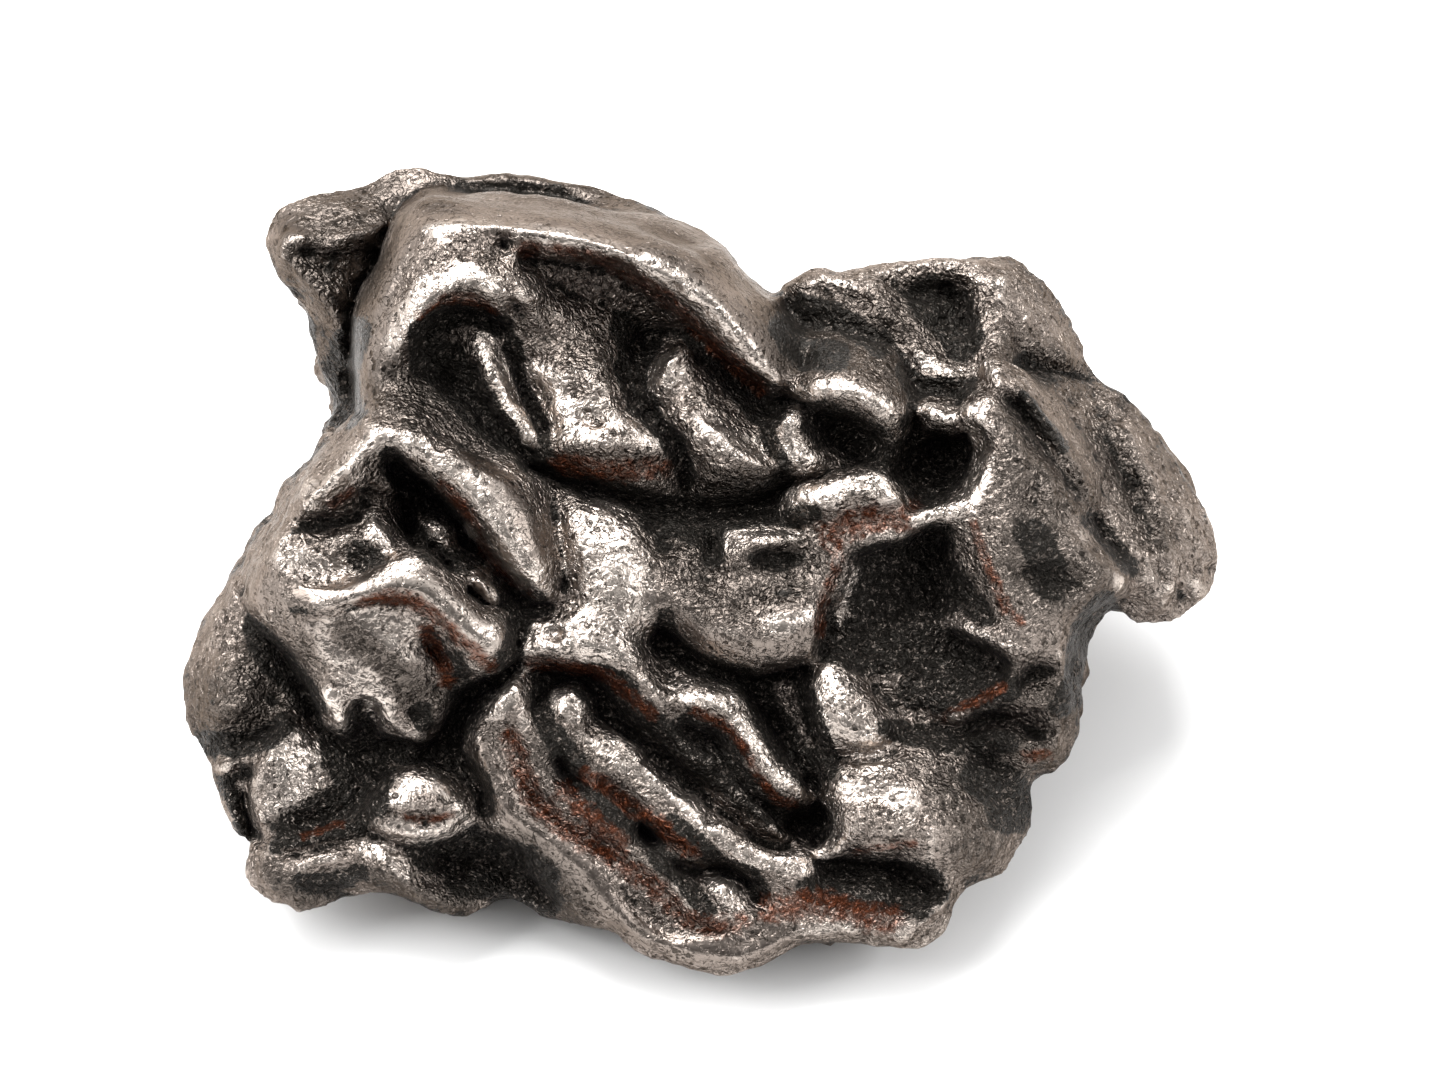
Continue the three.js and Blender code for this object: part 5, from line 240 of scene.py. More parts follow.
# The deep round hole with a lip round it.
HOLE = {
    "hole rim right": [
        (8, 4.7, 0), (8.3, 4.2, 0.5), (8.8, 3.8, 0.5), (9.1, 3.3, 0.6), (8.9, 2.7, 0.7), (8.7, 2.2, 0.7),
        (8.35, 1.75, 0.7), (7.95, 1.3, 0.6), (7.4, 1.05, 0.5), (6.8, 0.9, 0.4)],
    "hole lip right": [
        (8, 4.1, -0.4), (8.4, 3.6, -0.3), (8.6, 3.2, -0.2), (8.45, 2.7, -0.2), (8.2, 2.1, -0.2),
        (7.8, 1.65, -0.2), (7.2, 1.3, -0.3), (6.7, 1.15, -0.3)],
    "hole wall right": [
        (8, 3.6, -2.4), (8.2, 3, -2.4), (8, 2.3, -2.3), (7.6, 1.9, -2.2), (7.1, 1.55, -2), (6.6, 1.4, -1.9)],
    "hole rim left": [
        (6.7, 0.85, 0.4), (6.3, 0.95, 0.3), (5.95, 1.3, 0.3), (5.65, 1.8, 0.4), (5.4, 2.2, 0.5),
        (5.15, 2.5, 0.5)],
    "hole wall left": [
        (6.4, 1.5, -1.9), (6.1, 1.9, -2), (5.8, 2.4, -2), (5.8, 2.9, -2.1), (6.1, 3.6, -2.2),
        (6.4, 4.2, -2.2)],
    "hole floor": [(6.5, 2.5, -2.8), (7, 2.9, -3.1), (7.4, 2.5, -2.9), (7, 3.4, -3.2), (7.6, 3.4, -3.1)],
    "hole plate": [(6.65, 4.45, -0.5), (7, 4.2, -0.4), (7.5, 4.1, -0.3), (7.8, 4.05, -0.3)],
    "hole plate top": [(6.75, 4.7, -0.9), (7.2, 4.65, -0.8), (7.7, 4.35, -0.7)],
    "hole plate lip": [(6.7, 3.95, -1), (7.2, 3.75, -1), (7.8, 3.75, -0.9), (8.1, 3.8, -0.7)],
    "gap above plate": [
        (6.55, 4.9, -2.6), (7, 5.1, -2.9), (7.6, 5, -2.9), (7.9, 4.6, -2), (8.1, 5.3, -2.6),
        (8.6, 5.4, -2.4)],
}

# The pointed lip below the hole, which runs down into a seam.
STAR_LIP = {
    "star crest": [
        (2.1, 1.5, 0.3), (2.7, 1.45, 0.8), (3.4, 1.4, 0.9), (4.1, 1.55, 0.95), (4.7, 1.85, 0.9),
        (5.15, 2.1, 0.7), (5.6, 1.7, 0.6), (6.1, 1.2, 0.5)],
    "star back": [(2.4, 1.9, 0.1), (3.2, 1.9, 0.5), (4, 2.05, 0.55), (4.6, 2.4, 0.5), (5.1, 2.6, 0.4)],
    "star lip low": [(2.1, 1.2, -0.1), (2.6, 0.7, -0.1), (3.2, 0.35, 0), (3.7, 0.25, 0.2)],
    "star face": [(4.1, 0.9, 0.2), (5, 1, 0.1), (5.8, 0.9, 0.1)],
    "star edge": [(4.35, -0.3, 0.2), (4.9, -0.05, 0.3), (5.6, 0.15, 0.3), (6.2, 0.4, 0.3), (6.7, 0.75, 0.4)],
    "star foot": [
        (4.6, -0.6, -1.3), (5.2, -0.35, -1.5), (5.9, -0.1, -1.6), (6.5, 0.1, -1.8), (7, 0.45, -1.9)],
    "seam": [
        (4, 0.2, 0.5), (3.85, -0.4, 0.5), (3.55, -1, 0.5), (3.3, -1.6, 0.6), (3.15, -2.2, 0.6),
        (3.1, -2.9, 0.6), (2.95, -3.5, 0.5), (2.7, -3.85, 0.2)],
    "seam right": [
        (4.5, -0.7, -0.2), (4.15, -1.2, -0.2), (3.8, -1.7, -0.4), (3.5, -2.2, -0.9), (3.4, -3, -1.2),
        (3.2, -3.7, -1.3)],
}

# The swollen middle, folded over itself in three lips.
MIDDLE = {
    "mid top edge": [
        (-5.9, 1.95, -0.8), (-5, 1.55, -0.2), (-4, 1.2, 0), (-3.2, 0.95, -0.1), (-2.6, 0.7, -0.5)],
    "mid bright": [(-5.2, 0.9, 0.4), (-4.8, 0.2, 0.8), (-4.1, -0.3, 1), (-3.7, -1, 1.1), (-3.5, -1.6, 1.1)],
    "mid bright left": [(-5.2, 0, 0.5), (-5.1, -1, 0.6), (-4.6, -1.5, 0.9)],
    "mid spine": [
        (-3.1, 0.6, 0.3), (-2.8, 0, 0.6), (-2.5, -0.6, 0.7), (-2.3, -1.2, 0.8), (-2.3, -1.8, 0.8),
        (-2.4, -2.4, 0.7)],
    "mid hollow": [(-2.3, 0.5, -1.1), (-2, -0.1, -0.5), (-0.9, 0.65, -1.2)],
    "mid lump": [(-1.7, 0.5, -0.5), (-1.35, 0, -0.2), (-1.05, -0.4, -0.1), (-0.85, -0.8, -0.05)],
    "mid pit": [(-0.5, 0.35, -1.2), (-0.3, 0, -1.5), (-0.45, -0.35, -1.1)],
    "mid upper shelf": [(-1.9, -0.9, 0.3), (-1.2, -1.1, 0.2), (-0.6, -1.2, 0.1), (0, -1.1, 0.3)],
    "mid lower crest": [
        (-1.95, -1.75, 0.8), (-1.4, -2.2, 0.9), (-0.8, -2.7, 1), (0, -3.1, 1.1), (1, -3.2, 1.15),
        (2, -3, 1.1), (2.7, -2.6, 0.9), (3, -2, 0.7)],
    "mid lower edge": [
        (-2.05, -2.4, 0.2), (-1.4, -2.9, 0.2), (-0.9, -3.4, 0.2), (-0.2, -3.85, 0.3), (0.6, -4.1, 0.3),
        (1.4, -4.15, 0.3), (2.2, -4, 0.3), (2.7, -3.85, 0.2)],
    "mid lower foot": [
        (-2.1, -3, -1.3), (-1.6, -3.5, -1.4), (-1, -3.95, -1.4), (-0.4, -4.2, -1.3), (0.4, -4.45, -1.9),
        (1.2, -4.5, -2.2), (2, -4.35, -1.9), (2.8, -4.15, -1.4)],
    "white crest": [(0.2, 0.3, 0.1), (0.7, 0.5, 0.35), (1.4, 0.35, 0.5), (2.2, 0.4, 0.3), (2.9, 0.15, 0.1)],
    "white crest front": [
        (0.05, -0.25, 0.5), (0.45, -0.5, 0.8), (0.85, -0.25, 0.85), (1.4, -0.05, 0.75), (2, 0.05, 0.5)],
    "white crest back": [
        (0, 0.75, -1.1), (0.7, 0.8, -1), (1.5, 0.75, -0.8), (2.2, 0.6, -0.7), (2.6, 0.45, -0.4)],
    "mid dimple": [(1.2, -0.5, -0.1), (1.9, -0.5, -0.3), (2.6, -0.5, -0.2)],
    "mid fold": [(-0.1, -0.95, 0.5), (0.5, -0.9, 0.6), (1.1, -1, 0.5)],
    "mid belly": [(0.4, -1.7, 0.8), (0.9, -1.4, 0.6), (1.6, -1.2, 0.45), (2.3, -1.1, 0.3)],
    "shell groove": [(0.95, -2.05, 0.6), (1.3, -1.75, 0.4), (1.9, -1.65, 0.35), (2.5, -1.75, 0.3)],
    "shell top": [
        (1.4, -2.25, 0.9), (1.95, -2.15, 0.95), (2.5, -2.4, 0.9), (2.2, -2.8, 1.15), (1.5, -2.8, 1.15)],
    "shelf crest": [
        (-7, -3.7, 0.5), (-6.3, -3.5, 0.8), (-5.5, -3.45, 1), (-4.8, -3.3, 1.1), (-4, -3.35, 1.2),
        (-3.3, -3.7, 1.2), (-2.8, -4.2, 1.1), (-2.3, -4.9, 1), (-2, -5.4, 0.8)],
    "shelf top": [(-6.2, -2.7, 0.6), (-5.6, -2.6, 0.7), (-5.1, -3, 0.9), (-4.4, -2.9, 1), (-3.6, -2.6, 1)],
    "shelf notch": [(-6.4, -2.2, -0.5), (-5.7, -2.1, 0), (-5.1, -2.1, 0.4), (-4.4, -2, 0.8)],
    "shelf pit": [(-5.6, -3.1, 0.4), (-5.5, -2.9, 0.3)],
    "shelf low": [
        (-6.6, -4, 0.1), (-5.7, -4, 0.3), (-4.8, -4.05, 0.4), (-4, -4.3, 0.4), (-3.4, -4.8, 0.4),
        (-3, -5.4, 0.3), (-2.7, -6, 0.1)],
    "shelf foot": [
        (-6.3, -4.4, -1), (-5.5, -4.45, -1.3), (-4.5, -4.55, -1.4), (-3.9, -5.2, -1.4), (-3.5, -6, -1.4)],
    "shelf right foot": [(-2.3, -3.2, -1.3), (-2.1, -4, -1), (-1.8, -4.35, -0.9)],
}

# The lower plate, with three wandering ridges and channels between them.
LOWER_PLATE = {
    "ridge three": [
        (-1.65, -4.65, 0.3), (-1, -4.75, 0.5), (-0.3, -4.9, 0.5), (0.25, -5.15, 0.5), (0.7, -5.7, 0.5),
        (1.1, -6.2, 0.45), (1.45, -6.7, 0.35), (1.7, -7.2, 0.3), (2, -7.6, 0.2), (2.5, -8, 0.1),
        (3, -8.5, -0.2)],
    "ridge three top": [
        (-1.5, -5.2, 0.85), (-0.8, -5.3, 0.9), (-0.1, -5.5, 0.85), (0.35, -5.95, 0.8), (0.75, -6.6, 0.7),
        (1.1, -7.2, 0.55), (1.6, -7.9, 0.4), (2.2, -8.3, 0.25)],
    "ridge three low": [
        (-1.6, -5.7, 0.3), (-0.9, -5.85, 0.3), (-0.1, -6.1, 0.3), (0.25, -6.6, 0.15), (0.65, -7.4, 0),
        (1.15, -8.15, -0.1), (1.8, -8.7, -0.3), (2.6, -8.85, -0.4)],
    "ridge three foot": [
        (-1.3, -6.1, -0.7), (-0.8, -6.35, -0.9), (-0.25, -6.5, -0.9), (0.1, -7.1, -0.7), (0.5, -7.9, -0.8),
        (1, -8.6, -1.1), (1.7, -9.05, -1.6)],
    "pocket ridge": [
        (-2, -5.7, 0.4), (-1.7, -6.3, 0.25), (-1.4, -6.9, 0.15), (-0.9, -7.35, 0.15), (-0.3, -7.45, 0),
        (0.3, -7.4, -0.3)],
    "tail ridge": [(0.1, -8, -0.5), (0.7, -8.5, 0), (1.2, -9, 0.1), (1.7, -9.5, 0), (1.95, -9.9, -0.3)],
    "channel two": [
        (-4.1, -5.7, -1.5), (-3.2, -6.4, -1.6), (-2.4, -7, -1.5), (-1.6, -7.7, -1.4), (-0.9, -8.3, -1.3),
        (-0.2, -9, -1.3), (0.5, -9.5, -1.3), (1.2, -10, -1.3), (2.2, -10.1, -1.5)],
    "channel two deep": [(2.1, -9.3, -2.2), (2.7, -9.3, -2.4), (3.2, -9.1, -2.3), (3.1, -10, -2.2)],
    "channel three": [
        (0.7, -4.7, -2), (1.2, -5.3, -2.2), (1.7, -6.2, -2.2), (2.1, -7, -1.8), (2.6, -7.8, -1.6),
        (3.1, -8.4, -1.8)],
    "channel facet": [(2.4, -6.9, -1.2), (2.9, -7.4, -1.1), (3.1, -8, -1.3)],
    "ridge two": [
        (-4.4, -6.3, 0.1), (-3.7, -6.7, 0.4), (-3, -7.1, 0.5), (-2.3, -7.6, 0.6), (-1.8, -8.05, 0.65),
        (-1.3, -8.5, 0.7), (-0.8, -9.05, 0.7), (-0.4, -9.5, 0.7), (0.1, -9.75, 0.7), (0.6, -10.1, 0.7),
        (1.1, -10.35, 0.6), (1.6, -10.6, 0.6), (2.1, -10.75, 0.5), (2.6, -10.7, 0.4), (3, -10.9, 0.1)],
    "ridge two inner": [
        (-5.5, -6.6, 0.3), (-5, -7.2, 0.5), (-4.5, -7.9, 0.45), (-4, -8.5, 0.5), (-3.4, -9, 0.5),
        (-3.1, -9.4, 0.4)],
    "ridge two body": [
        (-3.6, -7.6, 0.55), (-2.8, -8.3, 0.55), (-2, -9, 0.55), (-1.3, -9.6, 0.55), (-0.6, -10, 0.5),
        (0, -10.25, 0.4)],
    "ridge two bumps": [
        (-3.2, -7.6, 0.5), (-2.8, -8, 0.3), (-2.4, -8.4, 0.55), (-2, -8.9, 0.35), (-1.6, -9.3, 0.5)],
    "ridge two face": [
        (-4.1, -7.9, 0), (-3.5, -8.5, -0.1), (-2.9, -9.1, -0.1), (-2.1, -9.9, 0), (-1.5, -10.25, 0.1)],
    "ridge two low": [
        (-1.9, -10.4, -0.2), (-1.4, -10.55, 0.1), (-0.8, -10.6, 0.2), (-0.3, -10.45, 0.2),
        (0.1, -10.45, 0.3), (0.7, -10.9, 0.2), (1.2, -11.1, 0.1)],
    "ridge two foot": [
        (-1.6, -10.8, -0.8), (-0.9, -10.95, -1.1), (-0.2, -10.9, -1.2), (0.5, -11.05, -1.4),
        (0.95, -11.35, -1.4)],
    "plate hole": [(-2.8, -9.5, -1), (-2.5, -9.75, -1.4), (-2.15, -9.9, -1.1)],
    "inner pits": [(-5.6, -7.3, -0.4), (-5.1, -7.9, -0.6), (-4.7, -8.2, -0.2)],
    "ridge one": [
        (-7, -4.3, 0.7), (-6.85, -5, 0.9), (-6.65, -5.6, 0.9), (-6.45, -6.3, 0.75), (-6.25, -7, 0.7),
        (-5.9, -7.7, 0.6), (-5.3, -8.25, 0.7), (-4.8, -8.65, 0.55), (-4.3, -9, 0.65), (-3.8, -9.35, 0.6),
        (-3.3, -9.7, 0.75), (-3, -10.1, 0.6), (-2.5, -10.55, 0.7), (-1.9, -10.95, 0.55),
        (-1.45, -11.35, 0.65), (-1.1, -11.85, 0.55), (-0.7, -12.35, 0.55), (-0.1, -12.55, 0.5),
        (0.5, -12.4, 0.4), (0.9, -12, 0.2)],
    "curl": [(-0.45, -11.6, 0.35), (-0.1, -11.35, 0.55), (0.2, -11.6, 0.55), (0.05, -11.9, 0.45)],
    "curl groove": [
        (-0.85, -11.7, -0.1), (-0.5, -12.05, 0), (0.05, -12.2, 0.1), (0.5, -12, 0), (0.6, -11.6, -0.2)],
    "ridge one groove": [
        (-7.25, -6.3, 0.3), (-7, -7.2, 0.1), (-6.6, -8.1, 0), (-6.1, -8.9, -0.1), (-5.4, -9.5, -0.1),
        (-4.5, -10, 0), (-3.6, -10.5, 0), (-2.9, -11.1, 0), (-2.2, -11.7, 0), (-1.7, -12.3, 0),
        (-1.1, -12.75, 0), (-0.3, -12.95, 0), (0.4, -12.7, 0), (0.7, -12.2, 0)],
    "plate rim": [
        (-8.35, -6.3, 0.5), (-8.2, -6.9, 0.7), (-7.9, -7.6, 0.7), (-7.6, -8.4, 0.7), (-7.2, -9, 0.7),
        (-6.5, -9.4, 0.7), (-5.7, -9.9, 0.6), (-4.9, -10.5, 0.6), (-4.3, -11.1, 0.5), (-3.8, -11.9, 0.4),
        (-3.3, -12.6, 0.4), (-2.5, -13.15, 0.3), (-1.5, -13.45, 0.3), (-0.6, -13.75, 0.3), (0.4, -13.8, 0.3),
        (1.1, -13.55, 0.2), (1.9, -13.25, 0.1), (3, -13, 0.1), (4, -12.95, 0.1), (5, -13.05, 0.1),
        (5.9, -13.05, 0.2), (6.5, -12.7, 0.4), (7, -12.2, 0.5), (7.4, -11.8, 0.5)],
    "plate hollow": [(-3.6, -11.4, 0), (-2.9, -12.1, -0.4), (-2.2, -12.8, -0.3), (-1.4, -13.1, -0.1)],
    "plate thin line": [
        (-1.3, -13.05, 0.2), (-0.5, -13.15, 0.3), (0.05, -13.1, 0.35), (0.6, -12.75, 0.4),
        (0.9, -12.3, 0.3)],
    "plate outer": [
        (-7.9, -9.3, -0.2), (-7.2, -9.8, -0.3), (-6.5, -10.2, -0.4), (-6, -11, -0.5), (-5.4, -11.8, -0.6),
        (-4.8, -12.5, -0.8), (-4.2, -12.8, -1)],
    "bottom brown": [
        (0.3, -13.35, 0.1), (1.2, -13, 0), (2.2, -12.6, -0.05), (3.5, -12.4, -0.05), (4.8, -12.6, 0),
        (5.8, -12.7, 0.05)],
    "bottom bump": [(1.3, -12.2, -0.1), (1.8, -11.6, 0.1), (2.6, -11.5, 0.2), (3.1, -11.7, 0)],
    "bottom gap": [(1.1, -11.9, -0.9), (1.3, -12.1, -0.6)],
    "bottom gray": [(3.6, -11.2, -0.5), (4.6, -11.4, -0.3), (5.5, -11.65, -0.3), (6.3, -12.05, -0.4)],
    "bottom slot": [
        (3.2, -10.75, -1.2), (4, -10.75, -1.4), (5, -10.8, -1.5), (6, -11.05, -1.5), (6.8, -11.45, -1.2),
        (7, -11.85, -0.9)],
}

# The square block and the nugget at the lower right.
LOWER_BLOCK = {
    "block left": [(3.55, -7.6, 0.1), (3.5, -8.3, 0.5), (3.75, -9, 0.6), (4, -9.5, 0.6)],
    "block left foot": [(3.15, -7.8, -1.5), (3.15, -8.5, -1.9), (3.5, -9.2, -1.9), (3.5, -9.8, -1.5)],
    "block top": [(4.3, -8.2, 0.75), (5.2, -8.4, 0.9), (6.2, -8.3, 0.85), (6.8, -8.8, 0.8)],
    "block middle": [(4.4, -8.9, 1.05), (5.2, -9.1, 1.2), (6.2, -9.1, 1.15), (7, -9.4, 1)],
    "block upper": [
        (3.6, -7.5, 0), (4.3, -7.3, 0.3), (5, -7.2, 0.4), (5.8, -7.1, 0.3), (6.6, -7, 0), (7.3, -7.4, -0.3)],
    "block roll": [
        (3.7, -9.95, 0.4), (4.2, -9.7, 0.8), (4.9, -9.6, 1.15), (5.6, -9.6, 1.2), (6.4, -9.7, 1.1),
        (7.2, -9.95, 0.85), (7.8, -10.4, 0.5)],
    "block roll low": [
        (3.2, -10.45, 0.1), (3.6, -10.3, 0.2), (4.2, -10.2, 0.2), (5, -10.3, 0.2), (5.8, -10.45, 0.2),
        (6.5, -10.75, 0.1), (7, -11.15, 0)],
    "block right": [(7.8, -8.6, 0.2), (8.3, -9.4, -0.1), (8.5, -10.3, -0.3), (8.2, -11, -0.2)],
    "block far": [(8.9, -8.9, -0.9), (9.3, -9.8, -1.1), (9.1, -10.6, -1), (9.8, -9.3, -1.8)],
    "right notch": [(8.2, -7.4, -0.9), (8.7, -8.2, -1.3), (9.5, -8.5, -1.9), (9.9, -8, -2.2)],
    "nugget": [
        (3.2, -4.35, 0.1), (3.6, -4.8, 0.5), (3.8, -5.4, 0.7), (4.2, -6, 0.75), (4.7, -6.5, 0.6),
        (5.2, -6.8, 0.3)],
    "nugget left": [(3, -4.7, -0.1), (3.1, -5.4, 0.2), (3.3, -6.1, 0.3), (3.6, -6.6, 0.2)],
    "nugget left foot": [(2.55, -4.6, -1.3), (2.75, -5.4, -1.4), (2.9, -6.2, -1.3), (3.15, -6.85, -1.1)],
    "nugget right": [(3.9, -4.35, 0.1), (4.5, -5, 0.3), (5, -5.6, 0.4), (5.5, -6.2, 0.3)],
    "nugget right foot": [
        (4.3, -4.05, -1), (4.9, -4.7, -1.2), (5.4, -5.3, -1.3), (5.9, -5.9, -1.3), (6.1, -6.4, -1.2)],
    "nugget foot": [(3.5, -7.05, -0.9), (4.2, -7.15, -0.5), (4.9, -7.1, -0.3), (5.7, -6.8, -0.6)],
}

# The dark valley between the middle and the right block.
VALLEY = {
    "valley a": [(4.8, -1.2, -1.4), (5.3, -2.2, -1.6), (5.2, -3.2, -1.5), (4.6, -3.8, -1.3)],
    "valley deep": [
        (7.2, 0.2, -2.3), (7, -0.5, -2.4), (7.1, -1.2, -2.3), (7.2, -1.8, -2.2), (7.2, -2.4, -2.1)],
    "valley curl": [(5.4, -2.9, -1.3), (6, -3.05, -1.2), (6.6, -2.85, -1.3), (7, -2.6, -1.6)],
    "valley b": [(6.2, -1.6, -1.9), (6, -2.4, -1.8)],
    "valley c": [(6.2, -3.8, -1.6), (7.3, -4, -1.6), (8.3, -4.3, -1.5), (9, -4.6, -1.2)],
    "valley d": [(6, -4.9, -1.4), (7.2, -5.2, -1.2), (8.2, -5, -1.1)],
    "valley line": [
        (7.6, -5.85, -0.5), (8.4, -5.55, -0.25), (9.2, -5.2, -0.05), (9.55, -4.85, 0.05),
        (9.65, -4.35, 0.1)],
    "valley line foot": [
        (6.4, -5.8, -1.7), (7.4, -6.15, -1.8), (8.3, -5.95, -1.9), (9.2, -5.75, -1.9), (10, -6.1, -1.9),
        (10.6, -6.5, -1.8)],
}

# The large right block with a keel down its right side.
RIGHT_BLOCK = {
    "block edge red": [
        (7.7, 0.55, 0.1), (8.2, 0.1, 0.3), (8.55, -0.7, 0.4), (8.95, -1.5, 0.4), (9.4, -2.2, 0.4),
        (9.9, -2.65, 0.3)],
    "dark facet": [(7.9, -0.5, -0.9), (8, -1.4, -1), (8.4, -2.1, -0.9), (8.9, -2.6, -0.6)],
    "facet crest": [
        (7.85, -2.75, -0.4), (8.4, -3, -0.1), (9, -3.35, 0.1), (9.5, -3.65, 0.15), (9.75, -4, 0.05)],
    "facet foot": [(7.45, -3, -1.8), (8.1, -3.45, -1.9), (8.8, -3.75, -1.8), (9.3, -4.15, -1.6)],
    "face a": [(9.6, 2.8, 0.7), (10, 1.8, 0.7), (9.6, 0.8, 0.8), (9.2, -0.2, 0.8)],
    "face b": [(10.8, 1.6, 0.5), (10.7, 0.7, 0.55), (10.4, -0.2, 0.55), (10.2, -2.2, 0.45)],
    "face c": [
        (11.4, 0.5, 0.4), (11.9, -0.4, 0.35), (12.6, -0.9, 0.25), (11.9, -1.9, 0.35), (11, -2.5, 0.35)],
    "face pitted hollow": [(10, -1, 0.2), (10.8, -1.3, -0.05), (11.6, -1.3, 0), (12.2, -1.1, 0.1)],
    "face crack": [(10.4, 3, 0.15), (10.55, 2.3, 0.1), (10.35, 1.6, 0.3), (10.6, 1, 0.3)],
    "face far crack": [(11.3, 1.4, -0.1), (11.35, 0.8, -0.1), (11.7, 0.1, -0.05)],
    "strip one": [
        (8.4, 5, -0.1), (8.9, 4.7, 0.2), (9.5, 4, 0.4), (10.2, 3.1, 0.4), (11, 2, 0.3), (11.7, 1.1, 0.1)],
    "right edge": [
        (11.95, 1.1, -0.4), (12.1, 0.6, -0.4), (12.3, 0.15, -0.4), (12.85, -0.4, -0.4), (13.35, -1.1, -0.4),
        (13.2, -1.45, -0.4), (12.3, -2.15, -0.3), (11.7, -2.6, -0.2), (11.5, -2.9, -0.3), (11.4, -3.6, -0.4),
        (11.35, -4.3, -0.5), (11.5, -5, -0.7), (11.65, -5.4, -0.9)],
    "right edge foot": [
        (12.3, 1, -3), (12.5, 0.4, -3), (13, -0.2, -2.8), (13.55, -0.95, -2.4), (13.45, -1.6, -2.6),
        (12.6, -2.35, -3.2), (12, -2.75, -3.2), (11.75, -3.2, -3), (11.65, -3.9, -2.8), (11.65, -4.5, -2.6),
        (11.8, -5.1, -2.2)],
    "strip two": [
        (8.7, 5.9, -0.8), (9.1, 5.5, -0.3), (9.7, 5.2, -0.5), (10.3, 4.5, -0.7), (10.8, 3.9, -0.7),
        (11.3, 3.1, -0.8), (11.9, 2.4, -0.9), (12.2, 1.8, -1), (12.3, 1.3, -1.2)],
    "strip two far": [
        (9.9, 5.7, -1.8), (10.6, 5, -1.9), (11.2, 4.3, -1.9), (11.7, 3.5, -2), (12.2, 2.7, -2.1),
        (12.6, 1.9, -2.2), (12.6, 1.4, -2.4)],
    "strip crevice": [
        (9.2, 5.05, -0.5), (9.7, 4.65, -1.4), (10.1, 4.1, -1.5), (10.4, 3.5, -1.4), (10.8, 2.9, -1.1),
        (11.3, 2.2, -1), (11.8, 1.6, -1.1), (12.05, 1.2, -1.2)],
    "strip foot": [
        (10.2, 5.9, -4.2), (10.9, 5.2, -4.2), (11.4, 4.5, -4), (11.9, 3.7, -3.8), (12.4, 2.9, -3.6),
        (12.8, 2.1, -3.4), (12.8, 1.4, -3.2)],
    "below a": [(10.1, -3.75, 0), (10.6, -3.35, 0), (11.2, -3.1, -0.1)],
    "below facet": [(9.9, -4.7, -1), (10.4, -4.4, -1), (11, -4.25, -0.9)],
    "below b": [(9.9, -5.3, -0.6), (10.5, -5.2, -0.6), (11.1, -5.1, -0.7), (11.5, -5.8, -1.1)],
    "below lobe": [
        (8.4, -6.65, -1.1), (8.9, -6.5, -0.9), (9.6, -6.5, -0.8), (10.3, -6.75, -0.9), (10.9, -6.9, -1.1)],
    "below lobe low": [(8.3, -7, -1.9), (9, -7.3, -2.1), (9.8, -7.6, -2), (10.3, -7.3, -1.7)],
    "below side": [(11.3, -6.2, -1.2), (11.3, -6.9, -1.6), (10.8, -7.4, -1.9)],
}

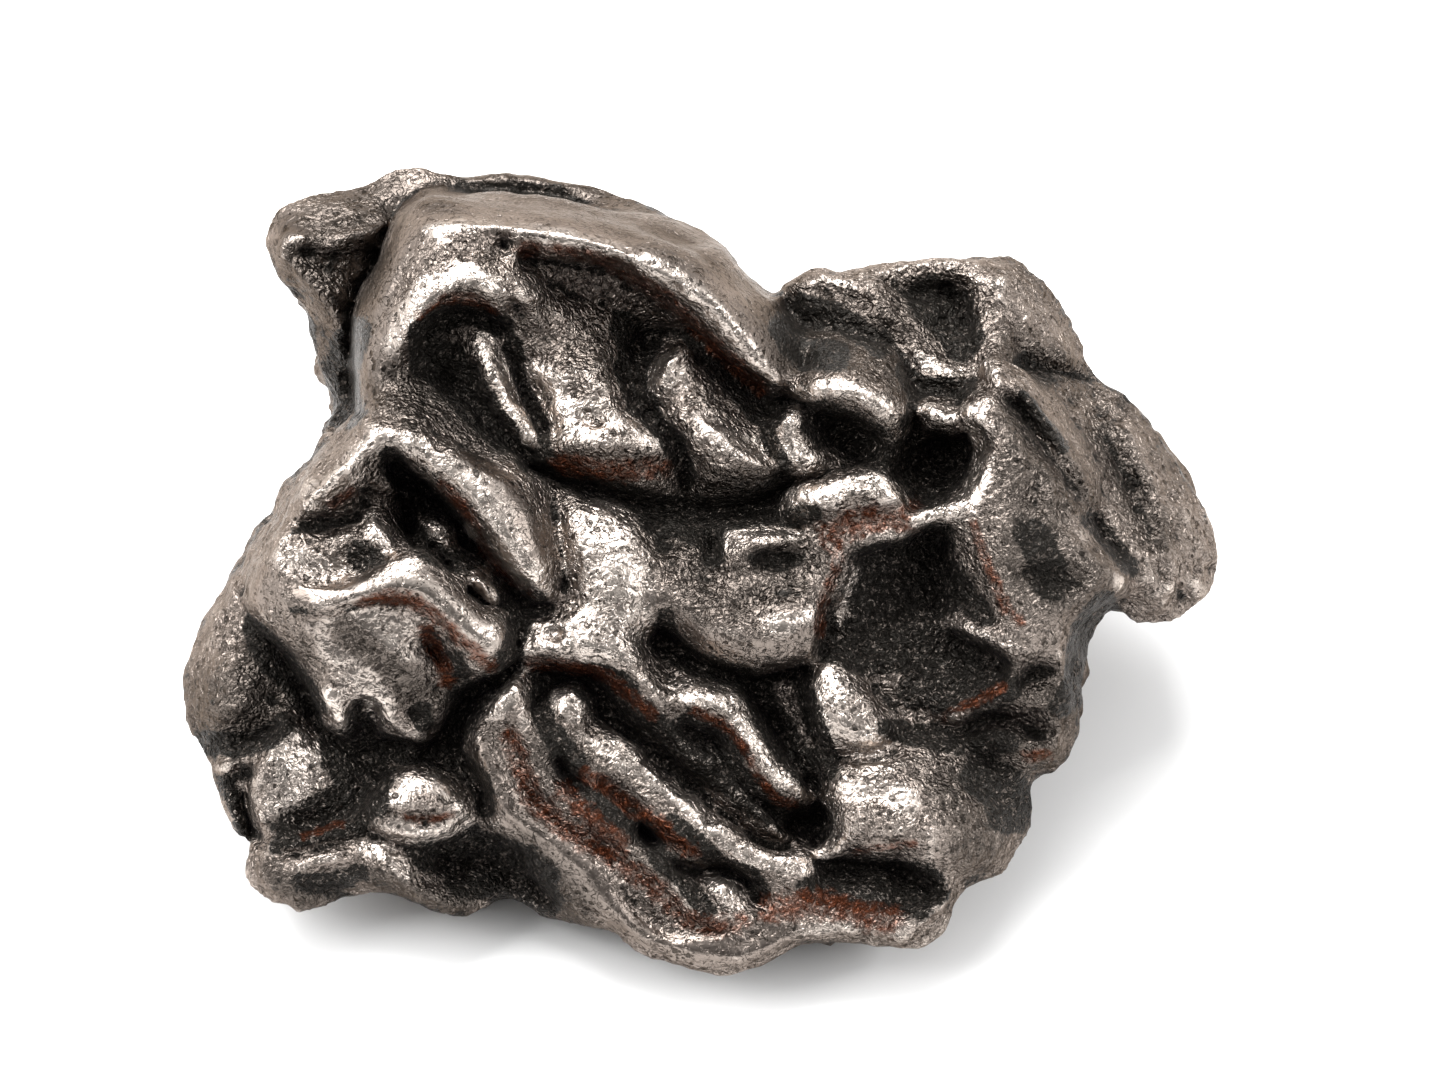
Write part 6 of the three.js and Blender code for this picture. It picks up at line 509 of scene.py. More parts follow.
# The knobs, hollow and slab behind the right block.
REAR_RIGHT = {
    "knob ridge": [
        (2, 8.65, -4.3), (2.6, 8.9, -3.9), (3.4, 8.85, -3.7), (4.2, 8.6, -3.5), (5, 8.25, -3.3),
        (5.6, 7.7, -3.1), (6.15, 7.2, -3), (6.45, 6.6, -2.9), (6.8, 6.1, -2.6), (7.4, 5.75, -2.4),
        (8, 5.6, -2.4), (8.4, 5.65, -2.4)],
    "knob inner": [(2.6, 8.3, -3.9), (3.4, 8.1, -3.7), (4.4, 7.7, -3.5), (5.2, 7.2, -3.3), (5.8, 6.8, -3.2)],
    "knob valley": [(3.2, 8.55, -3.95), (4.1, 8.3, -3.8), (4.9, 7.95, -3.6)],
    "knob foot": [
        (2, 8.1, -4.6), (2.5, 7.5, -4.2), (3.3, 7.2, -3.8), (4.3, 6.95, -3.5), (5.3, 6.6, -3.3),
        (6, 6.15, -3.2), (6.3, 5.5, -3.1), (6.5, 5, -3)],
    "knob bumps": [
        (2.7, 7.9, -3.6), (3.2, 7.6, -3.8), (3.7, 7.75, -3.4), (4.3, 7.3, -3.7), (4.9, 7.35, -3.2)],
    "back hollow": [
        (5.8, 8.6, -4.5), (6.4, 8.2, -4.9), (7, 8.5, -5), (7.8, 8.3, -5.1), (8.1, 7.9, -5),
        (8.1, 7.2, -4.8)],
    "back hollow low": [(6.8, 7.3, -4), (7.4, 7.3, -4.5), (7.5, 6.6, -3.8), (8, 6.4, -3.7)],
    "back hollow streak": [(7.2, 8.9, -4.4), (7, 8.1, -4.5), (7.1, 7.4, -4.1)],
    "back rim": [
        (4.2, 9, -4.5), (5, 9.1, -4.4), (6, 9.15, -4.3), (7, 9.3, -4.2), (8, 9.25, -4.1), (8.4, 9, -4.1)],
    "back post": [(8.6, 9.2, -4), (8.55, 8.2, -3.8), (8.5, 7.2, -3.5), (8.5, 6.3, -3), (8.6, 5.9, -2.5)],
    "post face": [(9.3, 9.1, -4), (9.4, 8.2, -3.7), (9.3, 7.2, -3.3), (9.2, 6.4, -2.7)],
    "back shoulder": [(10.1, 8.8, -4.8), (10.6, 8, -4.9), (11, 7.2, -5), (11.6, 6.8, -5.6)],
    "shoulder low": [(9.8, 6.9, -3.9), (10.4, 6.6, -4.1), (11, 6.3, -4.4), (11.7, 6.3, -5)],
    "shoulder crevice": [
        (9.7, 6.2, -4), (10.3, 5.9, -4.8), (11, 5.7, -5.4), (11.7, 5.6, -6), (12.2, 5.3, -6.3)],
    "slab top": [(11.6, 5, -5), (12.3, 4.7, -5.2), (13.2, 4.4, -5.6)],
    "slab a": [(12.2, 3.6, -3.9), (12.7, 2.7, -3.7), (13.1, 1.8, -3.5), (13.5, 0.9, -3.3), (13.9, 0, -3.1)],
    "slab b": [(12.4, 4.2, -4.7), (13, 3.2, -4.6), (13.5, 2.2, -4.4), (13.95, 1.2, -4.2), (14.3, 0.3, -3.9)],
    "slab c": [
        (12.8, 4.6, -4.8), (13.5, 3.6, -4.6), (14.1, 2.6, -4.4), (14.6, 1.5, -4.2), (14.9, 0.5, -4),
        (15.1, -0.4, -3.7)],
    "slab d": [(13.6, 4.3, -5.4), (14.3, 3.2, -5.3), (14.9, 2.1, -5.1), (15.4, 1, -4.9), (15.6, 0, -4.7)],
    "slab low": [
        (13.9, -1.3, -2.9), (14.5, -1.2, -3), (15, -1.5, -3.3), (14.4, -2.1, -3.8), (13.7, -2, -3.6)],
    "slab low crevice": [(15.25, -1.6, -4.6), (15.3, -2, -5)],
    "slab knob": [(15.7, -1.5, -4.2), (16, -1.3, -4.6)],
}

# The left block, which stands nearest: two arms, a slot, a long lip and a pitted face.
LEFT_BLOCK = {
    "arm right": [
        (-11.3, 3.5, 1.9), (-10.7, 3.45, 2.2), (-10.1, 3.15, 2.4), (-9.5, 2.75, 2.5), (-8.9, 2.3, 2.6),
        (-8.4, 1.8, 2.6), (-8, 1.2, 2.6), (-7.6, 0.4, 2.6), (-7.2, -0.2, 2.5), (-6.7, -0.8, 2.3),
        (-6.15, -1.3, 2)],
    "arm right shoulder": [
        (-9.3, 3.1, 2), (-8.4, 2.75, 2.15), (-7.6, 2.3, 2.2), (-7, 1.6, 2.25), (-6.6, 0.8, 2.3),
        (-6.3, 0, 2.25), (-6, -0.8, 2)],
    "arm right edge": [
        (-9.6, 3.6, 1), (-8.6, 3.2, 0.9), (-7.6, 2.95, 0.9), (-6.9, 2.5, 1), (-6.35, 1.95, 1.1),
        (-6.05, 1.2, 1.2), (-5.85, 0.3, 1.3), (-5.65, -0.6, 1.2), (-5.55, -1.3, 1), (-5.8, -1.75, 0.9)],
    "arm right foot": [
        (-6.15, 2.2, -0.9), (-5.8, 1.4, -0.5), (-5.6, 0.4, -0.1), (-5.4, -0.6, 0), (-5.35, -1.5, -0.2)],
    "arm right low": [
        (-11.2, 3.15, 1.6), (-10.6, 2.75, 1.7), (-10, 2.35, 1.8), (-9.3, 1.85, 1.8), (-8.8, 1.25, 1.8),
        (-8.3, 0.6, 1.7), (-7.8, 0, 1.6), (-7.2, -0.7, 1.5), (-6.7, -1.3, 1.3), (-6.2, -1.75, 1.1)],
    "slot right wall": [
        (-11, 2.8, -0.6), (-10.4, 2.2, -1.4), (-9.7, 1.6, -1.8), (-9.2, 1, -1.9), (-8.7, 0.3, -1.9),
        (-8.2, -0.3, -1.8), (-7.6, -0.9, -1.5), (-7, -1.5, -1.2), (-6.5, -2, -1)],
    "slot left wall": [
        (-11.1, 2.5, -0.6), (-10.7, 1.3, -1.6), (-10.6, 0.6, -1.8), (-10.4, 0, -1.6), (-9.6, -0.3, -1.4),
        (-9, -0.9, -1)],
    "slot lump": [(-10.05, 0.75, -0.1), (-9.7, 0.5, 0.3), (-9.3, 0.25, 0.3), (-9, 0, 0)],
    "slot bead": [(-8.6, 0.5, 0.3), (-8.4, 0.25, 0.3)],
    "slot cone": [(-8.25, -0.85, 1.1), (-8.05, -1.15, 1.7), (-7.8, -1.6, 1.6), (-7.5, -1.9, 1)],
    "slot cone foot": [(-8.5, -1.6, -0.6), (-7.9, -2.05, -0.2), (-7.2, -2.1, -0.3)],
    "slot tail": [(-7.2, -2.5, 0.1), (-6.9, -3, -0.2), (-6.9, -3.5, -0.6)],
    "arm left": [
        (-11.5, 3.5, 2), (-11.9, 3.1, 2.4), (-12.3, 2.8, 2.15), (-12.7, 2.45, 2.5), (-13.2, 2.1, 2.25),
        (-13.6, 1.65, 2.4), (-14, 1.2, 1.9)],
    "arm peak": [(-11.9, 3.75, 1.7), (-11.3, 3.75, 2), (-10.8, 3.6, 2.1)],
    "arm left low": [
        (-11.7, 2.5, 1.5), (-12.1, 2, 1.6), (-12.7, 1.45, 1.5), (-13.4, 1.05, 1.4), (-14.1, 0.75, 1.3)],
    "arm left foot": [
        (-11.9, 1.6, 0.1), (-12.1, 1, 0.2), (-12.8, 0.7, 0.3), (-13.5, 0.65, 0.5), (-14.2, 0.55, 0.8)],
    "tongue": [(-11.9, 2.3, 1.3), (-11.3, 2.2, 1.1), (-10.9, 1.85, 0.9), (-10.55, 1.5, 0.5)],
    "left edge": [
        (-12.25, 4.2, 0), (-12.6, 3.8, 0.3), (-13.1, 3.2, 0.5), (-13.7, 2.5, 0.6), (-14.1, 1.9, 0.7),
        (-14.6, 0.9, 0.7), (-15.15, 0, 0.8), (-15.6, -0.8, 0.8), (-15.8, -1.5, 0.8), (-15.7, -2.1, 0.8),
        (-15, -2.9, 0.8), (-14.3, -3.6, 0.7), (-13.85, -4.4, 0.5), (-13.45, -5.2, 0.3), (-13.15, -5.9, 0.2),
        (-12.8, -6.3, 0)],
    "left edge foot": [
        (-12.6, 4.1, -4.6), (-13, 3.7, -4), (-13.4, 3.2, -3.8), (-13.9, 2.6, -3.7), (-14.4, 1.9, -3.5),
        (-14.9, 1, -3.2), (-15.4, 0.1, -3), (-15.85, -0.8, -2.8), (-16.05, -1.6, -2.6), (-15.95, -2.3, -2.3),
        (-15.2, -3.1, -2.2), (-14.5, -3.9, -2.2), (-14.1, -4.8, -2.3), (-13.7, -5.6, -2.4),
        (-13.3, -6.3, -2.2), (-12.8, -6.6, -1.9)],
    "plate body": [
        (-14.2, -0.4, 1.65), (-13.6, -0.3, 1.6), (-13, -0.25, 1.5), (-12.4, -0.3, 1.3), (-12.6, -0.9, 1.4),
        (-11.8, -0.8, 1.1)],
    "plate top edge": [(-14.3, 0.3, 1.5), (-13.5, 0.25, 1.5), (-12.8, 0.4, 1.4), (-12.2, 0.65, 1.2)],
    "plate left rim": [(-14.7, 0.3, 1.7), (-14.8, -0.3, 1.8), (-14.75, -0.9, 1.85), (-14.4, -1.35, 1.9)],
    "plate right rim": [(-12, 1.15, 0.7), (-11.6, 0.65, 1.5), (-11.3, 0.15, 1.7), (-11, -0.3, 1.4)],
    "long ridge": [
        (-15.1, -1.5, 1.5), (-14.5, -1.75, 2), (-13.9, -1.8, 2.25), (-13.2, -1.75, 2.35),
        (-12.5, -1.5, 2.45), (-11.8, -1.15, 2.6), (-11.2, -0.85, 2.7), (-10.6, -0.8, 2.75),
        (-10, -0.95, 2.75), (-9.5, -1.3, 2.7), (-9, -1.8, 2.65), (-8.5, -2.25, 2.55), (-8, -2.7, 2.45),
        (-7.5, -3.2, 2.2), (-7.25, -3.6, 1.9)],
    "long ridge back": [
        (-15, -1, 1.5), (-14, -1.4, 2.1), (-13.2, -1.4, 2.2), (-12.4, -1.15, 2.2), (-11.7, -0.75, 2.3),
        (-11, -0.45, 2.5), (-10.3, -0.4, 2.5), (-9.6, -0.75, 2.4), (-9.1, -1.3, 2.4), (-8.6, -1.8, 2.3),
        (-8, -2.25, 2.2), (-7.4, -2.8, 2), (-7.05, -3.4, 1.7)],
    "long ridge front": [
        (-13.6, -2.15, 2.5), (-12.8, -2, 2.65), (-12, -1.75, 2.8), (-11.3, -1.45, 2.9), (-10.6, -1.35, 3),
        (-9.9, -1.6, 2.95), (-9.3, -2.15, 2.85), (-8.8, -2.65, 2.75), (-8.2, -3.15, 2.6), (-7.7, -3.6, 2.3)],
    "long ridge foot": [
        (-13.9, -1.15, 1.6), (-13.1, -1.1, 1.5), (-12.4, -0.8, 1.3), (-11.6, -0.45, 1.3), (-10.9, -0.1, 1.4),
        (-10.2, -0.05, 1.3), (-9.4, -0.45, 1.2), (-8.8, -1, 1.2), (-8.3, -1.5, 1.2), (-7.8, -1.95, 1.1),
        (-7.2, -2.5, 1)],
    "long ridge low": [
        (-15, -2.4, 1.5), (-14.2, -2.5, 1.8), (-13.4, -2.5, 1.9), (-12.7, -2.35, 1.9), (-12, -2.1, 1.9),
        (-11.3, -1.95, 2), (-10.7, -2.1, 1.9), (-10, -2.45, 1.8), (-9.5, -2.9, 1.7), (-9, -3.5, 1.6),
        (-8.5, -4.05, 1.5), (-8, -4.35, 1.4), (-7.5, -4.25, 1.4), (-7.15, -3.85, 1.5)],
    "front face a": [(-14, -3.1, 1.4), (-12.9, -3.1, 1.6), (-11.8, -2.8, 1.7), (-11, -2.8, 1.5)],
    "front face b": [(-13.3, -4.1, 1.1), (-12.3, -4.2, 1.3), (-11.2, -4, 1.4), (-10.4, -4, 1.2)],
    "front pit": [(-9.9, -3.3, 0.6), (-9.6, -3.6, 0.3), (-9.3, -4.1, 0.4)],
    "front low": [(-9.6, -4.9, 0.4), (-9.1, -4.7, 0.2), (-8.7, -4.6, 0.4)],
    "leg one": [(-13.4, -4.8, 1.1), (-13.1, -5.4, 1.1), (-12.85, -5.9, 1), (-12.65, -6.2, 0.7)],
    "leg two": [(-12.5, -4.9, 1), (-12.1, -4.95, 0.9), (-11.8, -5, 0.9)],
    "leg gap": [
        (-12.25, -5.6, -0.2), (-12.1, -5.3, 0.1), (-11.8, -5.6, -0.4), (-11.7, -6.2, -1.1),
        (-12.2, -6.4, -1.3)],
    "leg three": [
        (-11.6, -5, 0.8), (-11.25, -5.6, 0.7), (-10.8, -6.15, 0.5), (-10.3, -6.5, 0.4), (-10, -6.6, 0.2)],
    "leg three pit": [(-10.6, -5.6, -0.1), (-10.3, -5.9, -0.3)],
    "leg three right": [(-10.4, -5, 0.6), (-9.8, -5.2, 0.5), (-9.3, -5.5, 0.3), (-9.7, -6.1, 0.1)],
    "middle crevice": [
        (-6.9, -4, -0.9), (-7.4, -4.5, -1.2), (-8.2, -4.8, -1.4), (-8.8, -5.4, -1.6), (-9.2, -6.1, -1.7),
        (-9.6, -6.8, -1.8), (-10.2, -7, -1.7), (-11, -6.6, -1.6), (-11.7, -6.8, -1.6)],
    "middle crevice right": [
        (-7.9, -5.2, -0.8), (-8.5, -5.9, -1.1), (-8.8, -6.6, -1.4), (-8.6, -7.5, -1.6), (-8.1, -8.3, -1.4),
        (-8, -9, -1.2)],
}

# The left lobe and the wedge plate under it.
LEFT_LOBE = {
    "left rim": [
        (-14.9, 1.2, -4.3), (-15.6, 0.4, -4.2), (-16, -0.4, -4.1), (-16.6, -1.3, -4), (-17.1, -2.2, -3.9),
        (-17.55, -3.3, -3.7), (-17.9, -4.4, -3.5), (-18, -5.2, -3.5), (-17.8, -6, -3.5),
        (-17.4, -6.6, -3.5)],
    "left strip": [(-13.4, 3.8, -4.3), (-14.2, 2.4, -3.9), (-14.9, 0.8, -3.3)],
    "left strip b": [(-15.7, 0, -3.2), (-16.3, -1.2, -3), (-16.9, -2.4, -2.9), (-17.2, -3.4, -2.6)],
    "left lobe": [(-17.3, -4.6, -1.9), (-16.6, -4.3, -1.2), (-15.9, -4.3, -1.2), (-15.2, -4.4, -1.7)],
    "left lobe low": [(-17.4, -5.6, -1.9), (-16.6, -5.6, -1.2), (-15.7, -5.5, -1.3), (-14.9, -5.4, -1.9)],
    "left lobe foot": [(-17.2, -6.5, -2.6), (-16.4, -6.5, -2.5), (-15.6, -6.4, -2.4), (-14.9, -6.1, -2.3)],
    "left ledge": [(-17, -7.5, -2), (-16.6, -7.45, -1.5), (-16.1, -7.3, -1.3), (-15.5, -7.15, -1.4)],
    "left ledge low": [(-16.8, -8, -2.4), (-16.2, -7.8, -2.3), (-15.8, -7.7, -2.4)],
    "left nub": [(-16.5, -8.4, -1.8), (-16.4, -9, -1.6), (-16.1, -9.6, -1.9)],
    "left nub gap": [(-16, -8.3, -2.9), (-15.95, -9, -3), (-15.7, -9.7, -2.7), (-15.6, -10, -2.3)],
    "wedge edge": [
        (-14.6, -5.8, -0.6), (-14.85, -6.5, -0.5), (-15.2, -7.1, -0.5), (-15.5, -7.7, -0.55),
        (-15.75, -8.4, -0.7), (-15.6, -9.1, -0.8), (-15.4, -9.5, -1)],
    "wedge face": [
        (-14.3, -6.5, -0.6), (-14.4, -7.4, -0.7), (-14.6, -8.4, -0.85), (-13.8, -7, -0.9),
        (-13.7, -8.2, -1.2)],
    "wedge right": [
        (-13, -6.9, -1.3), (-12.4, -7.6, -1.5), (-12, -8.3, -1.6), (-12.6, -8.9, -1.5), (-13.4, -9.2, -1.6),
        (-14.3, -9.4, -1.7)],
    "wedge hollow": [(-13.5, -6.3, -1.6), (-12.8, -6.9, -1.8), (-11.8, -7.2, -1.9), (-11.4, -7.7, -1.8)],
}

# The roll, the toe, the nut and the recess at the lower left.
LOWER_LEFT = {
    "roll top": [
        (-15.6, -10.3, -1.2), (-15, -10.1, -0.8), (-14.3, -10.1, -0.6), (-13.7, -9.9, -0.6),
        (-13.1, -9.7, -0.6), (-12.4, -9.5, -0.6)],
    "roll seam": [(-14.7, -10.5, -0.9), (-14, -10.4, -1), (-13.2, -10.15, -1), (-12.3, -9.95, -1)],
    "roll low": [(-14.3, -10.85, -0.3), (-13.6, -10.65, -0.2), (-12.8, -10.5, -0.3), (-12.2, -10.45, -0.5)],
    "roll low edge": [(-13.9, -11, -0.8), (-13.2, -10.8, -0.8), (-12.3, -10.7, -0.9)],
    "roll hollow": [(-13.9, -11.45, -1.2), (-13.2, -11.4, -1.6), (-12.9, -11.7, -1.8)],
    "roll knob": [(-12.9, -11.1, -0.9), (-12.5, -11.3, -0.9)],
    "roll end": [(-15.4, -11, -0.9), (-15, -11.5, -0.9), (-14.3, -11.8, -1), (-13.5, -12, -1.4)],
    "toe": [
        (-11.9, -10.2, -0.5), (-11.4, -10.6, -0.2), (-10.9, -11.1, -0.2), (-10.3, -11.6, -0.4),
        (-9.5, -12, -0.7), (-8.8, -12.1, -1.1)],
    "toe left": [(-12.1, -11, -1), (-11.6, -11.4, -1)],
    "nut crest": [
        (-11.8, -8.9, 0.2), (-11.2, -8.6, 0.6), (-10.6, -8.7, 0.8), (-9.9, -8.75, 0.85), (-9.2, -8.8, 0.75),
        (-8.5, -8.6, 0.4)],
    "nut groove": [(-11.3, -9.1, 0.2), (-10.6, -9.2, 0.2), (-9.8, -9.25, 0.2), (-9, -9.15, 0.15)],
    "nut top": [
        (-11.3, -8.2, 0.1), (-10.8, -7.8, 0.1), (-10.2, -7.75, 0.1), (-9.6, -7.95, 0.2), (-9.1, -8.25, 0.2)],
    "nut low": [
        (-11.8, -9.35, 0.2), (-11.1, -9.6, 0.5), (-10.2, -9.75, 0.6), (-9.3, -9.55, 0.5), (-8.6, -9.1, 0.2)],
    "nut foot": [
        (-12.1, -9, -0.7), (-11.9, -9.65, -0.9), (-11, -10, -0.8), (-10, -10.2, -1.2), (-9, -9.95, -1.4),
        (-8.3, -9.4, -1.2)],
    "nut back": [
        (-11.9, -8.4, -1.3), (-11.4, -7.8, -1.5), (-10.6, -7.4, -1.6), (-9.6, -7.5, -1.5), (-8.8, -8, -1.2)],
    "recess": [
        (-9.6, -10.5, -2.2), (-8.8, -10.9, -2.5), (-7.8, -10.6, -2.5), (-7.2, -11.2, -2.6),
        (-6.4, -11.3, -2.4), (-5.8, -12, -2.2)],
    "recess top": [(-8.2, -9.7, -1.6), (-7.4, -10.1, -2), (-6.8, -10.5, -2)],
    "recess rim": [
        (-8.3, -12.1, -1.5), (-7.4, -11.6, -2.2), (-6.6, -12, -1.9), (-5.6, -12.4, -1.9),
        (-4.8, -12.65, -1.9)],
}

# The head of the lower plate and its small knob.
PLATE_HEAD = {
    "plate peak": [(-7.1, -4.5, 0.8), (-7.35, -5.1, 1), (-7.6, -5.5, 0.9), (-8.1, -5.9, 0.6)],
    "plate shoulder": [(-7.9, -6.3, 0.3), (-7.5, -6, 0.5), (-7, -5.9, 0.5)],
    "knob": [
        (-5.8, -5.5, 0.2), (-5.5, -5.05, 0.5), (-5, -4.95, 0.65), (-4.75, -5.3, 0.7), (-4.75, -5.8, 0.6),
        (-5.1, -6, 0.5)],
    "knob foot two": [
        (-6.3, -5.5, -0.7), (-6, -4.95, -0.9), (-5.4, -4.65, -1.2), (-4.7, -4.65, -1.2), (-4.3, -5.2, -1.2),
        (-4.3, -5.9, -0.9)],
}

# The rear wall: a rolled upper edge over scoops with ridges between them.
REAR_WALL = {
    "rear top roll": [
        (-14.6, 12.2, 10.2), (-13, 13.2, 10.6), (-11, 14, 10.9), (-8.8, 14.6, 10.9), (-6.6, 14.9, 10.8),
        (-4.6, 14.6, 10.7), (-3, 13.6, 10.6), (-1.6, 12.4, 10.4), (0, 11, 10.4)],
    "rear top groove": [
        (-12.6, 12.3, 9.2), (-10.6, 12.9, 9.4), (-8.4, 13.4, 9.1), (-6.2, 13.7, 8.9), (-4.2, 13.2, 9),
        (-2.4, 12, 9.1)],
    "rear left ridge": [
        (-13.9, 11.6, 8.6), (-13.2, 12.2, 7.2), (-12.6, 12.4, 5.6), (-12.4, 11.4, 4), (-12.2, 9.8, 2.6),
        (-11.4, 8, 1.4)],
    "rear left spur": [(-12.6, 12.4, 5.6), (-14, 9.4, 5.2), (-14.9, 6.6, 5.2)],
    "rear left scoop": [(-11.2, 12.2, 8), (-10.6, 11.9, 6.6), (-10.4, 11.4, 5), (-10.2, 10.2, 3.4)],
    "rear middle ridge": [
        (-8.6, 13.6, 8.2), (-8.2, 14.4, 6.8), (-7.4, 14.7, 5.2), (-6.6, 13.8, 3.6), (-6, 12.4, 2.2),
        (-5.4, 10.6, 0.9)],
    "rear middle spur": [(-7.4, 14.7, 5.2), (-9, 13.2, 4), (-9.4, 11.4, 2.6)],
    "rear middle scoop": [(-5.6, 13.2, 8), (-4.6, 12.8, 6.6), (-3.8, 12, 5), (-3.6, 10.8, 3.4)],
    "rear middle nub": [(-2.6, 12.4, 3.6), (-1.8, 12.6, 4.4), (-0.8, 12.3, 4)],
    "rear shelf ridge": [
        (-3.2, 13.2, 8.2), (-2, 13.4, 7.2), (-0.6, 13, 6.4), (0.6, 12.6, 5.4), (1.8, 12.8, 4.2),
        (2.4, 11.8, 2.8), (2.4, 10.2, 1.4)],
    "rear high scoop": [(-0.8, 11.4, 8.8), (0.4, 11.2, 8)],
    "rear crevice": [(1.9, 9.6, 9.4), (2.6, 9.7, 8.2), (3.2, 10, 6.8), (3.9, 10.2, 5.4), (4.4, 9.8, 4)],
    "rear far roll": [
        (2.9, 10.6, 10.6), (4.6, 11.4, 10.4), (6.4, 11.8, 10.2), (8.2, 12, 10), (9.8, 11.4, 9.6),
        (10.9, 10.4, 8.8), (11.6, 9.6, 7.6)],
    "rear far scoop": [(5.6, 10.7, 8.8), (7.2, 10.6, 8.2), (8.6, 10.2, 7.4)],
    "rear far ridge": [(5.2, 11.8, 7.2), (6, 12.2, 5.8), (6.8, 11.6, 4.4), (7, 10.4, 3), (6.6, 9, 1.8)],
    "right rear pit": [(8.4, 10, 5.4), (8.8, 9.4, 4.2)],
    "right rear ridge": [(11.4, 9.2, 6.4), (11, 9.8, 5), (10.4, 9.2, 3.6), (9.8, 7.8, 2.6), (9.2, 6.2, 1.9)],
}

# The overhanging right side.
UNDER_RIGHT = {
    "slab under roll": [
        (13.4, 8.4, 6.6), (14.4, 7.4, 5.4), (15.2, 6, 4.6), (15.7, 4.4, 4.4), (15.6, 2.8, 4.5),
        (14.9, 1.4, 4.8)],
    "slab under groove": [(12.6, 7.8, 5.6), (13.1, 6.4, 4.6), (13.4, 4.8, 4.3), (13.2, 3.2, 4.4)],
    "slab under lump": [(12, 6.4, 3.6), (12.3, 4.8, 3), (12.1, 3.2, 3.2)],
    "right flank ridge": [
        (11.9, 1.6, 3.6), (11.6, 0, 3.3), (11.2, -1.6, 3.1), (10.8, -3.2, 2.9), (10.4, -4.8, 2.9)],
    "right under groove": [
        (10.4, 4.2, 2.4), (10.2, 2.4, 2.2), (9.8, 0.6, 2.2), (9.4, -1.2, 2), (9.2, -3, 2.1)],
    "right under spur": [(8.6, 4.6, 1.3), (8.2, 2.6, 1), (8, 0.6, 1.2)],
    "right front hollow": [(8.6, -6.4, 2.3), (8.4, -5, 1.7)],
}

# The three worn flats that it rests on.
FEET = {
    "right foot": [
        (3, -6.4, -0.35), (4.6, -6.9, -0.4), (6.2, -6, -0.4), (6.8, -4.4, -0.4), (5.6, -3.4, -0.4),
        (4, -4.2, -0.4), (3, -5.4, -0.35)],
    "right foot sole": [(4.6, -5.4, -0.4), (5.6, -4.8, -0.4)],
    "left foot": [
        (-9.6, -4.4, -0.35), (-8.6, -5.6, -0.4), (-6.8, -5.8, -0.4), (-5.6, -4.6, -0.4), (-6, -3, -0.4),
        (-7.6, -2, -0.4), (-9.2, -2.8, -0.4)],
    "left foot sole": [(-7.6, -4.4, -0.4), (-6.9, -3.8, -0.4)],
    "rear foot": [
        (-4.4, 7.4, -0.35), (-3.8, 8.8, -0.4), (-2, 9.6, -0.4), (0, 9.2, -0.4), (1, 7.8, -0.4),
        (0.2, 6.4, -0.4), (-1.8, 5.8, -0.4), (-3.6, 6.2, -0.4)],
    "rear foot sole": [(-2.4, 7.6, -0.4), (-0.8, 7.8, -0.4)],
}

# The edges that overhang at the front and on the left.
UNDER_EDGES = {
    "front rim roll": [
        (-2.6, -10.2, 1.1), (-0.8, -10.6, 1.1), (1.2, -10.6, 1.1), (3.4, -10.2, 1.1), (5.4, -10.2, 1.1),
        (6.8, -9.4, 1.3)],
    "front hollow": [(-2.2, -8.4, 1.9), (-0.4, -8.6, 1.7), (1.4, -8.6, 1.6)],
    "left front roll": [
        (-8.6, -8.6, 1.5), (-10.4, -8.2, 1.8), (-12.2, -8, 1.9), (-14.2, -7.9, 1.9), (-15.4, -6.8, 2.2)],
    "left under roll": [
        (-16.4, -4.8, 3), (-17, -3, 3.4), (-17, -1, 3.7), (-16.4, 0.8, 4.1), (-15.6, 2.6, 4.6),
        (-14.9, 4.4, 5), (-14.9, 6.6, 5.2)],
    "left under groove": [
        (-14.6, -5.4, 2.6), (-14.8, -3.4, 3.1), (-14.6, -1.4, 3.2), (-14, 0.6, 3.4), (-13.4, 2.6, 3.9),
        (-13.2, 4.6, 4.1)],
    "left under ridge": [
        (-12.2, -5.6, 1.3), (-12.4, -3.6, 1.4), (-12.2, -1.6, 1.5), (-11.6, 0.6, 1.5), (-11.4, 2.8, 1.6),
        (-11.2, 5, 1.6), (-11.4, 8, 1.4)],
}

# The hollows and ridges of the underside.
BELLY = {
    "belly scoop left": [(-9.6, 0.6, 2.6), (-8.8, 2.4, 3), (-7.8, 4.2, 2.8)],
    "belly ridge left": [
        (-6.4, -1.2, 0.5), (-5.8, 0.8, 0.9), (-5.2, 2.8, 0.8), (-4.4, 4.8, 0.5), (-3.8, 6.2, 0)],
    "belly scoop middle": [(-3.4, -4.6, 2.4), (-2.6, -2.6, 2.9), (-2.2, -0.6, 2.8), (-2.4, 1.4, 2.2)],
    "belly front ridge": [(-3.9, -6.8, 0.9), (-1.8, -6.2, 0.7), (0.2, -6.4, 0.8), (1.8, -6.2, 0.4)],
    "belly ridge right": [(3.6, -2.8, 0.3), (3.4, -0.8, 0.8), (2.8, 1.2, 0.7), (2, 3.2, 0.7), (1, 5.2, 0.4)],
    "belly scoop right": [(0.8, -4.2, 2.2), (0.9, -2.2, 2.6), (0.6, -0.2, 2.4)],
    "belly scoop far": [(5.8, 0.2, 2.3), (5.6, 2.2, 2.7), (4.8, 4.4, 2.4)],
    "belly pit": [(3.4, 6.6, 2), (4.4, 7.6, 2.3)],
}

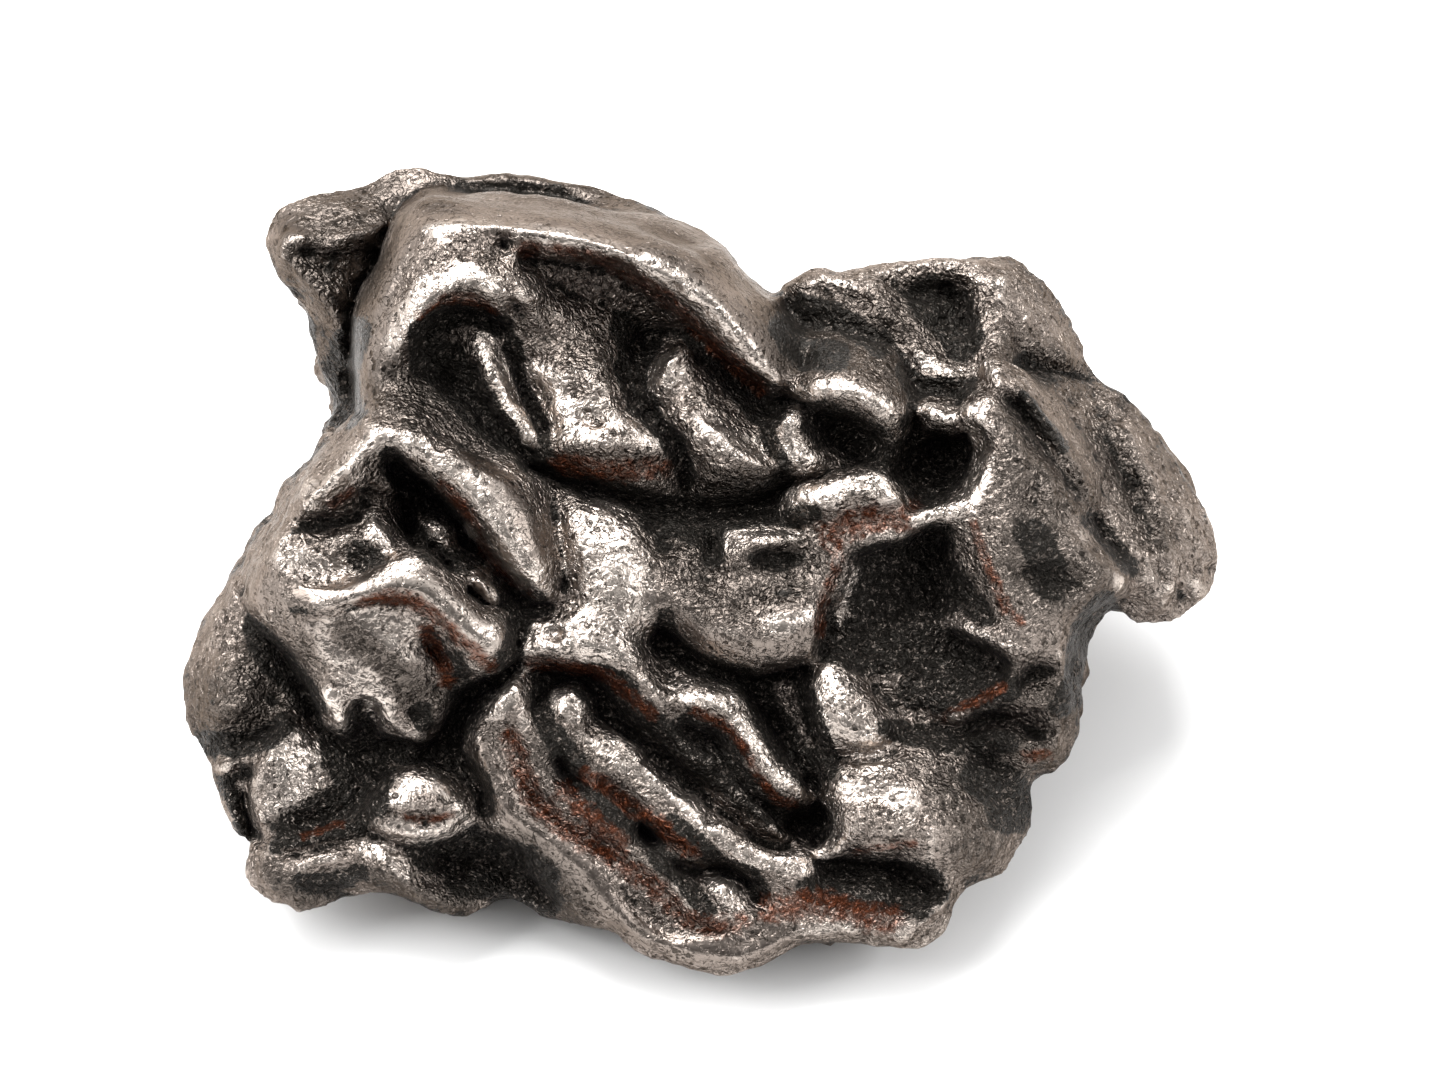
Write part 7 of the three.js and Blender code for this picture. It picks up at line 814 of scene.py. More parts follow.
FRONT = [EAR, HOOD, BOWL, VISOR, HOLE, STAR_LIP, MIDDLE, LOWER_PLATE, LOWER_BLOCK, VALLEY,
         RIGHT_BLOCK, REAR_RIGHT, LEFT_BLOCK, LEFT_LOBE, LOWER_LEFT, PLATE_HEAD]
BACK = [REAR_WALL, UNDER_RIGHT, FEET, UNDER_EDGES, BELLY]

SKIN_STEP = 0.1  # mm between the nodes of the grid that a skin is stretched on
SKIN_LOW = np.array([-20.0, -16.0])  # the corners of that grid (across, up), in mm
SKIN_HIGH = np.array([18.4, 14.4])
STRETCHES = ((32, 200), (16, 150), (8, 120), (4, 80), (2, 60), (1, 40))  # how coarse, and how often evened
CREST_KEPT = 0.6  # share of a crest's sharpness that wear has left
WORN_PASSES = 16  # how often the skin is eased to find what stands proud of it
BACK_PASSES = 14  # how often the back is eased after wearing, which leaves it rounder than the front


def lay_points(line, closed=False, step=0.05):
    """Points laid close together along a smooth curve through the given ones."""
    points = np.array(line, float)
    if closed:
        points = np.vstack([points[-1], points, points[:2]])
    else:
        points = np.vstack([2 * points[0] - points[1], points, 2 * points[-1] - points[-2]])
    laid = []
    for before, start, end, after in zip(points, points[1:], points[2:], points[3:]):
        count = max(2, int(np.linalg.norm(end - start) / step))
        t = np.linspace(0, 1, count, endpoint=False)[:, None]
        bend = 2 * before - 5 * start + 4 * end - after
        twist = 3 * start - before - 3 * end + after
        laid.append(start + 0.5 * ((end - before) * t + bend * t**2 + twist * t**3))
    laid.append(points[-2:-1])
    return np.vstack(laid)


def read_grid(grid, step, places):
    """The heights of a grid at places (across, up)."""
    last = np.array(grid.shape) - 1.001  # a hair inside the last node
    at = np.clip((places - SKIN_LOW) / step, 0, last)
    node = at.astype(int)
    x, y = (at - node).T
    i, j = node.T
    low = grid[i, j] * (1 - x) + grid[i + 1, j] * x
    high = grid[i, j + 1] * (1 - x) + grid[i + 1, j + 1] * x
    return low * (1 - y) + high * y


def fade_in(value, low, high):
    """0 up to the low value, 1 from the high one on, and a straight slope between them."""
    return np.clip((value - low) / (high - low), 0, 1)


def around(grid):
    """The mean of each node's four neighbours."""
    wide = np.pad(grid, 1, mode="edge")
    return (wide[:-2, 1:-1] + wide[2:, 1:-1] + wide[1:-1, :-2] + wide[1:-1, 2:]) / 4


def grid_places(step):
    """The places of all nodes of a grid."""
    counts = np.ceil((SKIN_HIGH - SKIN_LOW) / step).astype(int) + 1
    i, j = np.meshgrid(*[np.arange(count) for count in counts], indexing="ij")
    return counts, SKIN_LOW + np.stack([i.ravel(), j.ravel()], 1) * step


def stretch_skin(points):
    """A skin stretched over points: coarse grids first, so that wide gaps settle too."""
    skin, skin_step = None, None
    for coarseness, passes in STRETCHES:
        step = SKIN_STEP * coarseness
        counts, places = grid_places(step)
        node = np.rint((points[:, :2] - SKIN_LOW) / step).astype(int)
        hits = np.zeros(counts)
        total = np.zeros(counts)
        np.add.at(hits, tuple(node.T), 1)
        np.add.at(total, tuple(node.T), points[:, 2])
        held = hits > 0
        heights = total / np.maximum(hits, 1)
        start = read_grid(skin, skin_step, places).reshape(counts) if skin is not None else 0
        grid = np.where(held, heights, start)
        for _ in range(passes):
            grid = np.where(held, grid, around(grid))
        skin, skin_step = grid, step
    return skin, held


SWELL = 0.2  # mm that the metal between two lines swells above the skin
SWELL_REACH = 0.5  # mm from a line to where most of the swelling is reached


def swell(held, passes=150):
    """How far the metal swells between its lines, which stay put: crests turn round, creases sharp."""
    pull = (SKIN_STEP / SWELL_REACH)**2 / 4
    grid = np.zeros(held.shape)
    for _ in range(passes):
        grid = np.where(held, 0, (around(grid) + pull * SWELL) / (1 + pull))
    return grid


def ease(grid, passes):
    """A grid whose nodes have moved halfway to the mean of their neighbours, a number of times."""
    for _ in range(passes):
        grid = (grid + around(grid)) / 2
    return grid


def wear(skin, side, passes=2):
    """Crests are rounded down towards the eased skin, while crevices keep their sharp floors."""
    eased = ease(skin, WORN_PASSES)
    above = (skin - eased) * side
    return ease(eased + np.where(above > 0, above * CREST_KEPT, above) * side, passes)


def lean_back(line):
    """A back line turned from (across, behind, above the floor) into the face plane's measures."""
    across, behind, above = np.array(line, float).T
    above = above - FACE_CENTRE[2]
    return np.stack([across, behind * LEAN_SIN + above * LEAN_COS,
                     above * LEAN_SIN - behind * LEAN_COS], 1)


rim_points = lay_points(RIM, closed=True)
front_points = [lay_points(line) for lump in FRONT for line in lump.values()]
back_points = [lay_points(lean_back(line)) for lump in BACK for line in lump.values()]
front_skin, front_held = stretch_skin(np.vstack(front_points + [rim_points]))
back_skin, back_held = stretch_skin(np.vstack(back_points + [rim_points]))
front_skin = wear(front_skin + swell(front_held), 1)
back_skin = wear(back_skin - swell(back_held), -1, passes=BACK_PASSES)

# The outline that the rim draws, as the grid nodes that lie inside it.
counts, places = grid_places(SKIN_STEP)
inside_rim = np.zeros(len(places), bool)
for (x0, y0), (x1, y1) in zip(rim_points[:, :2], np.roll(rim_points[:, :2], -1, axis=0)):
    if y0 == y1:
        continue
    beside = (places[:, 1] >= min(y0, y1)) & (places[:, 1] < max(y0, y1))
    reached = x0 + (places[beside, 1] - y0) / (y1 - y0) * (x1 - x0)
    inside_rim[beside] ^= places[beside, 0] < reached

# How far each node lies inside the outline, in mm.
EDGE_STEP = 0.2
RIM_BATCH = 2000  # nodes measured at a time
edge_counts, edge_places = grid_places(EDGE_STEP)
sparse_rim = rim_points[::3, :2]
from_rim = np.empty(len(edge_places))
for first in range(0, len(edge_places), RIM_BATCH):
    apart = edge_places[first:first + RIM_BATCH, None, :] - sparse_rim[None, :, :]
    from_rim[first:first + RIM_BATCH] = np.sqrt((apart**2).sum(2)).min(1)
edge_inside = read_grid(inside_rim.reshape(counts).astype(float), SKIN_STEP, edge_places) > 0.5
inset = np.where(edge_inside, from_rim, -from_rim).reshape(edge_counts)

# The lump as a block of numbers: above zero inside the metal, below zero outside it.
BLOCK_STEP = 0.14  # mm between the numbers
BLOCK_LOW = np.array([-18.6, -14.8, -17.6])
BLOCK_HIGH = np.array([17.1, 13.1, 4.2])
RIM_SLOPE = 2  # how fast the numbers rise from the rim inwards
block_counts = np.ceil((BLOCK_HIGH - BLOCK_LOW) / BLOCK_STEP).astype(int) + 1
i, j = np.meshgrid(np.arange(block_counts[0]), np.arange(block_counts[1]), indexing="ij")
columns = BLOCK_LOW[:2] + np.stack([i.ravel(), j.ravel()], 1) * BLOCK_STEP
plane = tuple(block_counts[:2])
front_height = read_grid(front_skin, SKIN_STEP, columns).reshape(plane)
back_height = read_grid(back_skin, SKIN_STEP, columns).reshape(plane)
rim_inset = read_grid(inset, EDGE_STEP, columns).reshape(plane)
out = BLOCK_LOW[2] + np.arange(block_counts[2]) * BLOCK_STEP
block = np.minimum(front_height[:, :, None] - out, out - back_height[:, :, None])
block = np.minimum(block, RIM_SLOPE * rim_inset[:, :, None]).astype(np.float32)


def surface_net(block, low, step):
    """The surface where a block passes through zero, as points and four-sided faces."""
    inside = block > 0
    size = np.array(block.shape) - 1
    filled = np.zeros(size, np.int8)
    for corner in np.ndindex(2, 2, 2):
        i, j, k = corner
        filled += inside[i:i + size[0], j:j + size[1], k:k + size[2]]
    cells = np.argwhere((filled > 0) & (filled < 8))
    number = np.full(size, -1)
    number[tuple(cells.T)] = np.arange(len(cells))
    total = np.zeros((len(cells), 3))
    hits = np.zeros(len(cells))
    faces = []
    for axis in range(3):
        second, third = (axis + 1) % 3, (axis + 2) % 3
        for side in np.ndindex(2, 2):
            start = cells.copy()
            start[:, second] += side[0]
            start[:, third] += side[1]
            end = start.copy()
            end[:, axis] += 1
            near, far = block[tuple(start.T)], block[tuple(end.T)]
            crossed = (near > 0) != (far > 0)
            point = start[crossed].astype(float)
            point[:, axis] += near[crossed] / (near[crossed] - far[crossed])
            total[crossed] += point
            hits[crossed] += 1
        near = np.take(inside, np.arange(size[axis]), axis)
        far = np.take(inside, np.arange(1, size[axis] + 1), axis)
        edges = np.argwhere(near != far)
        edges = edges[(edges[:, second] > 0) & (edges[:, third] > 0)]
        edges = edges[(edges[:, second] < size[second]) & (edges[:, third] < size[third])]
        ring = []
        for back_second, back_third in ((0, 0), (1, 0), (1, 1), (0, 1)):
            cell = edges.copy()
            cell[:, second] -= back_second
            cell[:, third] -= back_third
            ring.append(number[tuple(cell.T)])
        ring = np.stack(ring, 1)
        outward = near[tuple(edges.T)]
        faces.append(np.where(outward[:, None], ring, ring[:, ::-1]))
    return low + step * total / hits[:, None], np.vstack(faces)


def build_mesh(name, points, faces):
    """A mesh from arrays of points and of faces that all have the same number of corners."""
    mesh = bpy.data.meshes.new(name)
    corners = faces.shape[1]
    mesh.vertices.add(len(points))
    mesh.vertices.foreach_set("co", points.astype(np.float32).ravel())
    mesh.loops.add(faces.size)
    mesh.loops.foreach_set("vertex_index", faces.astype(np.int32).ravel())
    mesh.polygons.add(len(faces))
    mesh.polygons.foreach_set("loop_start", np.arange(0, faces.size, corners, dtype=np.int32))
    mesh.update(calc_edges=True)
    return mesh


def read_mesh(mesh):
    """A mesh's points, the two ends of each edge, and its normals."""
    points = np.empty(len(mesh.vertices) * 3, np.float32)
    mesh.vertices.foreach_get("co", points)
    ends = np.empty(len(mesh.edges) * 2, np.int32)
    mesh.edges.foreach_get("vertices", ends)
    normals = np.empty(len(mesh.vertices) * 3, np.float32)
    mesh.vertices.foreach_get("normal", normals)
    return points.reshape(-1, 3).astype(float), ends.reshape(-1, 2), normals.reshape(-1, 3)


def neighbour_mean(values, ends, degree):
    """The mean of the values of each point's neighbours."""
    total = np.zeros_like(values)
    for column in range(values.shape[1]):
        total[:, column] = (np.bincount(ends[:, 0], values[ends[:, 1], column], len(values))
                            + np.bincount(ends[:, 1], values[ends[:, 0], column], len(values)))
    return total / degree[:, None]


def soften(points, ends, amounts):
    """Points moved towards their neighbours' mean, and away again by a negative amount."""
    degree = np.bincount(ends.ravel(), minlength=len(points))
    for amount in amounts:
        points = points + amount * (neighbour_mean(points, ends, degree) - points)
    return points


LATTICE = 32  # cells along each side of the block of noise, after which it repeats


def lattice_noise(points, size, seed):
    """Smooth noise from -1 to 1, with lumps of the given size."""
    lattice = np.random.default_rng(seed).uniform(-1, 1, (LATTICE,) * 3)
    at = points / size
    node = np.floor(at).astype(int)
    part = at - node
    part = part * part * part * (part * (part * 6 - 15) + 10)  # starts and ends level
    total = 0
    for corner in np.ndindex(2, 2, 2):
        share = np.prod(np.where(corner, part, 1 - part), axis=1)
        total = total + share * lattice[tuple(((node + corner) % LATTICE).T)]
    return total


PIT_SPOT = (0.25, 0.75)  # where a pit's middle lies in its cell
PIT_REACH = (0.18, 0.42)  # how far it reaches, as a share of the cell
PIT_BOWL = 1.3  # a cone this deep, cut off at 1, which leaves a flat floor


def pits(points, size, seed, share):
    """1 in the middle of a pit and 0 outside: one in each cell of the given size, or in a share of them."""
    chance = np.random.default_rng(seed)
    cells = (LATTICE,) * 3
    spot = chance.uniform(*PIT_SPOT, (*cells, 3))
    reach = chance.uniform(*PIT_REACH, cells) * (chance.uniform(0, 1, cells) < share)
    at = points / size
    node = np.floor(at).astype(int)
    deep = np.zeros(len(points))
    for beside in np.ndindex(3, 3, 3):
        cell = node + beside - 1
        key = tuple((cell % LATTICE).T)
        apart = np.linalg.norm(at - cell - spot[key], axis=1)
        cone = PIT_BOWL - PIT_BOWL * apart / np.maximum(reach[key], 1e-6)
        deep = np.maximum(deep, np.clip(cone, 0, 1))
    return deep


points, faces = surface_net(block, BLOCK_LOW, BLOCK_STEP)
rough_mesh = build_mesh("meteorite_rough", points, faces)
points, ends, normals = read_mesh(rough_mesh)
STAIRS_EASED = (0.5, -0.5, 0.5, -0.5, 0.3)  # takes the block's stairs out of the skin
points = soften(points, ends, STAIRS_EASED)

# The highest part of the front skin within about a millimetre of each place.
BROW_REACH = 1.2  # mm
highest = front_skin
for _ in range(round(BROW_REACH / SKIN_STEP)):
    beside = np.pad(highest, 1, mode="edge")
    for across, up in ((0, 1), (2, 1), (1, 0), (1, 2)):
        highest = np.maximum(highest, beside[across:across + highest.shape[0], up:up + highest.shape[1]])

# Deeper than the front skin, and low on steep walls that face up, the metal has folds of its own.
FOLDS_BELOW = (0.5, 2.0)  # mm under the front skin, where the folds begin and where they are full
WALL_FOLDS_BELOW = (2.2, 4.2)  # the same for a steep wall's folds, in mm under its top
WALL_FOLDS_INSET = (0.5, 1.5)  # and in mm inside the rim
WALL_STEEP = (0.5, 0.2)  # how far out the normal points where a wall begins to be steep, and where it is
WALL_UP = (0, 0.4)  # how far up it points where a wall's folds begin, and where they are full
WALL_EASED = (0.5,) * 12  # evens out where a wall's folds begin
below_skin = read_grid(front_skin, SKIN_STEP, points[:, :2]) - points[:, 2]
below_top = read_grid(highest, SKIN_STEP, points[:, :2]) - points[:, 2]
hidden = fade_in(below_skin, *FOLDS_BELOW)
steep = fade_in(normals[:, 2], *WALL_STEEP) * fade_in(normals[:, 1], *WALL_UP)
steep *= fade_in(below_top, *WALL_FOLDS_BELOW)
steep *= fade_in(read_grid(inset, EDGE_STEP, points[:, :2]), *WALL_FOLDS_INSET)
hidden = np.maximum(hidden, soften(steep[:, None], ends, WALL_EASED)[:, 0])
rough_mesh.vertices.foreach_set("co", points.astype(np.float32).ravel())
rough_mesh.update()
points, ends, normals = read_mesh(rough_mesh)

# Relief of every size, from folds of 3 mm down to grain of a quarter of a millimetre.
FOLD_WARP = 1.1  # mm that the folds are bent out of true
CREASE_WARP = 0.8
warp = np.stack([lattice_noise(points, 2.6, seed) for seed in (11, 12, 13)], 1)
folds = 0.5 - np.abs(lattice_noise(points + FOLD_WARP * warp, 2.9, 14))
creases = 0.4 - np.abs(lattice_noise(points + CREASE_WARP * warp, 1.5, 15))
lumps = lattice_noise(points, 0.85, 16)
grain = lattice_noise(points, 0.42, 17)
fine = lattice_noise(points, 0.24, 18)
dents = lattice_noise(points, 1.9, 19)

# Where handling has left the metal smooth: the stroke's reach in mm, then points (across, up) along it.
SATIN = {
    "brow": (1.1, [
        (-9.6, 11.3), (-8, 11.4), (-6.4, 11.4), (-4.8, 11.1), (-3.2, 10.7), (-1.6, 10.1), (-0.4, 9.5),
        (0.8, 8.6), (1.6, 7.6), (2.1, 6.6)]),
    "left brow": (0.9, [(-10.8, 11), (-11.4, 10), (-11.8, 8.6), (-12, 7.2), (-11.9, 5.8)]),
    "middle lip": (0.5, [(-1.8, -2.1), (-0.9, -2.9), (0, -3.5), (1, -3.7), (2, -3.6), (2.8, -3.3)]),
    "long lip": (0.5, [
        (-15.4, -1.6), (-13.4, -1.9), (-12.4, -1.7), (-11.4, -1.2), (-10.6, -1.1), (-9.7, -1.5),
        (-8.8, -2.4), (-7.8, -3.3)]),
    "arm": (0.5, [(-8.4, 2.6), (-7.4, 2), (-6.8, 1), (-6.3, -0.2)]),
    "plate rim": (0.5, [
        (-8.1, -6.8), (-7.4, -8.6), (-6.2, -9.6), (-4.8, -10.8), (-3.6, -12.4), (-2, -13.3), (0.6, -13.7),
        (2, -13.2)]),
    "ear": (0.6, [
        (-14.8, 10.7), (-13, 11.3), (-11.4, 11.9), (-10.2, 12.2), (-8, 12.1), (-6, 12), (-4, 11.6)]),
}
STROKE_FALL = 0.7  # how fast a stroke fades at its reach


def paint(strokes, at):
    """Each place's share of the strokes: 1 along them, fading to 0 past their reach."""
    grid = np.zeros(len(places))
    for reach, line in strokes.values():
        laid = lay_points([(across, up, 0) for across, up in line], step=0.2)[:, :2]
        low, high = laid.min(0) - 2 * reach, laid.max(0) + 2 * reach
        near_it = ((places > low) & (places < high)).all(1)
        apart = np.sqrt(((places[near_it, None, :] - laid[None, :, :])**2).sum(2)).min(1)
        grid[near_it] = np.maximum(grid[near_it], np.exp(-(apart / reach)**4 * STROKE_FALL))
    return read_grid(grid.reshape(counts), SKIN_STEP, at)


FOLD_RISE = 0.75  # mm, as are the others
CREASE_RISE = 0.40
LUMP_RISE = 0.09
HIDDEN_LUMP_RISE = 0.06
GRAIN_RISE = 0.045
FINE_RISE = 0.015
DENT_RISE = 0.22
SATIN_SHARE = 0.7  # share of the relief that handling has taken off
PITS = (  # mm between pits, seed, share of places that have one, depth in mm
    (0.75, 21, 0.50, 0.08),
    (1.3, 22, 0.30, 0.14),
)

rise = hidden * (FOLD_RISE * folds + CREASE_RISE * creases)
rise += (LUMP_RISE + HIDDEN_LUMP_RISE * hidden) * lumps
rise += GRAIN_RISE * grain + FINE_RISE * fine

# Round pits, a quarter of a millimetre to a millimetre across, are sprinkled all over.
for size, seed, share, depth in PITS:
    rise -= depth * pits(points, size, seed, share)
rough_share = 1 - SATIN_SHARE * paint(SATIN, points[:, :2])

# Walls that face up, such as the back of the hood, are broadly dented.
DENTED_UP = (0.5, 0.8)  # how far up the normal points where the dents begin, and where they are full
dented = fade_in(normals[:, 1], *DENTED_UP) * (1 - hidden)
points = points + normals * (rise * rough_share + DENT_RISE * dented * dents)[:, None]

# The piece stands on the floor: its soles are cut flat there.
lump = np.stack([points[:, 0], points[:, 1] * LEAN_SIN - points[:, 2] * LEAN_COS,
                 points[:, 1] * LEAN_COS + points[:, 2] * LEAN_SIN], 1) + FACE_CENTRE
lump[:, 2] = np.maximum(lump[:, 2], 0)
rough_mesh.vertices.foreach_set("co", (lump * MM).astype(np.float32).ravel())
rough_mesh.update()

# The even net is thinned where the metal is smooth.
MOST_TRIANGLES = 190000
meteorite = bpy.data.objects.new("meteorite_skin", rough_mesh)
bpy.context.scene.collection.objects.link(meteorite)
thinning = meteorite.modifiers.new("thinning", "DECIMATE")
thinning.ratio = min(1.0, MOST_TRIANGLES / (2 * len(faces)))
bpy.context.view_layer.update()
thinned = bpy.data.meshes.new_from_object(meteorite.evaluated_get(bpy.context.evaluated_depsgraph_get()))
meteorite.modifiers.remove(thinning)
meteorite.data = thinned
bpy.data.meshes.remove(rough_mesh)
thinned.polygons.foreach_set("use_smooth", np.ones(len(thinned.polygons), bool))

# What is hollow and what is proud, in mm.
NEAR_PASSES = 10  # how often the skin is softened to find it
points, ends, normals = read_mesh(thinned)
points = points / MM
near = soften(points, ends, (0.5,) * NEAR_PASSES)
near_depth = ((near - points) * normals).sum(1)

# How deep each point lies in the folds of the front and the back, read from the two skins. This is
# painted shade: it darkens the deeper folds.
turned = points - FACE_CENTRE
face_up = turned[:, 1] * LEAN_SIN + turned[:, 2] * LEAN_COS
face_out = turned[:, 2] * LEAN_SIN - turned[:, 1] * LEAN_COS
face_place = np.stack([turned[:, 0], face_up], 1)
SKIN_REACH = 0.9  # mm from a skin, within which a point belongs to it
DEPTHS = ((12, 0.6), (60, 0.5), (250, 0.35))  # how often the skin is eased, and how dark its hollows are
shade = np.zeros(len(points))
on_skin = []
for skin, side in ((front_skin, 1), (back_skin, -1)):
    off = np.abs(read_grid(skin, SKIN_STEP, face_place) - face_out)
    on_skin.append(np.exp(-(off / SKIN_REACH)**2))
    open_share = np.ones(skin.shape)
    for passes, weight in DEPTHS:
        depth = np.maximum((ease(skin, passes) - skin) * side, 0)
        open_share *= np.exp(-weight * depth)
    shade += on_skin[-1] * (1 - read_grid(open_share, SKIN_STEP, face_place))
shade = np.clip(shade, 0, 1)

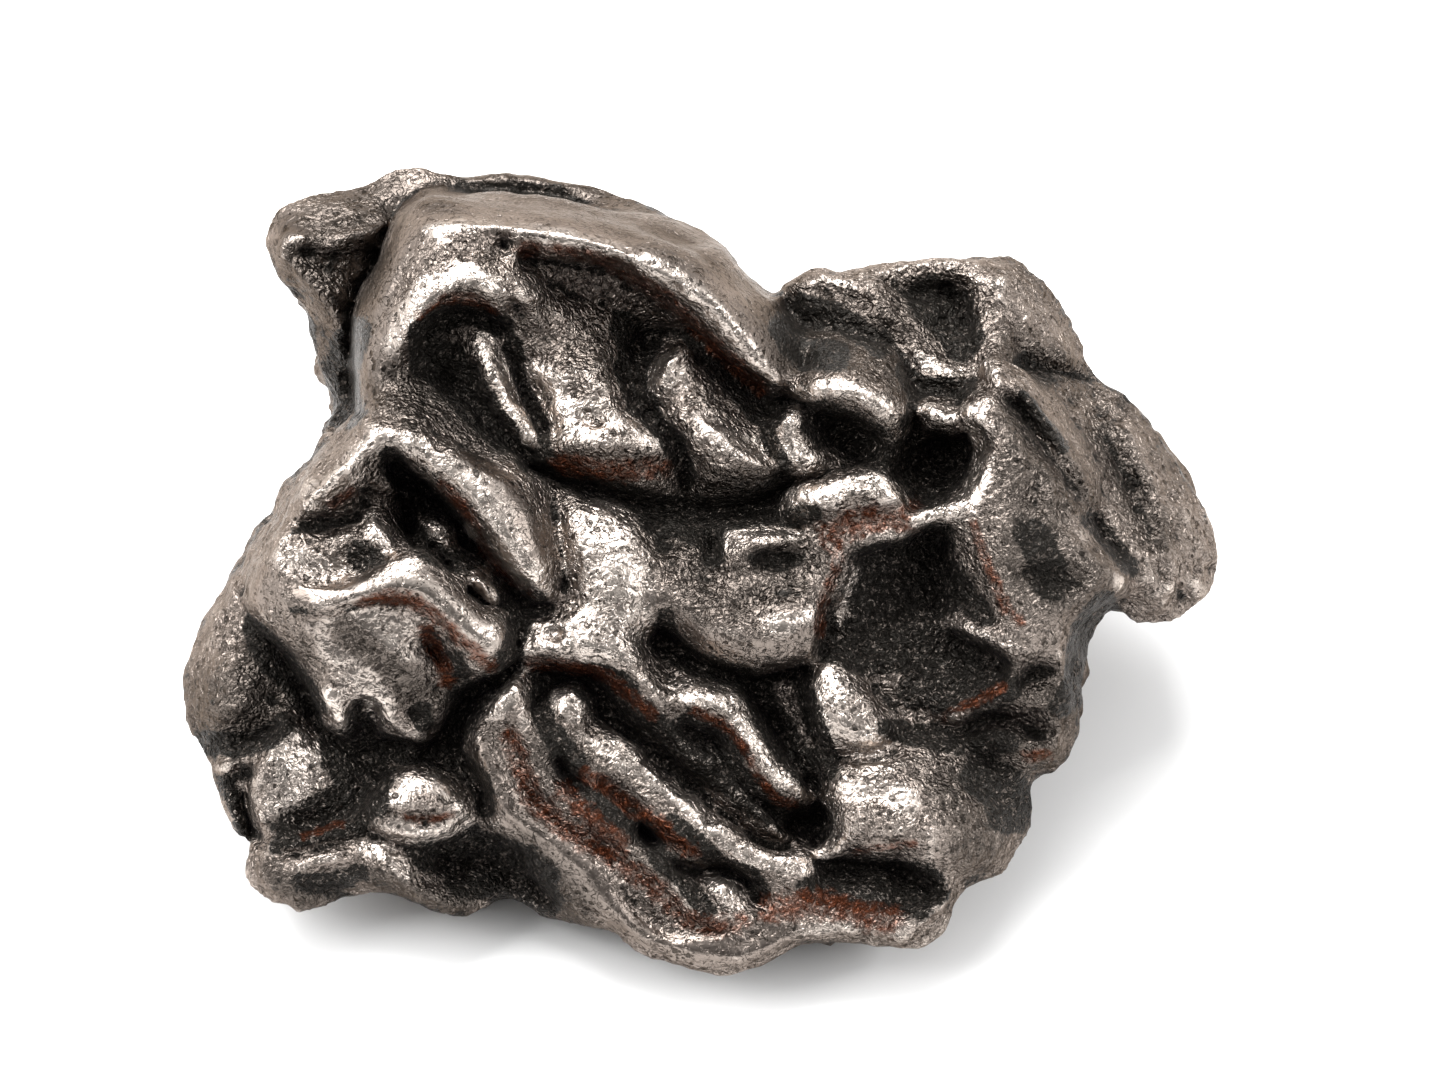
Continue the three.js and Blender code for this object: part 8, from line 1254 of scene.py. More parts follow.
# Where black oxide fills the hollows, and a few strokes of painted shade on sides turned away from the
# light: the stroke's reach in mm, then points (across, up) along it.
SOOT_AND_SHADE_STROKES = {
    "bowl deep": (0.5, [(-3.3, 7.2), (-2.8, 6.6), (-3.1, 5.6), (-2.7, 4.6)]),
    "left bowl": (0.4, [(-10.2, 7), (-9.4, 7.6), (-8.4, 7.6), (-7.4, 7.2)]),
    "left bowl floor": (0.6, [(-9.9, 6.2), (-9, 5.4), (-8.1, 4.6), (-7.3, 3.7)]),
    "left rib foot": (0.3, [(-7, 6.6), (-6.8, 5.5), (-6.3, 4.4), (-6, 3.5)]),
    "middle rib foot": (0.35, [(-3.2, 6.4), (-3.1, 5.3), (-2.4, 4.1), (-1.7, 3.2), (-1.3, 2.3)]),
    "right bowl": (0.4, [(-0.6, 6.4), (0.3, 5.4), (1, 4.6), (1.8, 4.3)]),
    "fin foot": (0.25, [(1.4, 4), (1.7, 3.2), (2.1, 2.6)]),
    "long crevice": (0.4, [(-6.5, 2.8), (-5, 2.2), (-3.5, 1.6), (-2, 1.2), (-0.5, 1.1), (1, 1.3), (2, 1.9)]),
    "under crevice": (0.3, [(-2.6, 0.7), (-1.5, 0.5), (-0.5, 0), (-0.3, 0.6), (1.5, 0.8), (3, 1)]),
    "pocket": (0.75, [(3.2, 4.1), (4.2, 3.7), (5, 3.2), (5.4, 2.8)]),
    "hole": (0.95, [(6.5, 2.7), (7.3, 2.8), (7, 2)]),
    "hole gap": (0.3, [(6.4, 5.2), (7.2, 5.3), (8.1, 5.2)]),
    "visor side": (0.2, [(5.9, 5.8), (6.3, 4.8), (6, 3.9)]),
    "valley top": (0.6, [(4.8, -0.6), (6.2, -0.4), (7.1, 0.1)]),
    "valley middle": (0.9, [(4.8, -2), (6.4, -1.8), (7.4, -1.5)]),
    "valley foot": (0.9, [(4, -3.3), (5.5, -3.5), (7, -3.7), (8.5, -4.1)]),
    "valley shelf": (0.6, [(6.4, -4.9), (8, -5.1), (9.2, -4.8)]),
    "under middle": (0.45, [(-1.9, -2.5), (-1.8, -3.2), (-1, -4), (0.3, -4.4)]),
    "ridge three side": (0.6, [(0.7, -4.7), (1.1, -5.4), (1.7, -6.2), (2.2, -7), (2.8, -7.7)]),
    "slot": (0.45, [(-11.1, 2.8), (-10.6, 1.9), (-9.9, 1.3), (-8.9, 1)]),
    "arm foot": (0.15, [(-14.3, 0.4), (-13.2, 0.6), (-12.2, 0.8)]),
    "slot branch": (0.35, [(-10.6, 0.7), (-9.9, -0.2), (-9, -0.6), (-8.4, -0.6)]),
    "block crevice": (0.45, [
        (-6.3, -1.8), (-6.7, -2.6), (-7, -3.4), (-7.6, -4.5), (-8.3, -5.3), (-8.9, -6.2), (-9.3, -6.8)]),
    "under block": (0.4, [(-12.3, -5.9), (-12, -6.5), (-10.8, -6.9), (-9.8, -7), (-8.8, -7.3)]),
    "nut side": (0.4, [(-8.8, -7.3), (-8.1, -7.9), (-7.9, -8.8)]),
    "block side": (0.45, [(-15.6, -3), (-15, -3.9), (-14.3, -4.6), (-13.7, -5.4)]),
    "lobe crease": (0.35, [(-17.3, -6.7), (-16.3, -6.8), (-15.4, -6.6), (-14.7, -6.1)]),
    "lobe strip": (0.25, [(-16.7, -8), (-16.3, -8.8), (-16, -9.7)]),
    "wedge face": (0.8, [(-12.9, -6.9), (-12.1, -7.6), (-11.8, -8.4), (-13, -8.9), (-14.4, -9.3)]),
    "roll groove": (0.2, [(-15, -10.1), (-14, -9.9), (-13, -9.7), (-12.2, -9.6)]),
    "roll scar": (0.3, [(-14.1, -11.3), (-13, -11.3), (-12.2, -11)]),
    "recess": (0.8, [(-9.7, -10.3), (-8.8, -10.3), (-8, -10.6), (-7, -10.8), (-6.4, -11.2)]),
    "recess foot": (0.5, [(-8.8, -11.3), (-7.4, -11.5), (-6, -12)]),
    "upper channel": (0.6, [
        (-4.5, -4.7), (-3.6, -5.3), (-2.7, -6), (-1.7, -6.7), (-0.6, -7.3), (0.5, -8), (1.5, -8.8),
        (2.5, -9.2), (3.2, -9.3)]),
    "under shelf": (0.4, [(-6, -4.5), (-5, -4.4), (-4, -4.4), (-3.2, -4.9)]),
    "nub foot": (0.35, [(-6.1, -5.2), (-5.9, -6.1), (-5.2, -6.8)]),
    "plate pit one": (0.4, [(-5.3, -7.1), (-5, -7.5)]),
    "plate pit two": (0.45, [(-2.7, -9.5), (-2.3, -9.8)]),
    "plate pit three": (0.4, [(-4.2, -8.6), (-3.6, -9)]),
    "pit of ridge three": (0.55, [(-1, -6.1), (-0.3, -6.4), (0.3, -7)]),
    "lower channel": (0.3, [(-2.2, -10.5), (-1.5, -11.1), (-1, -11.7), (-0.6, -12.3)]),
    "curl pit": (0.35, [(0.1, -10.9), (0.8, -11), (1.2, -11.6)]),
    "knob gap": (0.35, [(-0.4, -10.4), (-1, -9.9), (-1.6, -9.4)]),
    "under square": (0.35, [(3.2, -10.8), (4.2, -10.8), (5.5, -10.9), (6.8, -11.1), (7.2, -11.7)]),
    "bottom cave": (0.55, [(3, -11.5), (4.2, -11.7), (5.5, -11.8), (6.5, -12)]),
    "nugget side": (0.35, [(2.6, -4.4), (3, -5.6), (3.4, -6.7), (3.4, -7.6)]),
    "nugget right": (0.35, [(5.4, -6.2), (6.2, -6.4), (7.2, -6.6), (8.4, -6.7), (9.4, -6.6)]),
    "side hollow": (0.7, [(8.7, -7.8), (9.4, -8.3), (9.6, -9)]),
    "block facet": (0.35, [(7.6, -1), (8.1, -1.7), (8.6, -2.4)]),
    "keel foot": (0.35, [(11.7, -3.6), (11.7, -4.6), (11.3, -5.4)]),
    "rear bowl": (0.65, [(6.9, 8.2), (7.7, 7.6), (8, 6.8)]),
    "knob foot": (0.35, [(2.6, 8), (3.5, 7.7), (4.4, 7.2), (5.2, 6.6)]),
    "behind brow": (0.5, [(1.9, 7.2), (2.6, 6.4), (3.6, 6.2)]),
    "slab gap": (0.3, [(12.2, 0.7), (12.9, 0), (13.6, -0.8)]),
    "slab cut": (0.2, [(10, 4.9), (10.6, 4.1), (11.3, 3.2)]),
    "ear side": (0.6, [(-12.3, 7), (-12.7, 5.6), (-12.6, 4.4)]),
    "ear line": (0.2, [(-8.6, 11.9), (-7.4, 11.9), (-5.6, 11.8)]),
    "slot foot": (0.35, [(-7.5, -1.2), (-7, -2)]),
    "lip foot": (0.15, [(-14.4, -2.2), (-13, -2.3), (-11.8, -1.9), (-10.6, -1.9)]),
    # Painted shade on the keel's side, which faces away from the lamps.
    "shaded keel side": (0.4, [(12.7, -2), (12, -3), (11.8, -4.2), (11.8, -5)]),
    "leg gap": (0.2, [(-12.3, -5.3), (-12.2, -6)]),
    "mid pit": (0.35, [(-0.5, 0.3), (-0.3, 0), (-0.3, -0.45)]),
    "right curls": (0.5, [(10.3, 0.2), (10.7, -0.6), (10.9, -1.4)]),
    "face pit one": (0.35, [(-9.8, -3.1), (-9.6, -3.6)]),
    "face pit two": (0.45, [(-9, -4), (-8.8, -4.8)]),
    "face pit three": (0.3, [(-10.1, -5.6), (-10, -6)]),
    "lump two side": (0.4, [(-12.1, -0.3), (-11.3, -0.8)]),
    # Painted shade under the white crest.
    "shade under white crest": (0.25, [(1.1, -0.55), (1.9, -0.65)]),
}

# Where handling has rubbed the metal bright, in the same way. Some strokes are painted highlights
# where light falls on a face, such as the middle right and the face light.
RUBBED_AND_HIGHLIGHT_STROKES = {
    "hood crest": (0.35, [
        (-9.6, 10.4), (-8.4, 10.8), (-7, 10.7), (-6, 10.3), (-5, 10.2), (-4, 10), (-3, 9.6), (-2, 9.1),
        (-1, 8.3), (0, 7.4), (0.8, 6.5), (1.6, 5.6)]),
    "left crest": (0.35, [(-10.9, 5.6), (-11.1, 6.6), (-10.6, 7.6), (-9.8, 8.5), (-8.8, 9), (-7.8, 8.6)]),
    "rib one": (0.35, [(-8, 6.6), (-7.4, 5.4), (-6.8, 4.2), (-6.4, 3.5)]),
    "rib two": (0.35, [(-4.4, 4.6), (-4.2, 4.3)]),
    "rib two lip": (0.25, [(-5.7, 3.7), (-4.5, 3.8), (-3.4, 4.1), (-2.4, 3.3)]),
    "rib three": (0.35, [(-2.4, 5.4), (-1.8, 6), (-1.5, 5.4)]),
    "rib three foot": (0.35, [(-0.6, 4.1), (0, 3.6), (0.8, 3.2), (1.2, 2.9)]),
    "fin": (0.35, [(2.3, 4.3), (2.2, 3.5), (2.6, 2.8)]),
    "visor": (0.3, [(2.6, 5), (3.6, 5.2), (4.6, 5), (5.4, 4.6)]),
    "star": (0.35, [(2, 1.6), (3, 1.8), (4, 1.9), (5, 2.1), (5.4, 1.6)]),
    "hole rim": (0.35, [(8.3, 4.4), (8.6, 3.4), (8.7, 2.5), (8.2, 1.6), (7.4, 1), (6.6, 0.8)]),
    "hole knob": (0.25, [(6.8, 4.4), (7.5, 4.3)]),
    "middle left": (0.8, [(-4.9, 0.3), (-4.5, -0.8), (-4.1, -1.7), (-4.6, -2.8)]),
    "middle top": (0.7, [(-4, 0.9), (-3.5, -0.4), (-3, -1.8), (-3.2, -3)]),
    "shelf": (0.5, [(-6.3, -3.1), (-5.4, -3), (-4.6, -3.4), (-3.6, -3.6)]),
    "middle fold": (0.3, [(0.3, 0.1), (1.4, 0.3), (2.4, 0.2)]),
    # Painted highlight where the middle curves down to the right.
    "middle right": (0.45, [(1.4, -2.2), (2, -2.6), (2.6, -2.2)]),
    "ridge three": (0.2, [(0.7, -6), (1.1, -6.6), (1.6, -7.4), (2.2, -8), (2.8, -8.5)]),
    "plate peak": (0.35, [(-6.9, -4.3), (-7.2, -4.9), (-7.6, -5.6)]),
    "ridge two": (0.25, [
        (-5, -6.4), (-4, -7), (-3, -7.6), (-2, -8.2), (-1, -8.9), (-0.2, -9.7), (0.5, -10.4)]),
    "nugget": (0.6, [(3.6, -4.8), (3.8, -5.8), (4.4, -6.5), (5, -6.9)]),
    "square block": (0.35, [(4.2, -8.3), (5.2, -8.3), (6.2, -8.6)]),
    "square lip": (0.25, [(3.5, -8.6), (3.9, -9.6), (3.4, -10.4)]),
    "curl": (0.25, [(0.6, -10.4), (1.4, -10.6), (2.2, -10.6), (2.8, -10.9)]),
    "curl knob": (0.3, [(-0.3, -11.2), (0.2, -11.5), (0.4, -12)]),
    "left arm": (0.4, [(-13.6, 1.7), (-12.8, 2.2), (-12.2, 2.7), (-11.6, 3.3)]),
    "right arm": (0.3, [(-11.2, 3.5), (-10.2, 3.2), (-9.4, 2.6), (-8.8, 2.2)]),
    "hollow floor": (0.5, [(-14.1, -0.6), (-13.2, -1), (-12.4, -1.2)]),
    "hollow edge": (0.25, [(-11.8, 0.6), (-11.2, 0.2), (-11.2, -0.3)]),
    "long lip": (0.4, [
        (-13.4, -1.8), (-12.4, -1.6), (-11.4, -1.1), (-10.6, -1), (-9.7, -1.6), (-8.8, -2.4), (-7.8, -3.2)]),
    "slot knob": (0.35, [(-8.1, -1.1), (-7.8, -1.6)]),
    # Painted highlight on the left face.
    "face light": (1.2, [(-12.4, -3.2), (-11.4, -3.4), (-11.6, -4.6)]),
    "nub": (0.4, [(-5.4, -5.3), (-5.1, -5.6)]),
    "wedge": (0.7, [(-14, -6.9), (-14.3, -7.9), (-14.6, -8.7)]),
    "nut": (0.3, [(-10.9, -8.4), (-10, -8), (-9, -8.3)]),
    "nut lip": (0.3, [(-10.9, -9.5), (-9.8, -9.8), (-8.7, -9.3)]),
    "recess rim": (0.3, [(-11.9, -10.2), (-11.2, -10.4), (-10.6, -11.1)]),
    "valley edge": (0.2, [(3.9, -2.6), (4.1, -1.8), (4.4, -0.9)]),
    "keel": (0.25, [(13.2, -1.5), (12.5, -0.6), (12, 0.2)]),
    "rear knob": (0.25, [(3, 8.6), (3.8, 8.6), (4.6, 8.2), (5.4, 7.5), (6, 6.8)]),
    "rear edge": (0.25, [(6.4, 6.1), (7.2, 5.8), (8, 5.6), (8.8, 5.6)]),
    "ear edge": (0.25, [(-14.7, 9.6), (-14.2, 10.3), (-12.8, 10.2), (-11.6, 10.5), (-10.9, 10.9)]),
    "middle belly": (0.45, [(0.1, -1.2), (0.8, -1.6), (1.3, -2)]),
    "arm roll": (0.55, [(-8.6, 2.4), (-7.8, 1.6), (-7.4, 0.6), (-7, -0.4), (-6.3, -1.2)]),
    "ridge three head": (0.35, [(-1.5, -4.8), (-0.6, -5), (0.2, -5.3), (0.6, -5.8)]),
    "slot bead": (0.2, [(-8.6, 0.5), (-8.4, 0.3)]),
    "leg one": (0.25, [(-13.2, -5), (-12.9, -5.6), (-12.7, -6)]),
    "valley rim": (0.12, [(7.6, -5.85), (8.4, -5.55), (9.2, -5.2), (9.6, -4.4)]),
    "bowl curls": (0.5, [(-6.3, 5.6), (-5.4, 4.6), (-4.5, 3.9)]),
}

# Where the metal is left dull and pitted, half way to black. One stroke is painted shadow behind the
# hood's top edge.
DULL_AND_SHADOW_STROKES = {
    "lobe": (1.4, [(-17, -5.6), (-16, -5.2), (-15, -4.6)]),
    "ear hollow": (1.2, [(-14, 9.2), (-13, 8.8), (-12.2, 9.4), (-13.2, 10.6), (-11.6, 11.2)]),
    "ear flank": (0.6, [(-13.6, 7.6), (-13.1, 6.4), (-12.8, 5.2)]),
    "left bowl": (0.8, [(-9.8, 6.6), (-9, 5.8), (-8.4, 5)]),
    "left slope": (0.9, [(-11.2, 5.2), (-10, 4.6), (-9, 4.1), (-7.8, 3.4)]),
    "rib two belly": (0.6, [(-5.8, 2.7), (-4.4, 2.4), (-2.6, 2.2)]),
    "rib three belly": (0.5, [(-0.6, 1.9), (0.8, 2), (2, 2.2)]),
    "right bowl": (0.6, [(0.2, 5.6), (1, 4.9), (1.6, 4.6)]),
    "behind visor": (0.8, [(3, 6.6), (4.4, 6.3), (5.6, 5.7)]),
    "knob slope": (0.9, [(2.6, 8), (4, 7.7), (5.4, 7)]),
    "rear hollow": (0.9, [(6.8, 8.2), (7.6, 7.4)]),
    "hole gap": (0.4, [(6.6, 5.2), (7.6, 5.2), (8.4, 5.2)]),
    "right face": (1.2, [(10.2, -0.6), (11.2, -1.2), (12, -1.2)]),
    "right face high": (1, [(10, 2.4), (10.4, 1.2), (10.2, 0)]),
    "right strips": (0.7, [(9.8, 4.4), (10.8, 3), (11.8, 1.6)]),
    "right foot": (0.8, [(9.8, -4.6), (10.8, -4.8), (11.2, -5.8)]),
    "low facets": (0.8, [(8.8, -6), (10, -6.6), (10.8, -7.2)]),
    "middle dimple": (0.6, [(-1.8, 0.2), (-1.2, -0.6), (-0.6, -1)]),
    "middle hollow": (0.6, [(1.2, -0.5), (2.2, -0.6), (3, -0.6)]),
    "middle belly": (0.6, [(-1, -1.6), (-0.2, -2), (2.4, -1.6)]),
    "plate": (0.9, [(-5.6, -7), (-4.4, -8.2), (-3.2, -9.4), (-2, -10.2)]),
    "plate outer": (0.6, [(-6.6, -10.2), (-5.6, -11.4), (-4.8, -12.2)]),
    "square side": (0.8, [(7.6, -8), (8.4, -9.2), (8.4, -10.4)]),
    "roll": (0.35, [(-15.2, -11), (-14, -11.9), (-12.8, -11.7)]),
    "toe": (0.5, [(-11.4, -11.2), (-10, -12), (-8.8, -12.2)]),
    "hood side": (0.8, [(1.4, 8.2), (2, 7.2), (2.5, 6.2)]),
    "slab": (0.6, [(12.6, 3.8), (13.6, 2), (14.6, 0.2)]),
    "shoulder": (0.7, [(9.8, 6.6), (10.8, 6), (11.8, 5.4)]),
    "hood top": (0.6, [
        (-10, 11.6), (-8.6, 11.8), (-6.6, 11.6), (-4.6, 11.2), (-2.6, 10.5), (-0.8, 9.8), (0.8, 8.9)]),
    "hood left": (0.5, [(-11.4, 9.9), (-11.9, 8.4), (-12.3, 7), (-12.6, 5.6)]),
    # Painted shadow behind the hood's top edge.
    "shadow behind hood": (0.5, [(-8.8, 12.4), (-7.4, 12.4), (-5.6, 12.2), (-3.8, 11.8), (-2, 11.1)]),
    "ear top": (0.4, [(-14.6, 10.6), (-13.4, 10.9), (-12.2, 11.3), (-11, 12)]),
    "rear slope": (1.2, [(10.4, 10.2), (12, 8.8), (13.2, 7), (14.6, 5.2), (16, 3)]),
    "left face": (0.45, [(-12.6, -3), (-11.8, -3.6), (-11, -4.2)]),
    "face low": (0.6, [(-10.6, -4.6), (-10, -5.2), (-9.4, -5.6)]),
    "middle spot": (0.4, [(0.3, -1), (0.4, -1.6)]),
}

# Where a red-brown rust shows through, along grooves and under lips.
RUST = {
    "groove one": (0.45, [
        (-7.1, -6.5), (-6.7, -7.5), (-6.4, -8.5), (-5.6, -9.2), (-4.8, -9.9), (-4, -10.2), (-3.3, -10.8),
        (-2.5, -11.3), (-1.9, -11.9), (-1.2, -12.5), (-0.3, -12.8), (0.5, -12.6)]),
    "groove two": (0.35, [
        (-4.6, -7.7), (-3.8, -8.2), (-3.2, -8.7), (-2.3, -9.2), (-1.7, -9.9), (-1, -10.3)]),
    "under ridge three": (0.25, [
        (-1, -5.6), (0.1, -6.1), (0.7, -6.8), (1.1, -7.6), (1.7, -8.5), (2.3, -8.7)]),
    "right block edge": (0.25, [(8.3, 0.6), (8.6, -0.3), (9, -1.2), (9.4, -2.2), (9.9, -2.6)]),
    "arm inside": (0.3, [(-9.4, 1.9), (-8.6, 1.2), (-8.2, 0.2), (-7.7, -0.6), (-7, -1.2), (-6.4, -1.6)]),
    "under long lip": (0.35, [
        (-12, -1.9), (-10.8, -1.8), (-10, -2.1), (-9.2, -2.7), (-8.5, -3.4), (-7.8, -4.1)]),
    "face hollow": (0.35, [(-10, -2.9), (-9.6, -3.6), (-9.2, -4.6)]),
    "under hood": (0.35, [
        (-6.7, 9.8), (-5.6, 9.8), (-4.4, 9.6), (-3.2, 9), (-2, 8.2), (-1, 7.3), (0, 6.3), (1.2, 5.2)]),
    "under left crest": (0.25, [(-10.2, 7.6), (-9.4, 8.1), (-8.4, 8.1), (-7.6, 7.8)]),
    "rib two foot": (0.45, [(-5.4, 2.7), (-4.2, 2.5), (-3, 2.4), (-2.1, 2.5)]),
    "under star": (0.6, [(3.6, 0.3), (4.6, 0.7), (5.6, 0.8), (6.3, 0.9)]),
    "middle edge": (0.25, [(3.2, -3), (3.2, -2.2), (3.5, -1.4), (3.8, -0.6), (3.8, 0.1)]),
    "shelf lip": (0.3, [(-6.4, -4), (-5.2, -4.1), (-4, -4.4), (-3.2, -5), (-2.4, -5.7)]),
    "valley dish": (0.25, [(7.5, -5.8), (8.4, -5.3), (9.3, -4.8)]),
    "bottom cave": (0.6, [(1.6, -12.2), (2.8, -12), (4.2, -12.3), (5.6, -12.6)]),
    "side": (0.25, [(10.1, -7.1), (10.8, -7.1)]),
    "square lip": (0.2, [(4.4, -10.3), (5.4, -10.1), (6.3, -10)]),
    "nut groove": (0.2, [(-10.6, -9.1), (-9.8, -9.2), (-9, -9)]),
    "plate pits": (0.4, [(-5.4, -8.2), (-4.4, -9.2), (-3.4, -10)]),
    "roll crest": (0.2, [(-14, -9.8), (-12.8, -9.4)]),
    "left arm": (0.25, [(-13, 1.3), (-12.4, 1.7)]),
}

# The sides and the back, which are not handled, stay duller. The dull strokes, with the painted shadow
# behind the hood, lie on the front.
UNHANDLED_DULL = 0.6
dull_and_shadow = np.maximum(paint(DULL_AND_SHADOW_STROKES, face_place) * on_skin[0], UNHANDLED_DULL * (1 - on_skin[0]))
shares = {"near_depth": near_depth, "shade": shade, "dull_and_shadow": dull_and_shadow}
for name, strokes in (("soot_and_shade_share", SOOT_AND_SHADE_STROKES), ("rubbed_and_highlight_share", RUBBED_AND_HIGHLIGHT_STROKES), ("rust", RUST), ("satin", SATIN)):
    shares[name] = paint(strokes, face_place) * on_skin[0]
for name, values in shares.items():
    attribute = thinned.attributes.new(name, "FLOAT", "POINT")
    attribute.data.foreach_set("value", values.astype(np.float32))

# Worn nickel-iron: warm grey metal, black oxide in the hollows, rubbed bright crests, painted shade
# in the deeper folds and painted highlights on some faces.
iron = bpy.data.materials.new("worn_iron")
iron.use_nodes = True
nodes, links = iron.node_tree.nodes, iron.node_tree.links
surface = nodes["Principled BSDF"]
OXIDE_SHEEN = 0.25  # the oxide is matt
EDGE_TINT = (0.56, 0.51, 0.47, 1)  # worn iron stays rather dark when seen edge on
surface.inputs["Specular IOR Level"].default_value = OXIDE_SHEEN
surface.inputs["Specular Tint"].default_value = EDGE_TINT


def add_node(kind, inputs=None, **settings):
    """A node with its settings, and each input joined to a socket or given a value."""
    node = nodes.new(kind)
    for key, value in settings.items():
        setattr(node, key, value)
    for key, value in (inputs or {}).items():
        if isinstance(value, bpy.types.NodeSocket):
            links.new(value, node.inputs[key])
        else:
            node.inputs[key].default_value = value
    return node


def math_of(operation, first, second):
    """What a math node makes of two values."""
    return add_node("ShaderNodeMath", {0: first, 1: second}, operation=operation).outputs[0]


def weigh(*terms):
    """The sum of values, each times its weight."""
    total = 0.0
    for value, weight in terms:
        total = add_node("ShaderNodeMath", {0: value, 1: weight, 2: total},
                         operation="MULTIPLY_ADD").outputs[0]
    return total


def ramp(value, low, high, start=0.0, end=1.0):
    """A value that runs from start to end as another runs from low to high, and holds beyond them."""
    node = add_node("ShaderNodeMapRange", {"Value": value, "From Min": low, "From Max": high,
                                           "To Min": start, "To Max": end}, clamp=True)
    return node.outputs["Result"]


def mix_colour(share, first, second):
    """The first colour, turned into the second by a share. The node's colour sockets are 6, 7 and 2."""
    return add_node("ShaderNodeMix", {0: share, 6: first, 7: second}, data_type="RGBA").outputs[2]


def stored(name):
    """A share stored on the mesh."""
    return add_node("ShaderNodeAttribute", attribute_name=name).outputs["Fac"]


def noise(size, detail=3.0, roughness=0.5, warp=0.0):
    """Noise whose lumps are the given number of millimetres across."""
    return add_node("ShaderNodeTexNoise", {"Vector": place, "Scale": 1 / (size * MM), "Detail": detail,
                                           "Roughness": roughness, "Distortion": warp}).outputs["Fac"]


def specks(size, reach, share):
    """1 in the middle of small specks, in a share of their cells, and 0 between them."""
    cells = add_node("ShaderNodeTexVoronoi", {"Vector": crooked, "Scale": 1 / (size * MM)})
    chosen = add_node("ShaderNodeSeparateColor", {"Color": cells.outputs["Color"]}).outputs[0]
    return math_of("MULTIPLY", ramp(cells.outputs["Distance"], reach, 0.6 * reach),
                   math_of("LESS_THAN", chosen, share))


def cracks(size, width, share):
    """1 along short thin curved lines."""
    apart = math_of("ABSOLUTE", math_of("SUBTRACT", noise(size, 2.0, 0.5, 0.8), 0.5), 0.0)
    return math_of("MULTIPLY", ramp(apart, width, 0.4 * width),
                   ramp(noise(1.6 * size, 1.0, 0.5), 1 - share, 1.03 - share))


place = add_node("ShaderNodeTexCoord").outputs["Object"]
STIR_SIZE = 0.2 * MM
STIR_REACH = 0.22 * MM
stir = add_node("ShaderNodeTexNoise", {"Vector": place, "Scale": 1 / STIR_SIZE, "Detail": 1.0})
crooked = add_node("ShaderNodeVectorMath", {0: stir.outputs["Color"], 1: (STIR_REACH,) * 3, 2: place},
                   operation="MULTIPLY_ADD").outputs[0]
near_hollow = stored("near_depth")
dull_and_shadow_share = stored("dull_and_shadow")
satin = stored("satin")
hollow = ramp(near_hollow, 0.02, 0.10)
crest = ramp(near_hollow, -0.02, -0.12)
mottle = noise(0.9, 5.0, 0.6)
peel = noise(0.30, 2.0, 0.5, 0.4)
curls = noise(0.30, 1.5, 0.5, 1.5)
glint = ramp(noise(0.18, 1.5, 0.5, 1.5), 0.58, 0.66)
grit = noise(0.08, 2.0, 0.5)

# Small pits and cracks, which come in patches.
marks = math_of("MAXIMUM", specks(0.42, 0.30, 0.6), specks(0.24, 0.32, 0.5))
marks = math_of("MULTIPLY", marks, ramp(noise(1.3, 2.0, 0.5), 0.42, 0.54, 0.2, 1.0))
marks = math_of("MAXIMUM", marks, cracks(0.55, 0.014, 0.6))
marks = math_of("MAXIMUM", marks, math_of("MULTIPLY", cracks(0.28, 0.020, 0.5), 0.7))

# How bright the metal is, from rubbed wear and painted highlights; how dark, from oxide and painted
# shade; and where rust shows through.
GREY = (0.182, 0.153, 0.134, 1)
BRIGHT = (0.56, 0.492, 0.440, 1)
OXIDE_AND_SHADE_BLACK = (0.0105, 0.0093, 0.0080, 1)
RED_BROWN = (0.085, 0.024, 0.010, 1)
# Rubbed wear and painted highlights lighten the metal towards the bright colour.
polish_and_highlights = ramp(weigh((crest, 0.60), (stored("rubbed_and_highlight_share"), 0.5), (dull_and_shadow_share, -0.8), (satin, -0.3), (curls, 0.7),
                    (mottle, 0.6)), 0.72, 1.43)
# Dull patches, and the painted shadow behind the hood, darken the grey half way to black.
base = mix_colour(polish_and_highlights, mix_colour(math_of("MULTIPLY", dull_and_shadow_share, 0.5), GREY, OXIDE_AND_SHADE_BLACK), BRIGHT)
# Oxide in the small hollows and along the soot strokes, plus painted shade from the fold depth and from a
# few shaded sides.
oxide_and_shade_sum = weigh((hollow, 0.55), (stored("shade"), 0.42), (stored("soot_and_shade_share"), 0.80), (dull_and_shadow_share, 0.18),
             (stored("rubbed_and_highlight_share"), -0.40), (satin, -0.25), (mottle, 0.9), (curls, 0.8), (peel, -0.4))
oxide_and_shade_share = math_of("MULTIPLY", ramp(oxide_and_shade_sum, 0.91, 1.07), ramp(glint, 0, 1, 1.0, 0.3))
marked_and_shaded = math_of("MAXIMUM", oxide_and_shade_share, math_of("MULTIPLY", marks, 0.75))
rusty = ramp(weigh((stored("rust"), 0.9), (noise(0.30, 4.0, 0.65), 1.6), (polish_and_highlights, -0.6), (curls, 0.6)),
             1.55, 2.15)
stained_and_shaded = mix_colour(marked_and_shaded, base, OXIDE_AND_SHADE_BLACK)
links.new(mix_colour(math_of("MULTIPLY", rusty, 0.8), stained_and_shaded, RED_BROWN), surface.inputs["Base Color"])
links.new(ramp(weigh((oxide_and_shade_share, -0.7), (rusty, 0.6)), -0.7, 0.0, 0.3, 1.0), surface.inputs["Metallic"])
links.new(ramp(weigh((oxide_and_shade_share, 0.3), (grit, 0.3), (polish_and_highlights, -0.2)), 0, 1, 0.30, 0.46),
          surface.inputs["Roughness"])

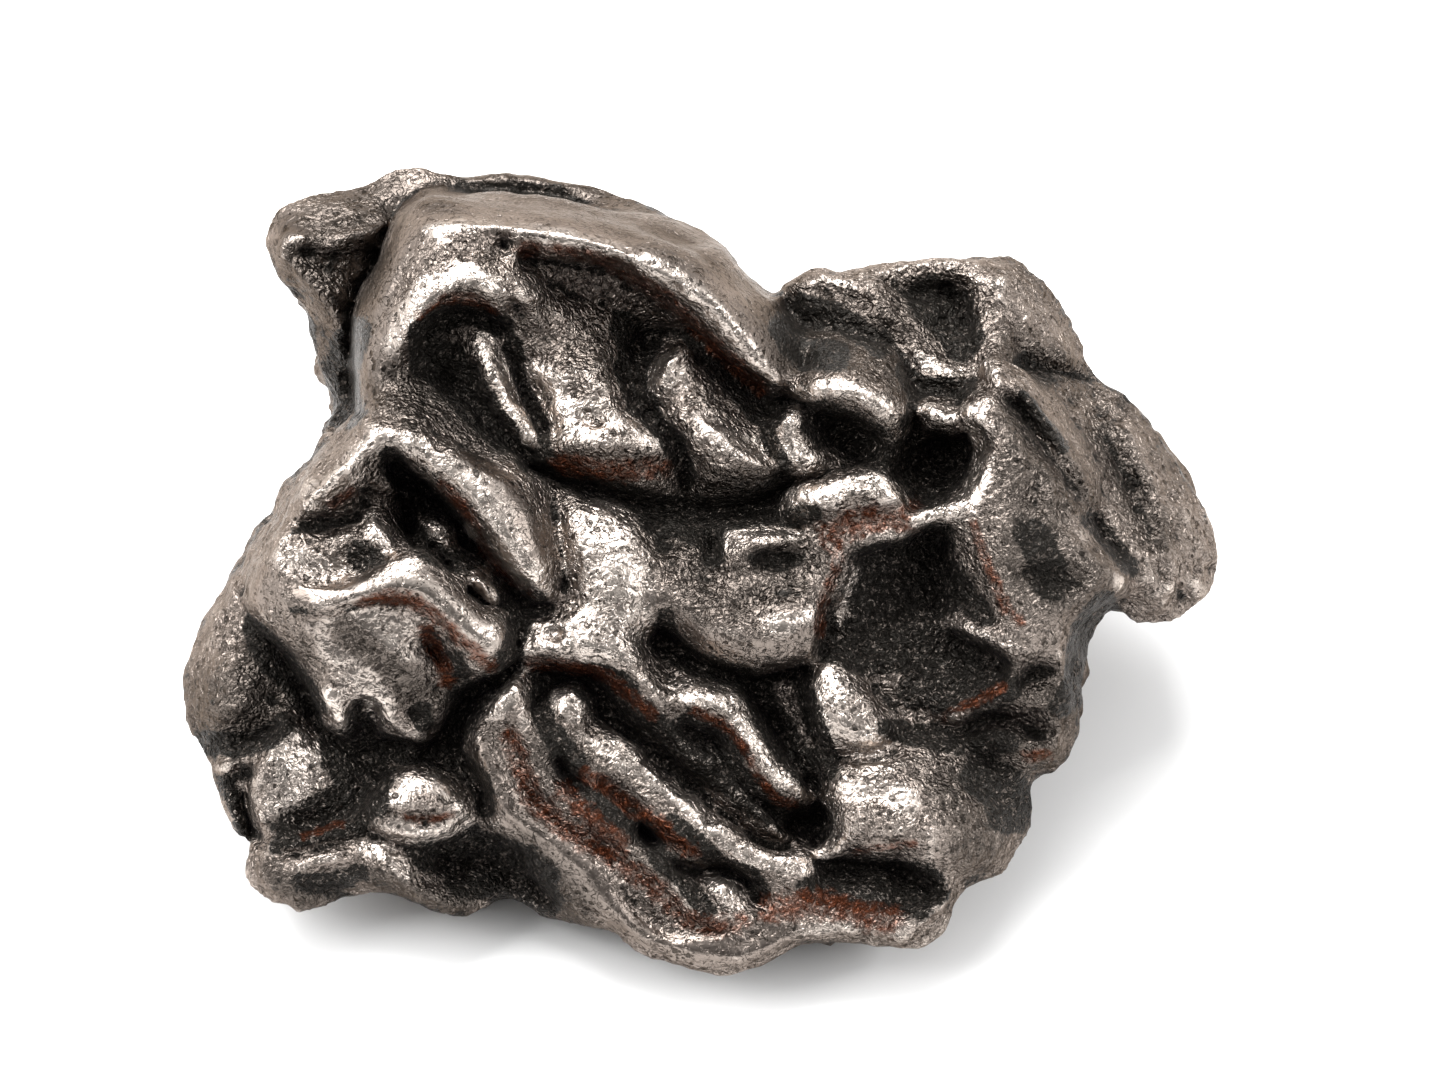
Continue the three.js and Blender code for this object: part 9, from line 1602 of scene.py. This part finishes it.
# The grain stands out most in the hollows, and is worn down where the metal is rubbed or smooth.
peeling = math_of("MULTIPLY", weigh((peel, 0.9), (curls, 0.7)), ramp(oxide_and_shade_sum, 0.5, 1.5, 0.40, 1.0))
peeling = math_of("MULTIPLY", peeling, ramp(polish_and_highlights, 0.2, 1.0, 1.0, 0.65))
peeling = math_of("MULTIPLY", peeling, ramp(satin, 0, 1, 1.0, 0.25))
bump = add_node("ShaderNodeBump", {"Height": weigh((peeling, 1.0), (grit, 0.04), (marks, -0.35)),
                                   "Strength": 1.0, "Distance": 0.30 * MM})
links.new(bump.outputs["Normal"], surface.inputs["Normal"])
thinned.materials.clear()
thinned.materials.append(iron)

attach(meteorite, "root")
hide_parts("meteorite")

# ------------------------------------------------------------------------
# The floor.
# A plain white table top, much wider than the view, that the meteorite rests on.
# ------------------------------------------------------------------------

FLOOR_HALF = 1.5  # metres from the middle to each edge
corners = np.array([[-1, -1, 0], [1, -1, 0], [1, 1, 0], [-1, 1, 0]]) * FLOOR_HALF
floor = bpy.data.objects.new("floor", build_mesh("floor", corners, np.array([[0, 1, 2, 3]])))
bpy.context.scene.collection.objects.link(floor)
WHITE = (0.9, 0.9, 0.9, 1)
paper = bpy.data.materials.new("white_floor")
paper.use_nodes = True
paper_surface = paper.node_tree.nodes["Principled BSDF"]
paper_surface.inputs["Base Color"].default_value = WHITE
paper_surface.inputs["Roughness"].default_value = 0.9
floor.data.materials.append(paper)

# ------------------------------------------------------------------------
# The studio.
# One wide soft box stands behind and above, and a weak one at each side. The walls are dim, and
# brightest behind and above.
# ------------------------------------------------------------------------

AIM = FACE_CENTRE * MM


def soft_box(name, azimuth, elevation, distance, width, height, power):
    """A flat light aimed at the meteorite from an azimuth (0 is behind it) and an elevation."""
    light = bpy.data.lights.new(name, "AREA")
    light.shape = "RECTANGLE"
    light.size, light.size_y, light.energy = width, height, power
    box = bpy.data.objects.new(name, light)
    bpy.context.scene.collection.objects.link(box)
    turn, rise = math.radians(azimuth), math.radians(elevation)
    way = np.array([math.sin(turn) * math.cos(rise), math.cos(turn) * math.cos(rise), math.sin(rise)])
    box.location = AIM + way * distance
    box.rotation_euler = Vector(-way).to_track_quat("-Z", "Y").to_euler()


# Azimuth and elevation in degrees, distance, width and height in metres, and watts.
soft_box("back_box", -20, 58, 0.55, 0.50, 0.36, 7.3)
soft_box("left_box", -95, 40, 0.60, 0.30, 0.40, 2.8)
soft_box("right_box", 100, 30, 0.70, 0.45, 0.40, 3.6)

BRIGHTEST_WAY = (-0.25, 0.75, 0.6)  # behind and above, and a little to the left
DIM_WALLS = 0.12
BRIGHT_WALLS = 1.3
world = bpy.data.worlds.new("studio")
world.use_nodes = True
dome = world.node_tree
sky_way = dome.nodes.new("ShaderNodeTexCoord").outputs["Generated"]
towards = dome.nodes.new("ShaderNodeVectorMath")
towards.operation = "DOT_PRODUCT"
towards.inputs[1].default_value = BRIGHTEST_WAY
dome.links.new(sky_way, towards.inputs[0])
glow = dome.nodes.new("ShaderNodeMapRange")
glow.inputs["From Min"].default_value = -0.4
glow.inputs["From Max"].default_value = 0.9
glow.inputs["To Min"].default_value = DIM_WALLS
glow.inputs["To Max"].default_value = BRIGHT_WALLS
dome.links.new(towards.outputs["Value"], glow.inputs["Value"])
dome.links.new(glow.outputs["Result"], dome.nodes["Background"].inputs["Strength"])
dome.nodes["Background"].inputs["Color"].default_value = (1.0, 1.0, 1.0, 1)
bpy.context.scene.world = world

# ------------------------------------------------------------------------
# The camera.
# It looks square onto the leaning face from well back, through a long lens.
# ------------------------------------------------------------------------

CAMERA_AWAY = 0.8  # metres
PICTURE_WIDTH = 1448  # points across the finished picture
POINTS_PER_MM = 30
VIEW_WIDTH = PICTURE_WIDTH / POINTS_PER_MM * MM
SENSOR = 36.0  # mm, as is the lens
camera_data = bpy.data.cameras.new("camera")
camera_data.sensor_fit = "HORIZONTAL"
camera_data.sensor_width = SENSOR
camera_data.lens = SENSOR * CAMERA_AWAY / VIEW_WIDTH
camera_data.clip_start, camera_data.clip_end = 0.01, 10
camera = bpy.data.objects.new("camera", camera_data)
bpy.context.scene.collection.objects.link(camera)
camera.location = AIM + np.array([0, -LEAN_COS, LEAN_SIN]) * CAMERA_AWAY
camera.rotation_euler = (math.pi / 2 - FACE_LEAN, 0, 0)
bpy.context.scene.camera = camera
bpy.context.scene.view_settings.view_transform = "Standard"
